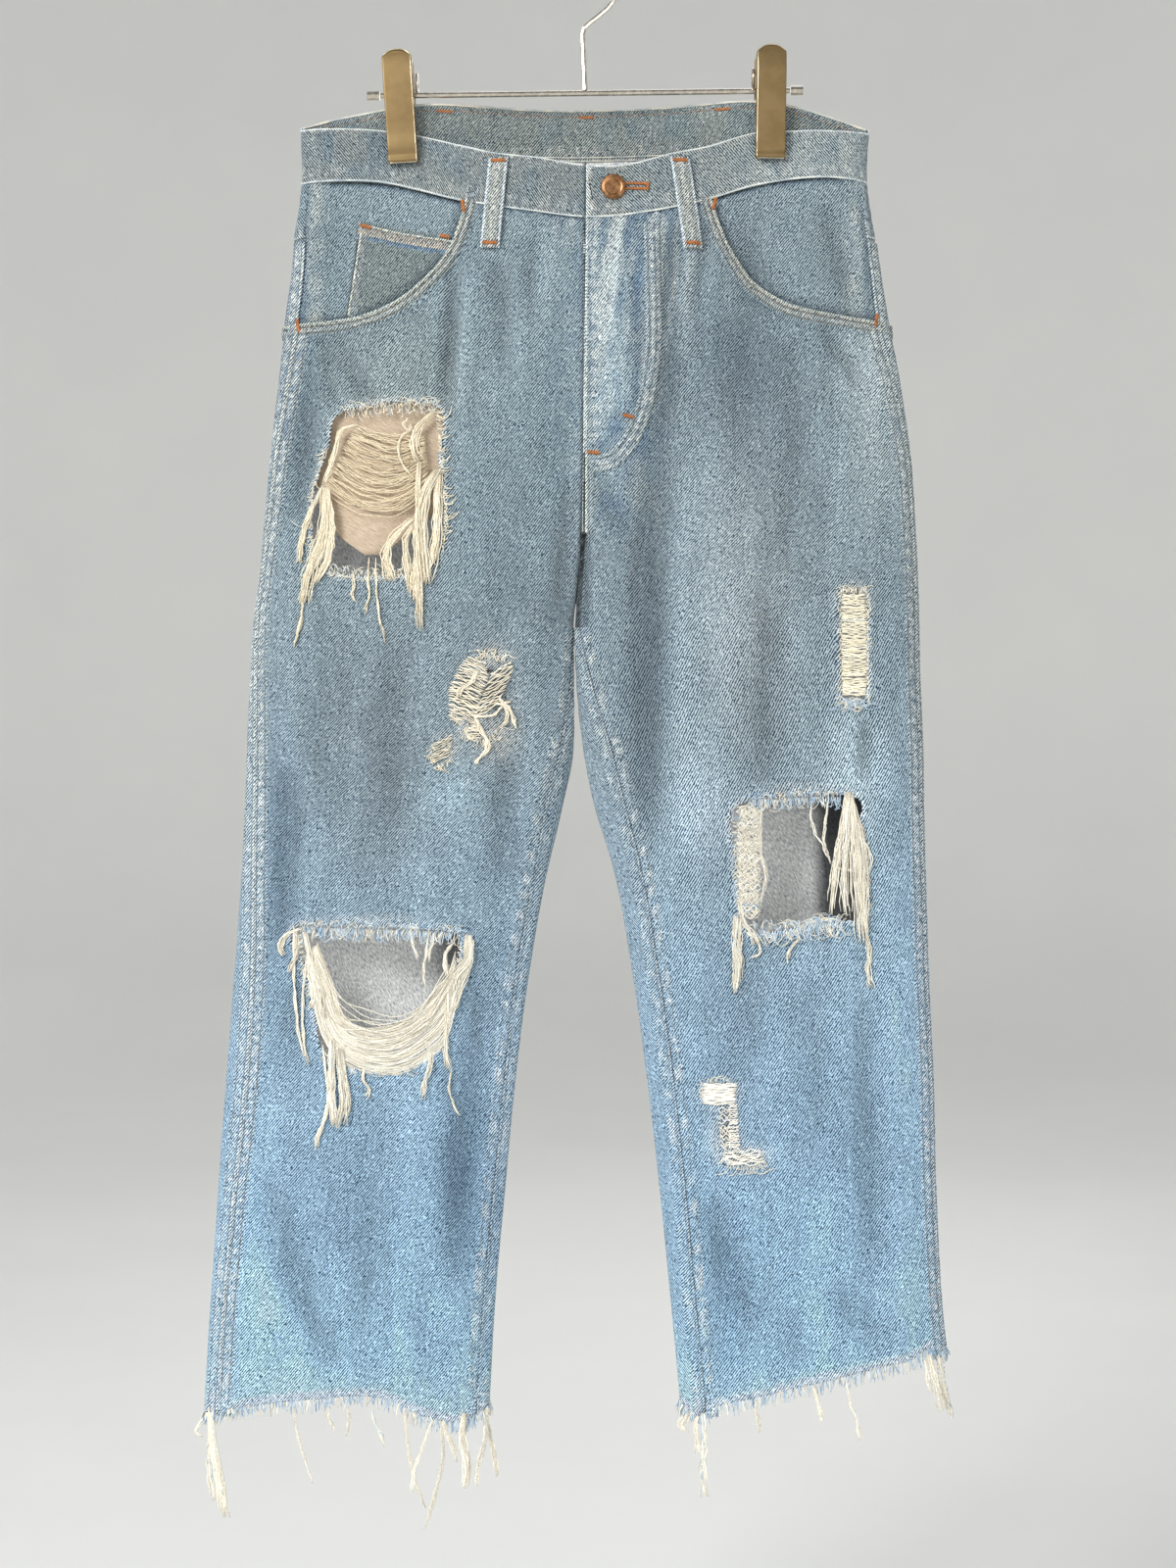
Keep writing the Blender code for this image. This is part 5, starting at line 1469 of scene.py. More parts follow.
def rungs(rows, pitch, seed, sag=0.6, lift=0.5, steps=14, over=2.0, blue=0.03, wild=0.35, radius=0.45):
    """Weft threads left across a strip whose warp has gone: one each pitch mm between the table's low and
    high x.
    """
    rng = np.random.default_rng(seed)
    drop0 = np.arange(rows["drop"][0], rows["drop"][-1], pitch)[:, None]
    number = len(drop0)
    drop0 = drop0 + rng.normal(0.0, 0.18 * pitch, (number, 1))
    low = np.interp(drop0, rows["drop"], rows["low"]) - over * rng.uniform(0.3, 1.0, (number, 1))
    high = np.interp(drop0, rows["drop"], rows["high"]) + over * rng.uniform(0.3, 1.0, (number, 1))
    t = np.linspace(0.0, 1.0, steps)
    x = low + t * (high - low)
    tilt = rng.normal(0.0, 0.5, (number, 1)) * (t - 0.5)
    drop = drop0 + tilt + sag * rng.uniform(0.3, 1.4, (number, 1)) * 4 * t * (1 - t)
    drop = drop + wild * np.sin(TURN * (t * rng.uniform(1.0, 3.0, (number, 1))
        + rng.uniform(0, 1, (number, 1))))
    level = lift + rng.uniform(0.0, 0.7, (number, 1)) * 4 * t * (1 - t)
    return as_threads(rng, x, drop, level, radius, blue)


def fringe(line, pitch, length, aim, seed, curl=1.0, lift=0.7, steps=6, blue=0.6, spread=0.6):
    """Short cut ends along an edge: each runs from the line towards aim (in x and drop), turning aside by
    curl.
    """
    rng = np.random.default_rng(seed)
    line = np.array(line, float)
    run = length_along(line)
    at = np.arange(0.0, run[-1], pitch)
    at = at + rng.normal(0.0, 0.4 * pitch, len(at))
    x0 = np.interp(at, run, line[:, 0])[:, None] + rng.normal(0, 0.3, (len(at), 1))
    d0 = np.interp(at, run, line[:, 1])[:, None] + rng.normal(0, 0.5, (len(at), 1))
    t = np.linspace(0.0, 1.0, steps)
    tall = length * rng.uniform(0.35, 1.25, (len(at), 1))
    turn = rng.normal(0.0, 1.0, (len(at), 1)) * curl
    lean = rng.normal(0.0, spread, (len(at), 1))
    along = np.sin(np.clip(t * (1.1 + 0.5 * np.abs(turn)), 0, 2.4))
    aside = lean * t + turn * t * t * 0.5
    x = x0 + tall * (aim[0] * along + aim[1] * aside)
    drop = d0 + tall * (aim[1] * along - aim[0] * aside)
    level = lift + 1.2 * rng.uniform(0.2, 1.0, (len(at), 1)) * np.sin(np.pi * t * 0.8)
    return as_threads(rng, x, drop, level, 0.34, blue)


# Undyed yarn by place: the rips higher up have yellowed more than the knees
YELLOWED = {"thigh_web": ("#dcc699", 0.55), "thigh_outer_bundle": ("#ead8b0", 0.4),
    "thigh_inner_bundle": ("#ead8b0", 0.4),
            "thigh_low_bundle": ("#ead8b0", 0.4), "thigh_ladder": ("#fbf0cf", 0.5),
            "worn_patch_weft": ("#f3e3c3", 0.35)}


def piece(name, parts, nodes, finish=COTTON):
    """One mesh of joined parts that stands for these nodes."""
    points, quads, colours = joined(parts)
    if name in YELLOWED:
        tint, share = YELLOWED[name]
        colours = toward(colours, tint, np.full(len(colours), share))
    return set_in(build(name, points, quads, (finish,), colour=colours), nodes)


def thigh_rip_threads():
    """Right thigh: a sagging web over the pocket bag, two long bundles on its sides and one at its lower
    edge.
    """
    outer = table(
        BUNDLE,
        (-166, 222, -176, 225, -181, 241, -190, 265, 9, 3),
        (-190, 266, -200, 285, -206, 305, -208, 322, 9, 3),
        (-188, 268, -190, 300, -200, 330, -205, 352, 14, 5),
        (-187, 268, -183, 295, -188, 325, -196, 338, 12, 4),
        (-203, 335, -204, 350, -206, 365, -211, 384, 3, 1),
    )
    inner = table(
        BUNDLE,
        (-110, 214, -122, 227, -124, 237, -120, 250, 8, 3),
        (-120, 250, -121, 275, -120, 326, -120, 371, 8, 3),
        (-106, 256, -114, 270, -118, 294, -115, 338, 20, 6),
        (-106, 257, -107, 281, -108, 307, -116, 339, 12, 4),
        (-125, 226, -133, 231, -133, 250, -124, 262, 2, 1),
        (-127, 218, -131, 222, -128, 227, -124, 222, 2, 1),
    )
    low = table(
        BUNDLE,
        (-124, 290, -135, 300, -143, 313, -140, 336, 10, 4),
        (-124, 295, -130, 307, -129, 319, -127, 344, 8, 3),
        (-124, 298, -120, 313, -123, 326, -124, 351, 6, 2),
        (-156, 319, -157, 332, -156, 344, -160, 362, 2, 1),
        (-151, 319, -151, 332, -149, 357, -144, 383, 2, 0.7),
        (-168, 330, -167, 338, -169, 346, -166, 352, 2, 1),
    )
    web = between(
        [(-166, 222), (-150, 224), (-135, 227), (-116, 230)],
        [(-192, 266), (-165, 280), (-135, 282), (-112, 268)], 72, 11, lift=-0.6, sag=5.0, swing=1.8,
        radius=0.32, blue=0.0,
    )
    top = [(-174, 212), (-150, 210.5), (-128, 209.5), (-106, 209)]
    bottom = [(-192, 326), (-175, 329.5), (-157, 332), (-138, 330), (-120, 328)]
    piece("thigh_web", [web], ["thigh_threads"])
    piece("thigh_outer_bundle",
        [bundles(outer, 21), fringe([(-187, 238), (-197, 266), (-199, 298), (-192, 322)], 1.4, 6,
            (-0.7, 0.7), 22, blue=0.25)], ["thigh_tassel_outer"])
    piece(
        "thigh_inner_bundle",
        [bundles(inner, 23), fringe([(-108, 212), (-105.5, 248), (-102.5, 284), (-105, 310)], 1.1, 6.5,
            (0.85, 0.5), 24, blue=0.2)],
        ["thigh_tassel_inner"],
    )
    piece(
        "thigh_low_bundle",
        [bundles(low, 25), fringe(bottom, 1.0, 5.0, (0.1, -1.0), 26, blue=0.7),
            fringe(bottom, 1.3, 4.5, (0.0, 1.0), 27, blue=0.7),
         fringe(top, 0.9, 5.5, (0.05, -1.0), 28, curl=1.6, blue=0.75),
         fringe(top, 1.4, 6.0, (0.0, 1.0), 29, curl=1.4, blue=0.7)],
        ["thigh_tassel_low"],
    )


def knee_rip_threads():
    """Right knee: a deep swag of weft threads, bundles at both ends and cut warp ends along the top."""
    upper = [(-194, 599), (-183, 626), (-173, 652), (-152, 660), (-134, 656), (-116, 641), (-100, 622),
        (-94, 604)]
    lower = [(-203, 608), (-197, 643), (-184, 675), (-163, 690), (-137, 693), (-116, 684), (-103, 672),
        (-93, 640)]
    swag = between(upper, lower, 100, 31, steps=22, lift=0.2, swing=2.2, radius=0.46, blue=0.01)
    strays = between([(-196, 602), (-170, 640), (-130, 648), (-98, 612)],
        [(-200, 606), (-176, 660), (-130, 668), (-97, 630)], 9, 32, lift=1.5, swing=4.5)
    outer = table(
        BUNDLE,
        (-184, 668, -184, 690, -184, 710, -181, 732, 17, 3.6),
        (-178, 674, -176, 695, -174, 712, -177, 730, 15, 3.6),
        (-190, 672, -188, 690, -186, 708, -195, 745, 3, 1),
        (-186, 712, -190, 728, -194, 738, -196, 748, 3, 1.4),
        (-206, 587, -217, 592, -221, 602, -219, 607, 5, 2),
        (-209, 588, -209, 605, -214, 618, -215, 620, 3, 2),
        (-211, 586, -210, 640, -207, 665, -201, 687, 3, 1.2),
        (-202, 608, -205, 640, -204, 669, -200, 688, 4, 1.5),
        (-197, 604, -200, 616, -197, 636, -198, 645, 6, 2),
        (-203, 590, -199, 610, -193, 632, -190, 652, 10, 3.5),
    )
    inner = table(
        BUNDLE,
        (-85, 592, -86, 610, -95, 622, -97, 636, 12, 4),
        (-82, 595, -85, 616, -90, 628, -95, 648, 9, 3),
        (-96, 598, -101, 606, -101, 614, -99, 622, 5, 2),
        (-99, 628, -100, 655, -101, 672, -97, 693, 7, 2.4),
        (-97, 690, -99, 704, -96, 714, -91, 725, 2, 0.8),
        (-115, 669, -111, 683, -115, 695, -118, 712, 5, 2),
        (-160, 688, -161, 696, -157, 703, -158, 711, 3, 1),
        (-127, 588, -125, 598, -122, 606, -122, 612, 1, 0.5),
        (-113, 588, -115, 604, -117, 616, -116, 631, 3, 1),
        (-110, 590, -111, 599, -113, 606, -113, 612, 2, 0.8),
    )
    top = [(-207, 585), (-180, 586.5), (-150, 587.5), (-120, 588.5), (-90, 590)]
    piece("knee_web", [swag, strays], ["knee_swag"])
    piece("knee_outer_bundle",
        [bundles(outer, 33), fringe([(-205, 590), (-203, 613), (-196, 645)], 1.3, 6, (-0.8, 0.5), 34,
            blue=0.25)], ["knee_tassel_outer"])
    piece(
        "knee_inner_bundle",
        [bundles(inner, 35), fringe([(-92, 598), (-96, 631), (-103, 660)], 1.4, 5.5, (0.8, 0.5), 36,
            blue=0.2),
         fringe(top, 0.8, 4.5, (0.1, -1.0), 37, curl=1.8, blue=0.75),
         fringe(top, 0.55, 8.5, (-0.12, 1.0), 38, curl=0.8, blue=0.7, spread=0.3),
         fringe([(-190, 675), (-175, 687), (-140, 690), (-112, 682)], 1.3, 5.0, (0.0, 1.0), 39, blue=0.6)],
        ["knee_tassel_inner"],
    )


def worn_patch_threads():
    """Small worn patch on the right thigh: weft threads that slump into a middle valley, with short tails."""
    left = rungs(table("drop low high", (386, -84, -72), (396, -90, -71), (412, -97, -77), (436, -97, -79)),
        1.35, 41, sag=-0.8, lift=0.7, blue=0.0, wild=0.6, radius=0.55)
    left[0][:, 2] -= 0.42 * (left[0][:, 0] + 97.0)
    right = rungs(table("drop low high", (394, -66, -54), (402, -70, -53), (412, -77, -59), (420, -80, -64)),
        1.5, 42, sag=0.6, lift=0.9, blue=0.0, wild=0.6, radius=0.55)
    right[0][:, 2] += 0.6 * (right[0][:, 0] + 55.0)
    low = rungs(table("drop low high", (438, -88, -77), (449, -85, -77)), 1.5, 43, lift=0.8, blue=0.0,
        radius=0.55)
    patch = rungs(table("drop low high", (450, -108, -96), (465, -111, -99)), 1.7, 44, lift=0.7)
    patch[0][:, 2] += 0.5 * (patch[0][:, 0] + 104.0)
    tails = table(
        BUNDLE,
        (-84, 438, -86, 444, -82, 450, -79, 446, 2, 0.8),
        (-80, 434, -73, 446, -69, 455, -74, 463, 3, 0.8),
        (-80, 434, -66, 432, -58, 424, -53, 421, 3, 0.8),
        (-77, 436, -75, 445, -71, 451, -72, 459, 3, 1.5),
        (-72, 452, -73, 459, -77, 464, -80, 468, 2, 1),
        (-65, 424, -56, 426, -53, 433, -50, 443, 3, 1.5),
        (-62, 420, -57, 428, -57, 436, -60, 441, 3, 1.6),
        (-78, 400, -82, 408, -90, 414, -93, 420, 5, 2),
    )
    fuzz = fringe([(-80, 394), (-70, 392), (-58, 395)], 0.8, 7, (0.1, -1.0), 45, curl=1.5, blue=0.4)
    fuzz2 = fringe([(-95, 425), (-88, 446), (-74, 450), (-60, 440)], 1.1, 5, (0.2, 1.0), 46, curl=1.5,
        blue=0.35)
    fuzz3 = fringe([(-110, 452), (-112, 462), (-104, 470), (-96, 462)], 0.9, 4, (-0.3, 0.8), 47, blue=0.3)
    piece("worn_patch_weft", [left, right, low, patch, bundles(tails, 48, steps=12, radius=0.55), fuzz,
        fuzz2, fuzz3], ["worn_patch"])


def thigh_strip():
    """Narrow ladder of weft threads on the left thigh, with a knotted blue end below it."""
    ladder = rungs(table("drop low high", (345, 187, 202), (380, 186, 204), (418, 187, 203)), 1.15, 51,
        sag=0.7, lift=0.5, blue=0.02, radius=0.62)
    second = rungs(table("drop low high", (347, 188, 203), (416, 187, 203)), 3.1, 52, sag=1.6, lift=1.2,
        blue=0.0)
    sides = [fringe([(x, 344), (x + 0.5, 380), (x, 418)], 1.6, 3.0, (turn, 0.3), 53 + n, blue=0.3) for n,
        (x, turn) in enumerate(((186, -1.0), (203.5, 1.0)))]
    top = fringe([(185, 345), (205, 344)], 0.8, 5.0, (0.0, -1.0), 55, curl=1.6, blue=0.4)
    knot = fringe([(187, 421), (202, 421)], 0.45, 7.0, (0.1, 1.0), 56, curl=2.6, lift=1.2, blue=0.65,
        steps=10, spread=1.2)
    ball = fringe([(189, 427), (200, 427)], 0.5, 6.0, (0.1, -1.0), 57, curl=2.8, lift=1.6, blue=0.7,
        steps=10, spread=1.2)
    piece("thigh_ladder", [ladder, second, top, *sides], ["thigh_strip_threads"])
    piece("thigh_knot", [knot, ball], ["thigh_strip_tassel"])


def left_knee_threads():
    """Left knee: a curly ladder at the inner side, a long bundle at the outer side, cut ends above and below.
    """
    web = rungs(table("drop low high", (498, 114, 125), (540, 111, 125.5), (578, 113, 125)), 1.0, 61,
        sag=2.6, lift=0.9, wild=1.6, over=3.0)
    web2 = rungs(table("drop low high", (500, 113, 124), (576, 112, 124)), 1.7, 62, sag=-1.5, lift=1.6,
        wild=2.0, over=2.0, steps=18)
    ticks = fringe([(112, 497), (110, 539), (113, 580)], 1.2, 4.0, (-1.0, 0.2), 63, blue=0.4)
    inner = table(
        BUNDLE,
        (109, 578, 108.5, 600, 109.5, 615, 107.5, 634, 9, 2.4),
        (113, 580, 112, 598, 113, 612, 112, 627, 4, 1.8),
        (117, 590, 125, 596, 126, 606, 119, 608, 2, 1),
        (112, 570, 116, 584, 122, 592, 125, 600, 5, 2.5),
        (155, 595, 149, 601, 147, 607, 146, 614, 3, 1),
    )
    outer = table(
        BUNDLE,
        (190, 489, 187, 510, 181, 545, 177, 577, 7, 3),
        (191, 488, 190, 515, 188, 550, 190, 580, 9, 4),
        (193, 492, 196, 520, 199, 555, 203, 598, 12, 4),
        (192, 490, 201, 520, 204, 550, 203, 590, 6, 3),
        (197, 520, 206, 530, 206, 545, 198, 552, 3, 1.5),
        (204, 592, 206, 605, 205, 618, 208, 631, 5, 1.8),
        (164, 495, 164, 510, 174, 530, 179, 541, 2, 0.8),
        (176, 495, 174, 510, 173, 522, 174, 531, 3, 0.8),
        (179, 541, 186, 544, 192, 545, 198, 546, 2, 0.8),
        (128, 497, 127, 530, 131, 550, 127, 571, 3, 1.2),
    )
    top = [(118, 494), (140, 492.5), (165, 491.5), (186, 491)]
    low = [(122, 588), (140, 589), (156, 586), (172, 583.5), (186, 583)]
    rolled = [(155, 588), (170, 585), (186, 585)]
    piece("left_knee_web", [web, web2, ticks], ["left_knee_threads"])
    piece(
        "left_knee_inner_bundle",
        [bundles(inner, 64), fringe(low, 0.55, 10.0, (0.12, 1.0), 65, blue=0.6, spread=0.3),
            fringe(low, 0.8, 6.0, (0.0, -1.0), 66, curl=1.8, blue=0.6)],
        ["left_knee_tassel_inner"],
    )
    piece(
        "left_knee_outer_bundle",
        [bundles(outer, 67), fringe(top, 0.8, 4.5, (0.0, -1.0), 68, curl=1.9, blue=0.75),
            fringe(top, 0.55, 8.0, (0.1, 1.0), 69, curl=0.8, blue=0.7, spread=0.3),
         fringe(rolled, 0.7, 5.5, (0.0, -1.0), 70, curl=2.4, blue=0.5),
         fringe([(199, 518), (202, 553), (203, 580)], 1.5, 5.0, (0.9, 0.4), 71, blue=0.2)],
        ["left_knee_tassel_outer"],
    )


def shin_threads():
    """Left shin: a small dense patch, a thin column of ticks below it and a fuzzy bundle at its foot."""
    patch = rungs(table("drop low high", (700, 87, 109), (715, 86, 108)), 0.72, 81, sag=0.4, lift=0.8,
        over=2.0, blue=0.0, radius=0.5)
    column = rungs(table("drop low high", (715, 105, 110), (747, 105, 112)), 1.3, 82, sag=0.5, lift=0.6,
        over=1.0, blue=0.0, radius=0.5)
    speckle = rungs(table("drop low high", (718, 97, 105), (746, 99, 106)), 2.4, 83, sag=0.8, lift=0.4,
        over=0.5, blue=0.2, wild=1.2)
    foot = rungs(table("drop low high", (748, 102, 126), (757, 101, 130)), 1.1, 84, sag=1.4, lift=0.9,
        wild=1.1, over=2.0, blue=0.0, radius=0.5)
    for weft in (patch, column, speckle, foot):
        weft[2][:] = toward(weft[2], "#fffaf2", np.full(len(weft[2]), 0.7))
    fuzz = fringe([(100, 750), (104, 758), (120, 760), (131, 755)], 0.8, 5.5, (0.2, 1.0), 85, curl=1.6,
        blue=0.3)
    top = fringe([(87, 700), (98, 699), (108, 700)], 0.9, 4.0, (0.0, -1.0), 86, curl=2.0, blue=0.6)
    side = fringe([(86, 700), (86, 714)], 0.9, 3.5, (-1.0, 0.0), 87, blue=0.3)
    piece("shin_patch_weft", [patch, column, speckle, foot, fuzz, top, side], ["shin_threads"])


def hem_threads():
    """Cut hems: short ends all round, and longer strands where the weave has come loose."""
    tassels = {
        "hem_tassel_right_outer": ((-274, 938, -271, 965, -266, 990, -261, 1017, 13, 3.4),
            (-271, 938, -274, 960, -274, 985, -270, 1006, 6, 2.6), (-276, 944, -282, 950, -286, 958, -280,
                962, 3, 1.2)),
        "hem_tassel_right_middle": ((-212, 934, -208, 955, -202, 975, -197, 991, 2, 0.8),
            (-186, 934, -187, 940, -184, 946, -182, 952, 2, 1), (-172, 934, -171, 940, -172, 950, -173, 956,
                2, 1), (-154, 936, -153, 945, -148, 954, -145, 963, 3, 1)),
        "hem_tassel_right_inner": ((-131, 937, -129, 960, -124, 985, -116, 1008, 3, 1.2),
            (-111, 946, -118, 965, -124, 982, -125, 998, 4, 1.5), (-105, 946, -104, 975, -110, 1000, -117,
                1026, 4, 1.4), (-103, 946, -100, 956, -96, 966, -94, 976, 4, 1.5)),
        "hem_tassel_right_edge": ((-88, 941, -89, 960, -86, 978, -87, 996, 12, 3.2),
            (-72, 939, -73, 960, -78, 980, -79, 996, 6, 1.8), (-74, 940, -70, 960, -67, 975, -64, 992, 4,
                1.4)),
        "hem_tassel_left_inner": ((86, 941, 87, 960, 86, 980, 88, 1002, 12, 2.8),
            (82, 943, 80, 952, 82, 962, 81, 971, 5, 1.8), (74, 942, 72, 947, 70, 951, 73, 956, 7, 2.5)),
        "hem_tassel_left_middle": ((125, 930, 124, 938, 126, 946, 126, 954, 3, 1.6),
            (166, 920, 168, 928, 170, 936, 172, 945, 4, 1.6), (189, 915, 192, 930, 197, 945, 199, 959, 2,
                0.8)),
        "hem_tassel_left_outer": ((250, 899, 254, 915, 258, 928, 261, 941, 9, 3.5),
            (258, 899, 262, 918, 266, 934, 270, 948, 7, 2.6), (248, 902, 250, 910, 251, 920, 254, 926, 5, 2)),
    }
    for number, (node, rows) in enumerate(tassels.items()):
        piece(f"{node}_yarn",
            [bundles(table(BUNDLE, *rows), 90 + number, lift=-0.3, blue=0.03, radius=0.62, more=1.8)], [node])
    for side, leg, seed in (("right", RIGHT_LEG, 101), ("left", LEFT_LEG, 102)):
        rng = np.random.default_rng(seed)
        phi = np.linspace(0.0, TURN, 760)[:-1, None] + rng.normal(0.0, 0.004, (759, 1))
        start = hem_at(leg, share_of(phi)) - 2.0
        t = np.linspace(0.0, 1.0, 5)
        tall = rng.uniform(5.0, 12.0, phi.shape)
        level = -0.5 + rng.uniform(-0.5, 0.5, phi.shape) + rng.normal(0.0, 0.9, phi.shape) * t
        drop = start + tall * t
        swing = rng.normal(0.0, 1.6, phi.shape) * t + rng.normal(0, 0.8, phi.shape) * np.sin(3 * t)
        points = cloth(leg, phi + 0 * t, np.minimum(drop, FOLLOW_END), level)
        points[..., 0] += swing
        points[..., 2] = WAIST_Z - drop
        made, quads = tubes(points, 0.46 * rng.uniform(0.7, 1.2, len(phi)))
        piece(f"hem_ends_{side}", [(made, quads, yarn_colours(rng, len(phi), 20, 0.7))],
            [f"hem_fringe_{side}"])


thigh_rip_threads()
knee_rip_threads()
worn_patch_threads()
thigh_strip()
left_knee_threads()
shin_threads()
hem_threads()


# The fly's curved stitching, from the waist to the centre line
FLY_CURVE = ((46, 120), (46.5, 163), (42.5, 195), (36, 220), (27, 237), (17, 246), (5, 248))
STITCH_TAN, STITCH_PALE, STITCH_ORANGE = (linear(c) for c in ("#8d7f6a", "#c9c8be", "#b57344"))


def stitches(lines, seed, pitch=3.3, filled=0.62, radius=0.28, colour=STITCH_TAN):
    """Stitches along a line in the cloth and the same line just above it: each comes up, runs on top over a
    share filled of the pitch and goes down.
    """
    rng = np.random.default_rng(seed)
    run = length_along(lines[1])
    start = np.arange(0.2, run[-1] - pitch, pitch)[:, None]
    at = start + pitch * filled * np.array([0.0, 0.5, 1.0]) + rng.normal(0.0, 0.08, start.shape)
    under, over = (np.stack([np.interp(at, run, line[:, k]) for k in range(3)], axis=-1) for line in lines)
    points, quads = tubes(under + (over - under) * np.array([0.0, 1.0, 0.0])[:, None], radius)
    shade = np.repeat(0.8 + 0.3 * rng.uniform(0.0, 1.0, (len(start), 1)), 12, axis=0)
    return points, quads, colour * shade


def moved_line(places, aside, fine):
    """x and drop along a curve through places (x, drop), moved aside to its left."""
    curve = curve_through(places)
    at = np.arange(0.0, curve["run"][-1] + 0.5 * fine, fine)
    x, drop = read(curve, "x", at), read(curve, "drop", at)
    dx, dd = np.gradient(x), np.gradient(drop)
    size = np.hypot(dx, dd)
    if np.ndim(aside):
        x, drop, dx, dd, size = (value[:, None] for value in (x, drop, dx, dd, size))
    return x + aside * dd / size, drop - aside * dx / size


def on_cloth(places, height, front=True, aside=0.0):
    """A line through places (x, drop) on the cloth, moved aside to its left, in the cloth and just above it.
    """
    x, drop = moved_line(places, aside, 2.0)
    return skin(x, drop, height - 0.35, front), skin(x, drop, height + 0.28, front)


def turn_beside(leg, key, distance, drop, back):
    """Angle at a distance from the side seam or the inseam, on the front or, with back, round the other way.
    """
    phi = np.arccos(1.0 - 2.0 * np.clip(read(leg, key, drop), 0.0, 1.0))
    way = (-1.0 if key == "seam_out" else 1.0) * (-1.0 if back else 1.0)
    for _ in range(12):
        near = plain_cloth(leg, phi + way * 0.01, drop) - plain_cloth(leg, phi, drop)
        phi = phi + way * 0.01 * distance / 12.0 / np.maximum(np.linalg.norm(near, axis=-1), 1e-4)
    return phi


def beside_seam(leg, key, distance, drop, height):
    """A line beside a seam, in the cloth and just above it."""
    phi = turn_beside(leg, key, distance, drop, False)
    return cloth(leg, phi, drop, height - 0.35), cloth(leg, phi, drop, height + 0.28)


# Sections across sewn edges: distance from the edge into the cloth, height above it, colour and strength of
# the colour. The dark rows at the foot of a raised edge and just beyond it are painted shadow, and the dark
# rows in the stitch grooves are the stitching with painted shade; the strips at the fly's edge and down the
# crotch are painted shadows in the gaps between the fronts, and the strip under the waistband is its painted
# shadow
MOUTH_HEM = (
    (-0.6, -1.9, "#6d6c62", 0.8), (-0.3, -0.5, "#b5b2a2", 0.85), (0.3, 0.7, "#cfccbc", 0.9),
    (1.1, 1.25, "#b9b9ad", 0.75),
    (2.1, 1.3, "#a5a9a2", 0.6), (2.8, 0.8, "#7f847d", 0.7), (3.3, 0.4, "#4c5356", 0.85),
    (3.8, 0.5, "#7b827f", 0.7),
    (4.6, 1.0, "#a3a8a3", 0.55), (5.6, 1.25, "#a8ada9", 0.5), (6.5, 1.1, "#9ba19d", 0.5),
    (7.2, 0.6, "#6f7775", 0.7),
    (7.7, 0.35, "#46525a", 0.8), (8.3, 0.5, "#7f8b90", 0.45), (9.3, 0.3, "#8d979b", 0.0),
    (10.4, -0.5, "#8d979b", 0.0),
)
COIN_HEM = (
    (-0.6, -0.9, "#3c4a58", 0.9), (-0.1, 0.3, "#c9c4b4", 0.9), (0.6, 0.8, "#dcd8ca", 0.95),
    (1.3, 0.7, "#a59f92", 0.9),
    (2.0, 0.4, "#6f6b64", 0.9), (3.0, 0.6, "#8a857c", 0.85), (4.5, 0.8, "#8f8a80", 0.8),
    (6.0, 0.7, "#8c877c", 0.8),
    (7.0, 0.8, "#b3aea2", 0.85), (7.7, 0.4, "#9a9488", 0.8), (8.3, 0.1, "#33506f", 0.85),
    (9.5, 0.1, "#35567a", 0.7),
    (11.0, 0.05, "#46678a", 0.35), (12.5, -0.4, "#46678a", 0.0),
)
COIN_SIDE = (
    (-1.6, -0.6, "#20262c", 0.5), (-0.7, 0.1, "#15191d", 0.95), (-0.1, 0.2, "#2a3036", 0.9),
    (0.3, 0.7, "#d9d3c3", 0.9),
    (1.1, 0.7, "#cfc9b9", 0.8), (1.9, 0.3, "#7c7f7d", 0.7), (3.5, 0.3, "#7b7a76", 0.4),
    (6.0, 0.3, "#7b7a76", 0.4),
    (7.0, 0.1, "#58636b", 0.5), (8.2, -0.4, "#58636b", 0.0),
)
FELLED_SEAM = (
    (-1.0, -0.7, "#2f4357", 0.8), (-0.4, 0.3, "#3d5266", 0.8), (0.2, 0.5, "#c3c7c1", 0.8),
    (0.9, 0.7, "#c9ccc5", 0.7),
    (1.5, 0.45, "#7f8d97", 0.6), (2.1, 0.2, "#4a6177", 0.8), (2.9, 0.5, "#a9b5b8", 0.25),
    (4.4, 0.75, "#b9c3c4", 0.25),
    (6.2, 0.7, "#b9c3c4", 0.25), (7.6, 0.55, "#a9b5b8", 0.3), (8.4, 0.25, "#4d657e", 0.8),
    (9.1, 0.4, "#aab7ba", 0.5),
    (9.9, 0.2, "#aab7ba", 0.2), (10.9, -0.4, "#aab7ba", 0.0),
)
INSEAM = (
    (1.6, 0.1, "#4b637b", 0.6), (2.4, 0.25, "#7d8f9d", 0.25), (3.8, 0.4, "#aab7ba", 0.15),
    (5.4, 0.4, "#aab7ba", 0.15),
    (7.0, 0.3, "#9fb0b8", 0.15), (8.2, 0.25, "#9fb0b8", 0.1), (9.4, -0.4, "#9fb0b8", 0.0),
)
PALE_INSEAM = ((-0.7, -0.6, "#54697d", 0.6), (0.0, 0.3, "#cbc6b6", 0.75), (0.7, 0.35, "#b9b9ae", 0.6),
    *INSEAM)
DARK_INSEAM = ((-1.4, -0.7, "#2d4256", 0.7), (-0.5, 0.15, "#24384b", 0.9), (0.3, 0.35, "#b4bab6", 0.5),
    *INSEAM)
FLY_EDGE = (
    (-0.9, -0.9, "#4a4c4a", 0.85), (-0.3, 0.2, "#bdb9a9", 0.85), (0.5, 0.7, "#d2cec0", 0.9),
    (1.3, 0.5, "#a9aca6", 0.7),
    (2.1, 0.1, "#6b7a86", 0.6), (3.4, 0.3, "#aab4b4", 0.3), (5.0, 0.4, "#aab4b4", 0.3),
    (6.3, -0.3, "#aab4b4", 0.0),
)
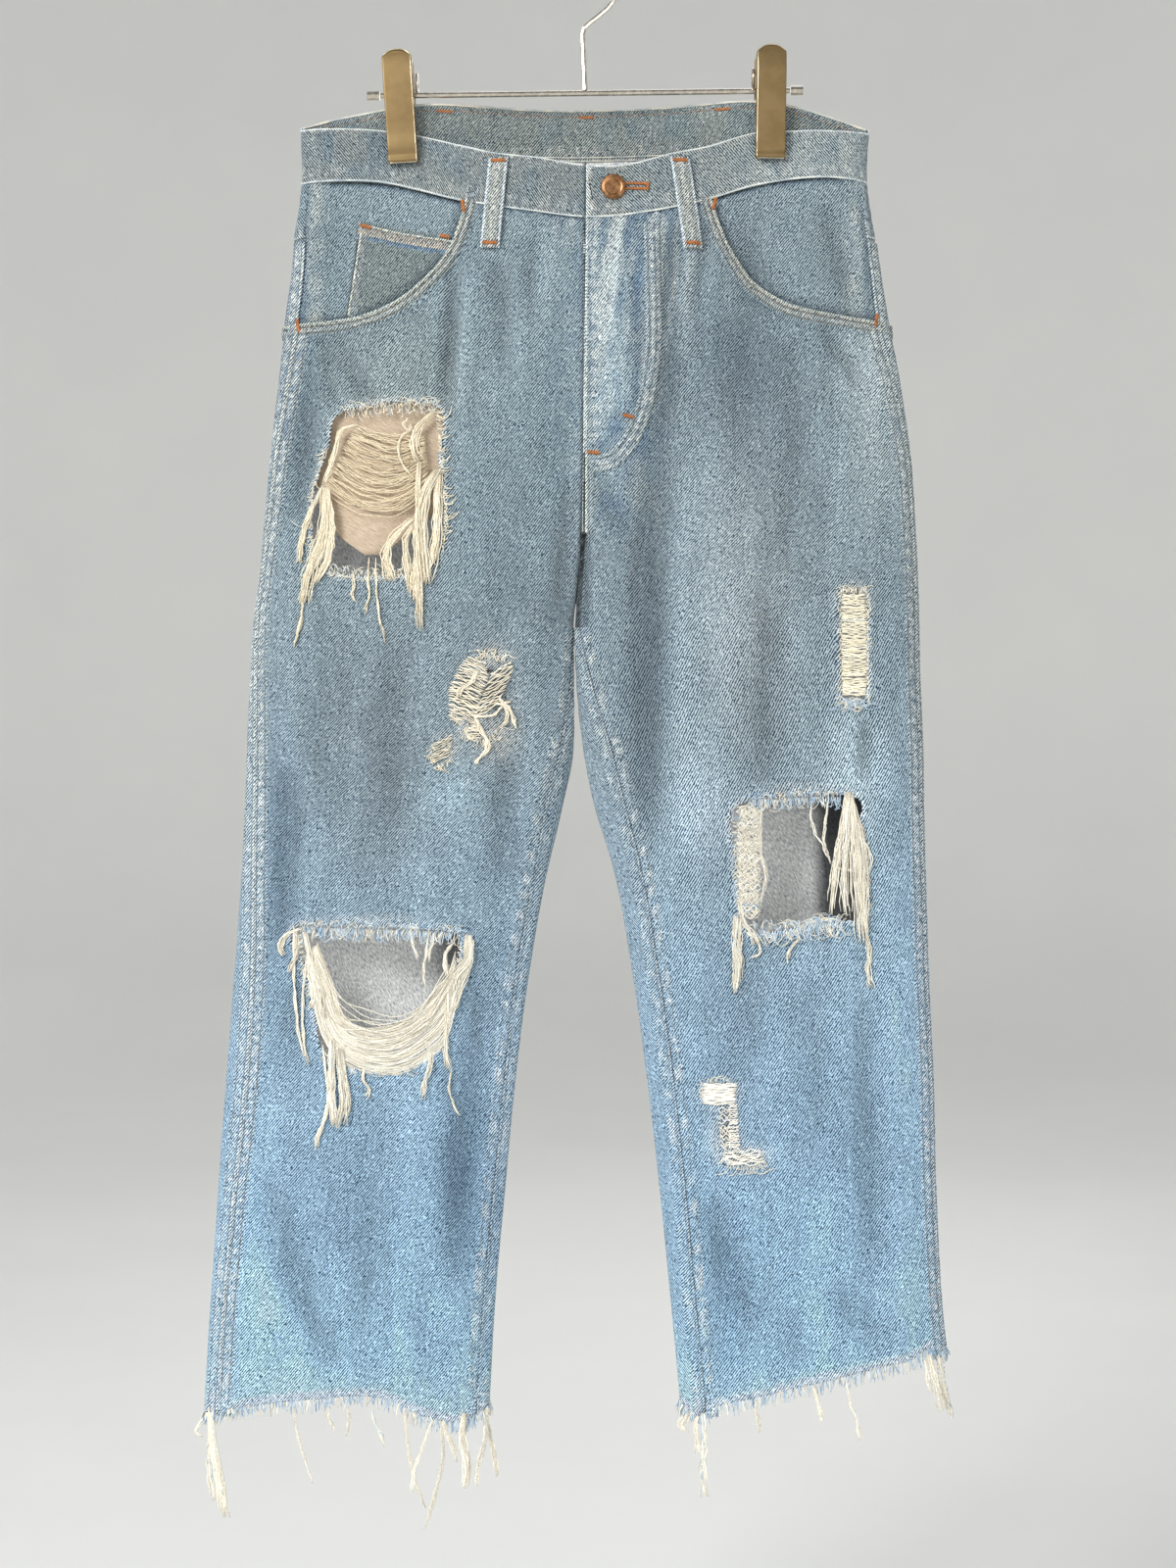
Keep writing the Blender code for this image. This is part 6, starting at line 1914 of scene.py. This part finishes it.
# Painted shadow in the gap beside the fly's edge
FLY_GAP_SHADOW = (
    (-1.8, 0.0, "#6a7782", 0.1), (-1.2, 0.14, "#07090c", 1.0), (-0.5, 0.14, "#07090c", 1.0),
    (0.0, 0.1, "#20262c", 0.8),
)
# Painted shadow in the slit between the legs below the fly
CROTCH_SLIT_SHADOW = (
    (-2.3, -0.1, "#54626d", 0.4), (-1.4, 0.2, "#07090c", 1.0), (0.0, 0.2, "#040507", 1.0),
    (1.3, 0.2, "#0a0d11", 1.0),
    (2.4, -0.1, "#54626d", 0.4),
)
J_ROWS = (
    (-3.4, -0.4, "#c4cccb", 0.0), (-2.2, 0.35, "#c4cccb", 0.35), (-0.8, 0.35, "#93a2ab", 0.3),
    (0.0, 0.1, "#2f4d69", 0.8),
    (0.8, 0.3, "#9aa9b2", 0.3), (2.4, 0.55, "#c9d0cf", 0.4), (4.0, 0.5, "#b5c1c5", 0.3),
    (5.2, 0.1, "#31506d", 0.75),
    (6.1, 0.25, "#b3bfc2", 0.4), (8.0, 0.2, "#c2cac8", 0.3), (9.5, -0.4, "#c2cac8", 0.0),
)
BAND_SHADE = (
    (-0.9, -0.1, "#2b3a47", 0.9), (0.3, 0.12, "#263745", 0.9), (1.3, 0.14, "#33495c", 0.8),
    (2.6, 0.14, "#54697c", 0.45),
    (4.5, 0.1, "#7f93a0", 0.2), (7.0, -0.35, "#8fa0a8", 0.0),
)
POCKET_EDGE = (
    (-1.7, -2.6, "#26323d", 0.6), (-0.6, -0.9, "#2d3a45", 0.9), (0.0, 0.3, "#cdd0c8", 0.9),
    (0.8, 0.75, "#dcddd4", 0.9),
    (1.6, 0.5, "#95a0a4", 0.6), (2.2, 0.2, "#516a80", 0.7), (3.0, 0.5, "#c2c9c7", 0.3),
    (5.0, 0.7, "#cdd3cf", 0.3),
    (6.6, 0.5, "#b9c3c4", 0.3), (7.3, 0.2, "#54708a", 0.7), (8.2, 0.3, "#aab6ba", 0.3),
    (9.6, -0.3, "#aab6ba", 0.0),
)


def edging(section, x, drop, place, seed, pucker=0.4, pitch=9.0):
    """A sewn edge's section drawn along it: its heights and colours swell and fade from place to place, and
    puckers about pitch mm apart cross it between its stitch rows. place(height) gives the points.
    """
    away, lift, _, strength = (np.array(column) for column in zip(*section))
    away, lift, strength = away.astype(float), lift.astype(float), strength.astype(float)
    tint = np.array([linear(row[2]) for row in section])
    run = np.cumsum(np.hypot(np.gradient(x[:, 0]), np.gradient(drop[:, 0])))[:, None]
    ripple = drift(run / 1.9, away[None] / 2.2 + 40.0, seed)
    slow = drift(run / 23.0, away[None] * 0.0, seed + 1)
    wave = np.sin(TURN * (run / pitch + 0.8 * drift(run / 17.0, 0.0 * away[None], seed + 2)) + 0.3 * away)
    middle = rise(1.6, 3.0, away) * fall(7.0, 8.6, away)
    height = lift + (0.14 * ripple + pucker * 0.5 * wave * middle) * rise(-0.5, 0.2, lift)
    colour = toward(wash_and_shade_at(x, drop), tint[None], strength * (0.82 + 0.3 * ripple + 0.14 * slow))
    colour = toward(colour, WORN_WHITE, pucker * middle * np.clip(wave, 0.0, 1.0) * (0.6 + 0.4 * slow))
    colour = toward(colour, DEEP_BLUE, pucker * 1.1 * middle * np.clip(-wave, 0.0, 1.0) * (0.6 - 0.3 * slow))
    return place(height).reshape(-1, 3), grid_quads(*x.shape), colour.reshape(-1, 3)


def edge_on_cloth(section, places, sign, base, seed, front=True, pucker=0.0, fine=2.1):
    """A sewn edge along a curve through places (x, drop), its section running to the side that sign gives."""
    away = sign * np.array([row[0] for row in section])
    x, drop = moved_line(places, away, fine)
    return edging(section, x, drop, lambda height: skin(x, drop, base + height, front), seed, pucker)


def edge_at_seam(section, leg, key, drop, seed, back=False, pucker=0.3, pitch=9.0):
    """A sewn edge along a side seam or an inseam."""
    away = np.array([row[0] for row in section])[None]
    end = float(hem_at(leg, read(leg, key, 930.0))) + 3.0
    drop = (drop[0] + (drop - drop[0]) * (min(end, drop[-1]) - drop[0]) / (drop[-1] - drop[0]))[:,
        None] + 0.0 * away
    phi = turn_beside(leg, key, away, drop, back)
    return edging(section, x_of(leg, phi, drop), drop, lambda height: cloth(leg, phi, drop, height), seed,
        pucker, pitch)


def bartack(x, drop, turn, length, height, front=True, width=2.8, seed=0):
    """A bartack: close zigzag threads across a short bar, turn degrees from level."""
    rng = np.random.default_rng(seed)
    along = np.array([np.cos(np.radians(turn)), np.sin(np.radians(turn))])
    across = np.array([-along[1], along[0]])
    s = np.arange(-length / 2, length / 2, 0.62)[:, None] + rng.normal(0, 0.1,
        (int(np.ceil(length / 0.62)), 1))
    t = np.array([-0.5, -0.2, 0.2, 0.5]) * width
    px = x + s * along[0] + t * across[0] + 0.3 * t * along[0]
    pd = drop + s * along[1] + t * across[1] + 0.3 * t * along[1]
    lift = height + np.array([0.2, 0.75, 0.75, 0.2]) + 0 * s
    points, quads = tubes(skin(px, pd, lift, front), 0.4)
    shade = np.repeat(0.75 + 0.45 * rng.uniform(0.0, 1.0, (len(s), 1)), 16, axis=0)
    return points, quads, STITCH_ORANGE * shade


def roll(low, high, radius, seed, colour):
    """A worn seam edge as an uneven cord: half way between two lines, its radius and colour drifting."""
    rng = np.random.default_rng(seed)
    count = len(low)
    step = np.arange(count)
    width = radius * (1.0 + 0.22 * drift(step / 2.3, np.zeros(count), seed) + 0.1 * rng.normal(0, 1, count))
    points, quads = tubes(0.5 * (low + high)[None], width[None])
    mix = np.repeat(0.35 + 0.35 * drift(step / 1.7, np.ones(count), seed + 1), 4)
    return points, quads, toward(np.broadcast_to(linear(colour), (4 * count, 3)), "#7e95a5", mix)


def band_line_points(share, lift, columns):
    points = band_points(np.array([share, share]), np.array([lift, lift]), columns)
    return points[:, 0]


def sewing():
    """All the stitching: pale or tan rows along edges and seams, and orange bartacks where a seam takes
    strain.
    """
    rows = []
    # Places (x, drop), height, distances aside, pitch, share filled, radius, seed
    for places, height, asides, *kind, seed in (
        (places_of(RIGHT_MOUTH), 0.9, (3.3, 7.7), 3.2, 0.66, 0.3, 3),
        (places_of(LEFT_MOUTH), 0.9, (-3.3, -7.7), 3.2, 0.66, 0.3, 3),
        ([(45, 76), *FLY_CURVE], 0.85, (0.0, 5.2), 3.3, 0.62, 0.28, 5),
        ([(3.2, 76), (3.0, 150), (2.8, 236)], 0.85, (0.0,), 3.3, 0.6, 0.28, 6),
        ([(-163, 72.5), (-150, 76), (-128, 81), (-98, 87)], -1.0, (-1.6, -6.6), 3.2, 0.62, 0.28, 7),
        ([(-164, 76), (-168, 105), (-173, 140)], -1.1, (1.6, 6.2), 3.2, 0.62, 0.27, 8),
    ):
        rows += [stitches(on_cloth(places, height, aside=d), seed, *kind) for d in asides]
    pocket = [(54, 112), (60, 200), (62, 236), (116, 266), (130, 266), (184, 236), (186, 200), (192, 112)]
    for leg in (RIGHT_LEG, LEFT_LEG):
        sign = side_of(leg)
        for seam, distance, start, height, radius, seed in (
            ("seam_out", 8.6, 150.0, 0.85, 0.27, 9), ("seam_out", 2.2, 150.0, 0.5, 0.25, 10),
            ("seam_in", 6.5, 372.0, 0.6, 0.25, 11),
        ):
            line = beside_seam(leg, seam, distance, np.arange(start, 930.0, 2.0), height)
            rows.append(stitches(line, seed, 3.4, 0.6, radius))
        for d in (2.2, 7.2):
            for a, b in zip(pocket, pocket[1:]):
                side = np.linspace(a, b, 3) * (sign, 1.0)
                rows.append(stitches(on_cloth(side, 2.7, False, aside=sign * d), 12))
        for drop, seed in ((116, 13), (121, 14)):
            rows.append(stitches(on_cloth([(sign * x, drop) for x in (56, 123, 190)], 2.7, False), seed))
        x = np.linspace(6.0, 195.0, 20) * sign
        for d in (-3.0, -8.5):
            yoke_row = np.stack([x, read(BACK_BAND, "yoke", x) + d], axis=-1)
            rows.append(stitches(on_cloth(yoke_row, 0.7, False), 15))
    for d in (-3.0, -8.0):
        rows.append(stitches(on_cloth([(d, 104), (d, 200), (d, 300), (d, 352)], 0.6, False), 16))
    outer = [column for column in band_path() if column[2] == 0.0]
    inner = [column for column in outer if column[1] > np.pi]
    for share in (0.075, 0.925):
        rows.append(stitches([band_line_points(share, lift, outer) for lift in (-0.6, 0.12)], 17))
    within = [band_line_points(0.13, -lift, inner) for lift in (BAND_WALL - 0.4, BAND_WALL + 0.3)]
    tacks = [stitches(within, 18, 4.4, 0.6, 0.42, STITCH_ORANGE)]
    for place in LOOPS:
        front = place.startswith("front")
        values = PATCH_ROWS[f"belt_loop_{place}"]
        (top, end), (l1, l2), (r1, r2) = values["drop"], values["low"], values["high"]
        for share in (0.24, 0.76):
            line = [(l1 + share * (r1 - l1), top + 6), ((l1 + l2) / 2 + share * 14, (top + end) / 2),
                (l2 + share * (r2 - l2), end - 6)]
            rows.append(stitches(on_cloth(line, 3.85, front), 19, 3.0, 0.62, 0.27, STITCH_PALE))
        for drop, low_x, high_x in ((top + 2.6, l1, r1), (end - 3.4, l2, r2)):
            tacks.append(bartack((low_x + high_x) / 2, drop, 0.0, 10.0, 3.3, front, seed=20))
    # x, drop, turn, length, height above the cloth, front
    for x, drop, turn, length, height, front in (
        (-88.5, 62, 80, 9, 1.0, True), (94, 60, 105, 9, 1.0, True), (-209, 148, 80, 9, 0.9, True),
        (212, 144, 100, 9, 0.9, True), (-160, 75, 15, 8, -0.9, True), (-102, 84, 15, 7, -0.9, True),
        (6, 243, 5, 9, 1.0, True), (31.5, 217, 10, 8, 1.0, True), (-190, 115, 60, 9, 2.8, False),
        (-57, 115, -60, 9, 2.8, False), (190, 115, -60, 9, 2.8, False), (57, 115, 60, 9, 2.8, False),
    ):
        tacks.append(bartack(x, drop, turn, length, height, front, seed=int(abs(x))))
    rows.append(stitches(on_cloth([(2.7, 42), (4.2, 52), (6.2, 62)], 1.2), 21, 3.4, 0.7, 0.45,
        DEEP_BLUE * 0.35))
    for x in (-104.0, 1.0, 102.0):
        tacks.append(bartack(x, float(read(BACK_BAND, "top", x)) + 5.5, 0.0, 10.0, -2.75, False, 2.0,
            seed=22))
    for drop, way in ((47.0, -1.0), (49.6, 1.0)):
        tacks.append(bartack(37.0, drop + way * 0.6, 1.0, 16.0, 1.0, width=2.2, seed=30))
    tacks.append(bartack(45.5, 48.3, 90.0, 5.0, 1.0, width=2.2, seed=31))
    cords = []
    for columns, lifts, share, radius, seed, colour in (
        (outer, (-1.2, 0.3), 0.012, 0.75, 40, "#dfe1da"), (outer, (-1.2, 0.3), 0.985, 0.75, 41, "#dfe1da"),
        (inner, (-2.9, -2.1), 0.02, 0.95, 50, "#ded8c6"), (inner, (-2.9, -2.1), 0.93, 0.6, 50, "#ded8c6"),
        (inner, (-2.9, -2.1), 1.0, 0.6, 50, "#ded8c6"),
    ):
        cords.append(roll(*(band_line_points(share, lift, columns) for lift in lifts), radius, seed, colour))
    piece("waistband_folds", cords, [], COTTON)
    piece("topstitching", rows, [], TOPSTITCH)
    piece("bartacks_and_buttonhole", tacks, [], BARTACK)


sewing()


def sewn_edges():
    """The raised and worn edges of seams, hems and pockets, on the front and on the back, with painted
    shadows in the gaps down the fly and the crotch and under the waistband.
    """
    front, back = [], []
    for values, sign in ((RIGHT_MOUTH, 1.0), (LEFT_MOUTH, -1.0)):
        front.append(edge_on_cloth(MOUTH_HEM, places_of(values), sign, 0.0, 81))
    front.append(edge_on_cloth(COIN_HEM, [(-164.5, 72.5), (-150, 76), (-128, 81), (-97, 87)], -1.0, -1.6, 82,
        fine=1.2))
    front.append(edge_on_cloth(COIN_SIDE, [(-163.8, 74), (-168, 105), (-173.5, 142)], 1.0, -1.6, 83,
        fine=1.2))
    fly_line = [(0.9, 73), (0.7, 150), (0.5, 244), (0.4, 300)]
    slit = [(-0.4, 299), (-1.4, 308), (-2.6, 330), (-4.0, 352), (-5.0, 369)]
    for section, line, base, seed, pucker in (
        (FLY_EDGE, fly_line, 0.2, 84, 0.0), (FLY_GAP_SHADOW, fly_line, 0.2, 97, 0.0),
        (CROTCH_SLIT_SHADOW, slit, 0.35, 98, 0.0),
        (J_ROWS, [(45, 75), *FLY_CURVE], 0.55, 85, 0.3),
    ):
        front.append(edge_on_cloth(section, line, 1.0, base, seed, pucker=pucker))
    for leg in (RIGHT_LEG, LEFT_LEG):
        sign = side_of(leg)
        front.append(edge_at_seam(FELLED_SEAM, leg, "seam_out", np.arange(150.0, 944.0, 2.3), 86,
            pucker=0.45))
        inseam = PALE_INSEAM if leg is RIGHT_LEG else DARK_INSEAM
        front.append(edge_at_seam(inseam, leg, "seam_in", np.arange(368.0, 944.0, 2.3), 87, pucker=0.4,
            pitch=19.0))
        back.append(edge_at_seam(FELLED_SEAM, leg, "seam_out", np.arange(86.0, 944.0, 4.0), 88, back=True))
        back.append(edge_at_seam(DARK_INSEAM, leg, "seam_in", np.arange(368.0, 944.0, 4.0), 89, back=True,
            pitch=19.0))
        pocket = [(54, 111), (60, 200), (62, 235), (116, 266)], [(130, 266), (184, 235), (186, 200),
            (192, 111)]
        for n, part in enumerate(pocket):
            places = [(sign * x, drop) for x, drop in part]
            back.append(edge_on_cloth(POCKET_EDGE, places, sign, 2.5, 90 + n, front=False, pucker=0.2,
                fine=3.6))
        places = [(sign * x, 111.4) for x in (52, 123, 194)]
        back.append(edge_on_cloth(MOUTH_HEM, places, -sign, 2.2, 92, front=False, fine=3.6))
        x = np.linspace(3.0, 203.0, 30) * sign
        seam = np.stack([x, read(BACK_BAND, "yoke", x)], axis=-1)
        back.append(edge_on_cloth(FELLED_SEAM, seam, sign, 0.3, 93, front=False, fine=3.6))
        inner, outer, deep = (1.0, 87.0, -2.9) if leg is RIGHT_LEG else (1.0, 91.0, -1.7)
        for side, column, start, end, base in (
            (front, FRONT_BAND, inner, outer, 0.1), (front, FRONT_BAND, outer + 2.0, 197.0, deep),
            (back, BACK_BAND, 1.0, 197.0, 0.1),
        ):
            x = np.linspace(start, end, 30) * sign
            seam = np.stack([x, read(column, "seam", x) + 0.6], axis=-1)
            side.append(edge_on_cloth(BAND_SHADE, seam, -sign, base, 94, front=side is front, fine=3.0))
    centre = [(0.3, 105), (0.3, 200), (0.3, 300), (0.2, 350)]
    back.append(edge_on_cloth(FELLED_SEAM, centre, -1.0, 0.2, 95, front=False, fine=3.6))
    # The same seam's inner ply, which closes the centre line as seen from inside the waist
    inner_ply = [(x + 4.0, drop) for x, drop in [(0.3, 62), *centre]]
    back.append(edge_on_cloth(FELLED_SEAM, inner_ply, -1.0, -1.9, 96, front=False, fine=3.6))
    for name, parts, way in (("sewn_edges_and_shadows_front", front, -1.0), ("sewn_edges_and_shadows_back", back, 1.0)):
        turned = []
        for points, quads, colours in parts:
            a, b, c, d = (points[quads[:, k]] for k in range(4))
            facing = np.cross(c - a, d - b)[:, 1].sum()
            turned.append((points, quads if facing * way > 0.0 else quads[:, ::-1], colours))
        points, quads, colours = joined(turned)
        item = build(name, points, quads, (STONEWASHED,), (0.0, way, 0.0), colour=colours,
            grain=points[:, [0, 2]])
        set_in(walled(item, 0.4, backed=False), ())


sewn_edges()

# A pressed jaw: distance below the bar, how far out its face is and how far in its flanges reach
JAW = table(
    "down face back",
    (-29, -11.2, -3.0), (-26, -12.2, -3.0), (-20, -13.4, -3.0), (6, -13.0, -4.4), (30, -10.3, -4.6),
    (44.8, -8.7, -4.8),
    (46.0, -8.1, -4.8), (47.0, -8.6, -4.8), (48.4, -9.1, -4.8), (50.4, -9.0, -4.8), (51.4, -8.2, -4.8),
)


def hung(side, lean, points):
    """Points laid out round the middle of the bar, leaned and moved to a clip's place."""
    turn = np.radians(lean)
    x, y, z = (points[..., k] for k in range(3))
    turned = np.stack([x * np.cos(turn) + z * np.sin(turn), y, z * np.cos(turn) - x * np.sin(turn)], axis=-1)
    return turned + np.array([side * CLIP_X, 0.0, BAR_Z + BAR_TILT * side * CLIP_X])


def clips():
    """Two sprung clips, each of two pressed jaws with an arched top, turned-back sides and a folded lip, with
    a painted highlight along their edges, and a ring of spring wire beside each.
    """
    bright = []
    for place, side, lean in (("right", -1.0, -3.5), ("left", 1.0, 0.5)):
        for face, way in (("front", 1.0), ("back", -1.0)):
            bend = np.radians(np.linspace(0.0, 90.0, 6))
            edge = np.stack([9.9 + 0.9 * np.sin(bend), 0.9 * (1.0 - np.cos(bend))], axis=-1)
            half = np.concatenate([[(x, 0.0) for x in np.linspace(0.0, 9.4, 6)], edge,
                [(10.8, 2.0), (10.8, 99.0)]])
            across = np.concatenate([-half[:0:-1, 0], half[:, 0]])
            inward = np.concatenate([half[:0:-1, 1], half[:, 1]])
            arch = 5.5 * (np.abs(across) / 10.8) ** 2.6
            share = np.linspace(0.0, 1.0, 50)[:, None]
            down = JAW["down"][0] + arch - 1.5 + share * (JAW["down"][-1] - JAW["down"][0] - arch + 1.5)
            out, back = read(JAW, "face", down), read(JAW, "back", down)
            y = np.minimum(out + inward + 0.12 * (across / 10.8) ** 2, back)
            points = np.stack([across + 0.0 * down, way * y, -down], axis=-1)
            item = build(f"jaw_{face}_{place}", hung(side, lean, points), grid_quads(*down.shape),
                (CLIP_METAL,), (0.0, -way, 0.0))
            set_in(walled(item, 1.0, backed=False), (f"clip_{face}_{place}",))
            inner = -side
            rim = np.concatenate([points[-1, 7:-7][:: int(inner)], points[::-1, -8 if inner > 0 else 7],
                points[0, 7:-7][:: -int(inner)]])
            rim = rim + np.array([0.0, -way * 0.15, 0.0])
            bright.append(tubes(hung(side, lean, rim)[None], 0.42))
        turn = np.linspace(0.0, TURN, 33)
        ring = np.stack([0.0 * turn, 5.9 * np.cos(turn), 9.3 + 6.3 * np.sin(turn)], axis=-1)
        ring = ring + np.array([-side * 12.6, 0.0, 0.0])
        spring = build(f"spring_ring_{place}", *tubes(hung(side, 0.0, ring)[None], 0.95), (BAR_METAL,))
        set_in(spring, (f"clip_ring_{place}",))
    starts = np.cumsum([0] + [len(points) for points, _ in bright[:-1]])
    points = np.concatenate([points for points, _ in bright])
    quads = np.concatenate([quads + start for (_, quads), start in zip(bright, starts)])
    set_in(build("jaw_edge_painted_highlights", points, quads, (EDGE_HIGHLIGHT_METAL,)), ())


clips()

for names, finish in (
    (("hanger_bar", "hanger_hook", "bar_end_left", "bar_end_right"), BAR_METAL),
    (("button",), BUTTON_METAL),
):
    for node in names:
        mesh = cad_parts[node].data
        for index in range(max(1, len(mesh.materials))):
            if len(mesh.materials):
                mesh.materials[index] = finish
            else:
                mesh.materials.append(finish)


def stage_setup():
    """A pale round floor that curves up into a far wall, soft light from the upper left front, and the
    camera.
    """
    turn = np.linspace(0.0, TURN, 97)[:-1]
    reach = np.array([0.0001, 2.6, 3.6, 4.2, 4.7, 5.0, 5.1, 5.15, 5.15])
    rise_z = np.array([0.0, 0.0, 0.03, 0.14, 0.38, 0.75, 1.2, 2.0, 5.2]) - 1.5
    floor = np.stack(
        [reach[:, None] * np.cos(turn), reach[:, None] * np.sin(turn),
            np.broadcast_to(rise_z[:, None], (9, 96))], axis=-1
    )
    paint, tree, shader = material("pale_painted_plaster", Roughness=0.9)
    where = add(tree, "TexCoord").outputs["Object"]
    mottle = add(tree, "TexNoise", {"Vector": where, "Scale": 3.0, "Detail": 3.0})
    two = {0: mottle, 6: (*linear("#eeeeec"), 1.0), 7: (*linear("#f5f5f2"), 1.0)}
    finished(paint, tree, shader, Base_Color=add(tree, "Mix", two, data_type="RGBA").outputs[2])
    backdrop = build("backdrop", floor / MM, grid_quads(9, 96, closed=True), (paint,), (0.0, 0.0, 1.0))
    lights = (
        ("key", (-1.8, -2.2, 0.9), 96.0, 1.2),
        ("fill", (1.9, -2.4, -1.1), 30.0, 1.8),
        ("rim", (0.6, 2.6, 1.2), 30.0, 1.8),
    )
    for name, place, power, size in lights:
        lamp = bpy.data.lights.new(name, "AREA")
        lamp.energy = power
        lamp.size = size
        item = bpy.data.objects.new(name, lamp)
        item.location = place
        aim = np.array([0.0, 0.0, -0.6]) - np.array(place)
        item.rotation_euler = (
            np.arctan2(np.hypot(aim[0], aim[1]), -aim[2]), 0.0, np.arctan2(-aim[0], aim[1])
        )
        item.visible_camera = False
        bpy.context.scene.collection.objects.link(item)
    world = bpy.data.worlds.new("soft_room")
    world.use_nodes = True
    sky = next(node for node in world.node_tree.nodes if node.type == "BACKGROUND")
    sky.inputs["Color"].default_value = (*linear("#f3f5f7"), 1.0)
    sky.inputs["Strength"].default_value = 0.36
    bpy.context.scene.world = world
    lens = bpy.data.cameras.new("camera")
    lens.lens = 50.0
    lens.sensor_width = 36.0
    camera = bpy.data.objects.new("camera", lens)
    camera.location = (0.00216, -1.6, -0.6124)
    camera.rotation_euler = (np.pi / 2.0, 0.0, 0.0)
    bpy.context.scene.collection.objects.link(camera)
    bpy.context.scene.camera = camera
    bpy.context.scene.view_settings.view_transform = "Standard"
    # The weave is as fine as the render can show, and a smoothed colour pass would wipe it out
    bpy.context.scene.cycles.denoising_prefilter = "NONE"


stage_setup()
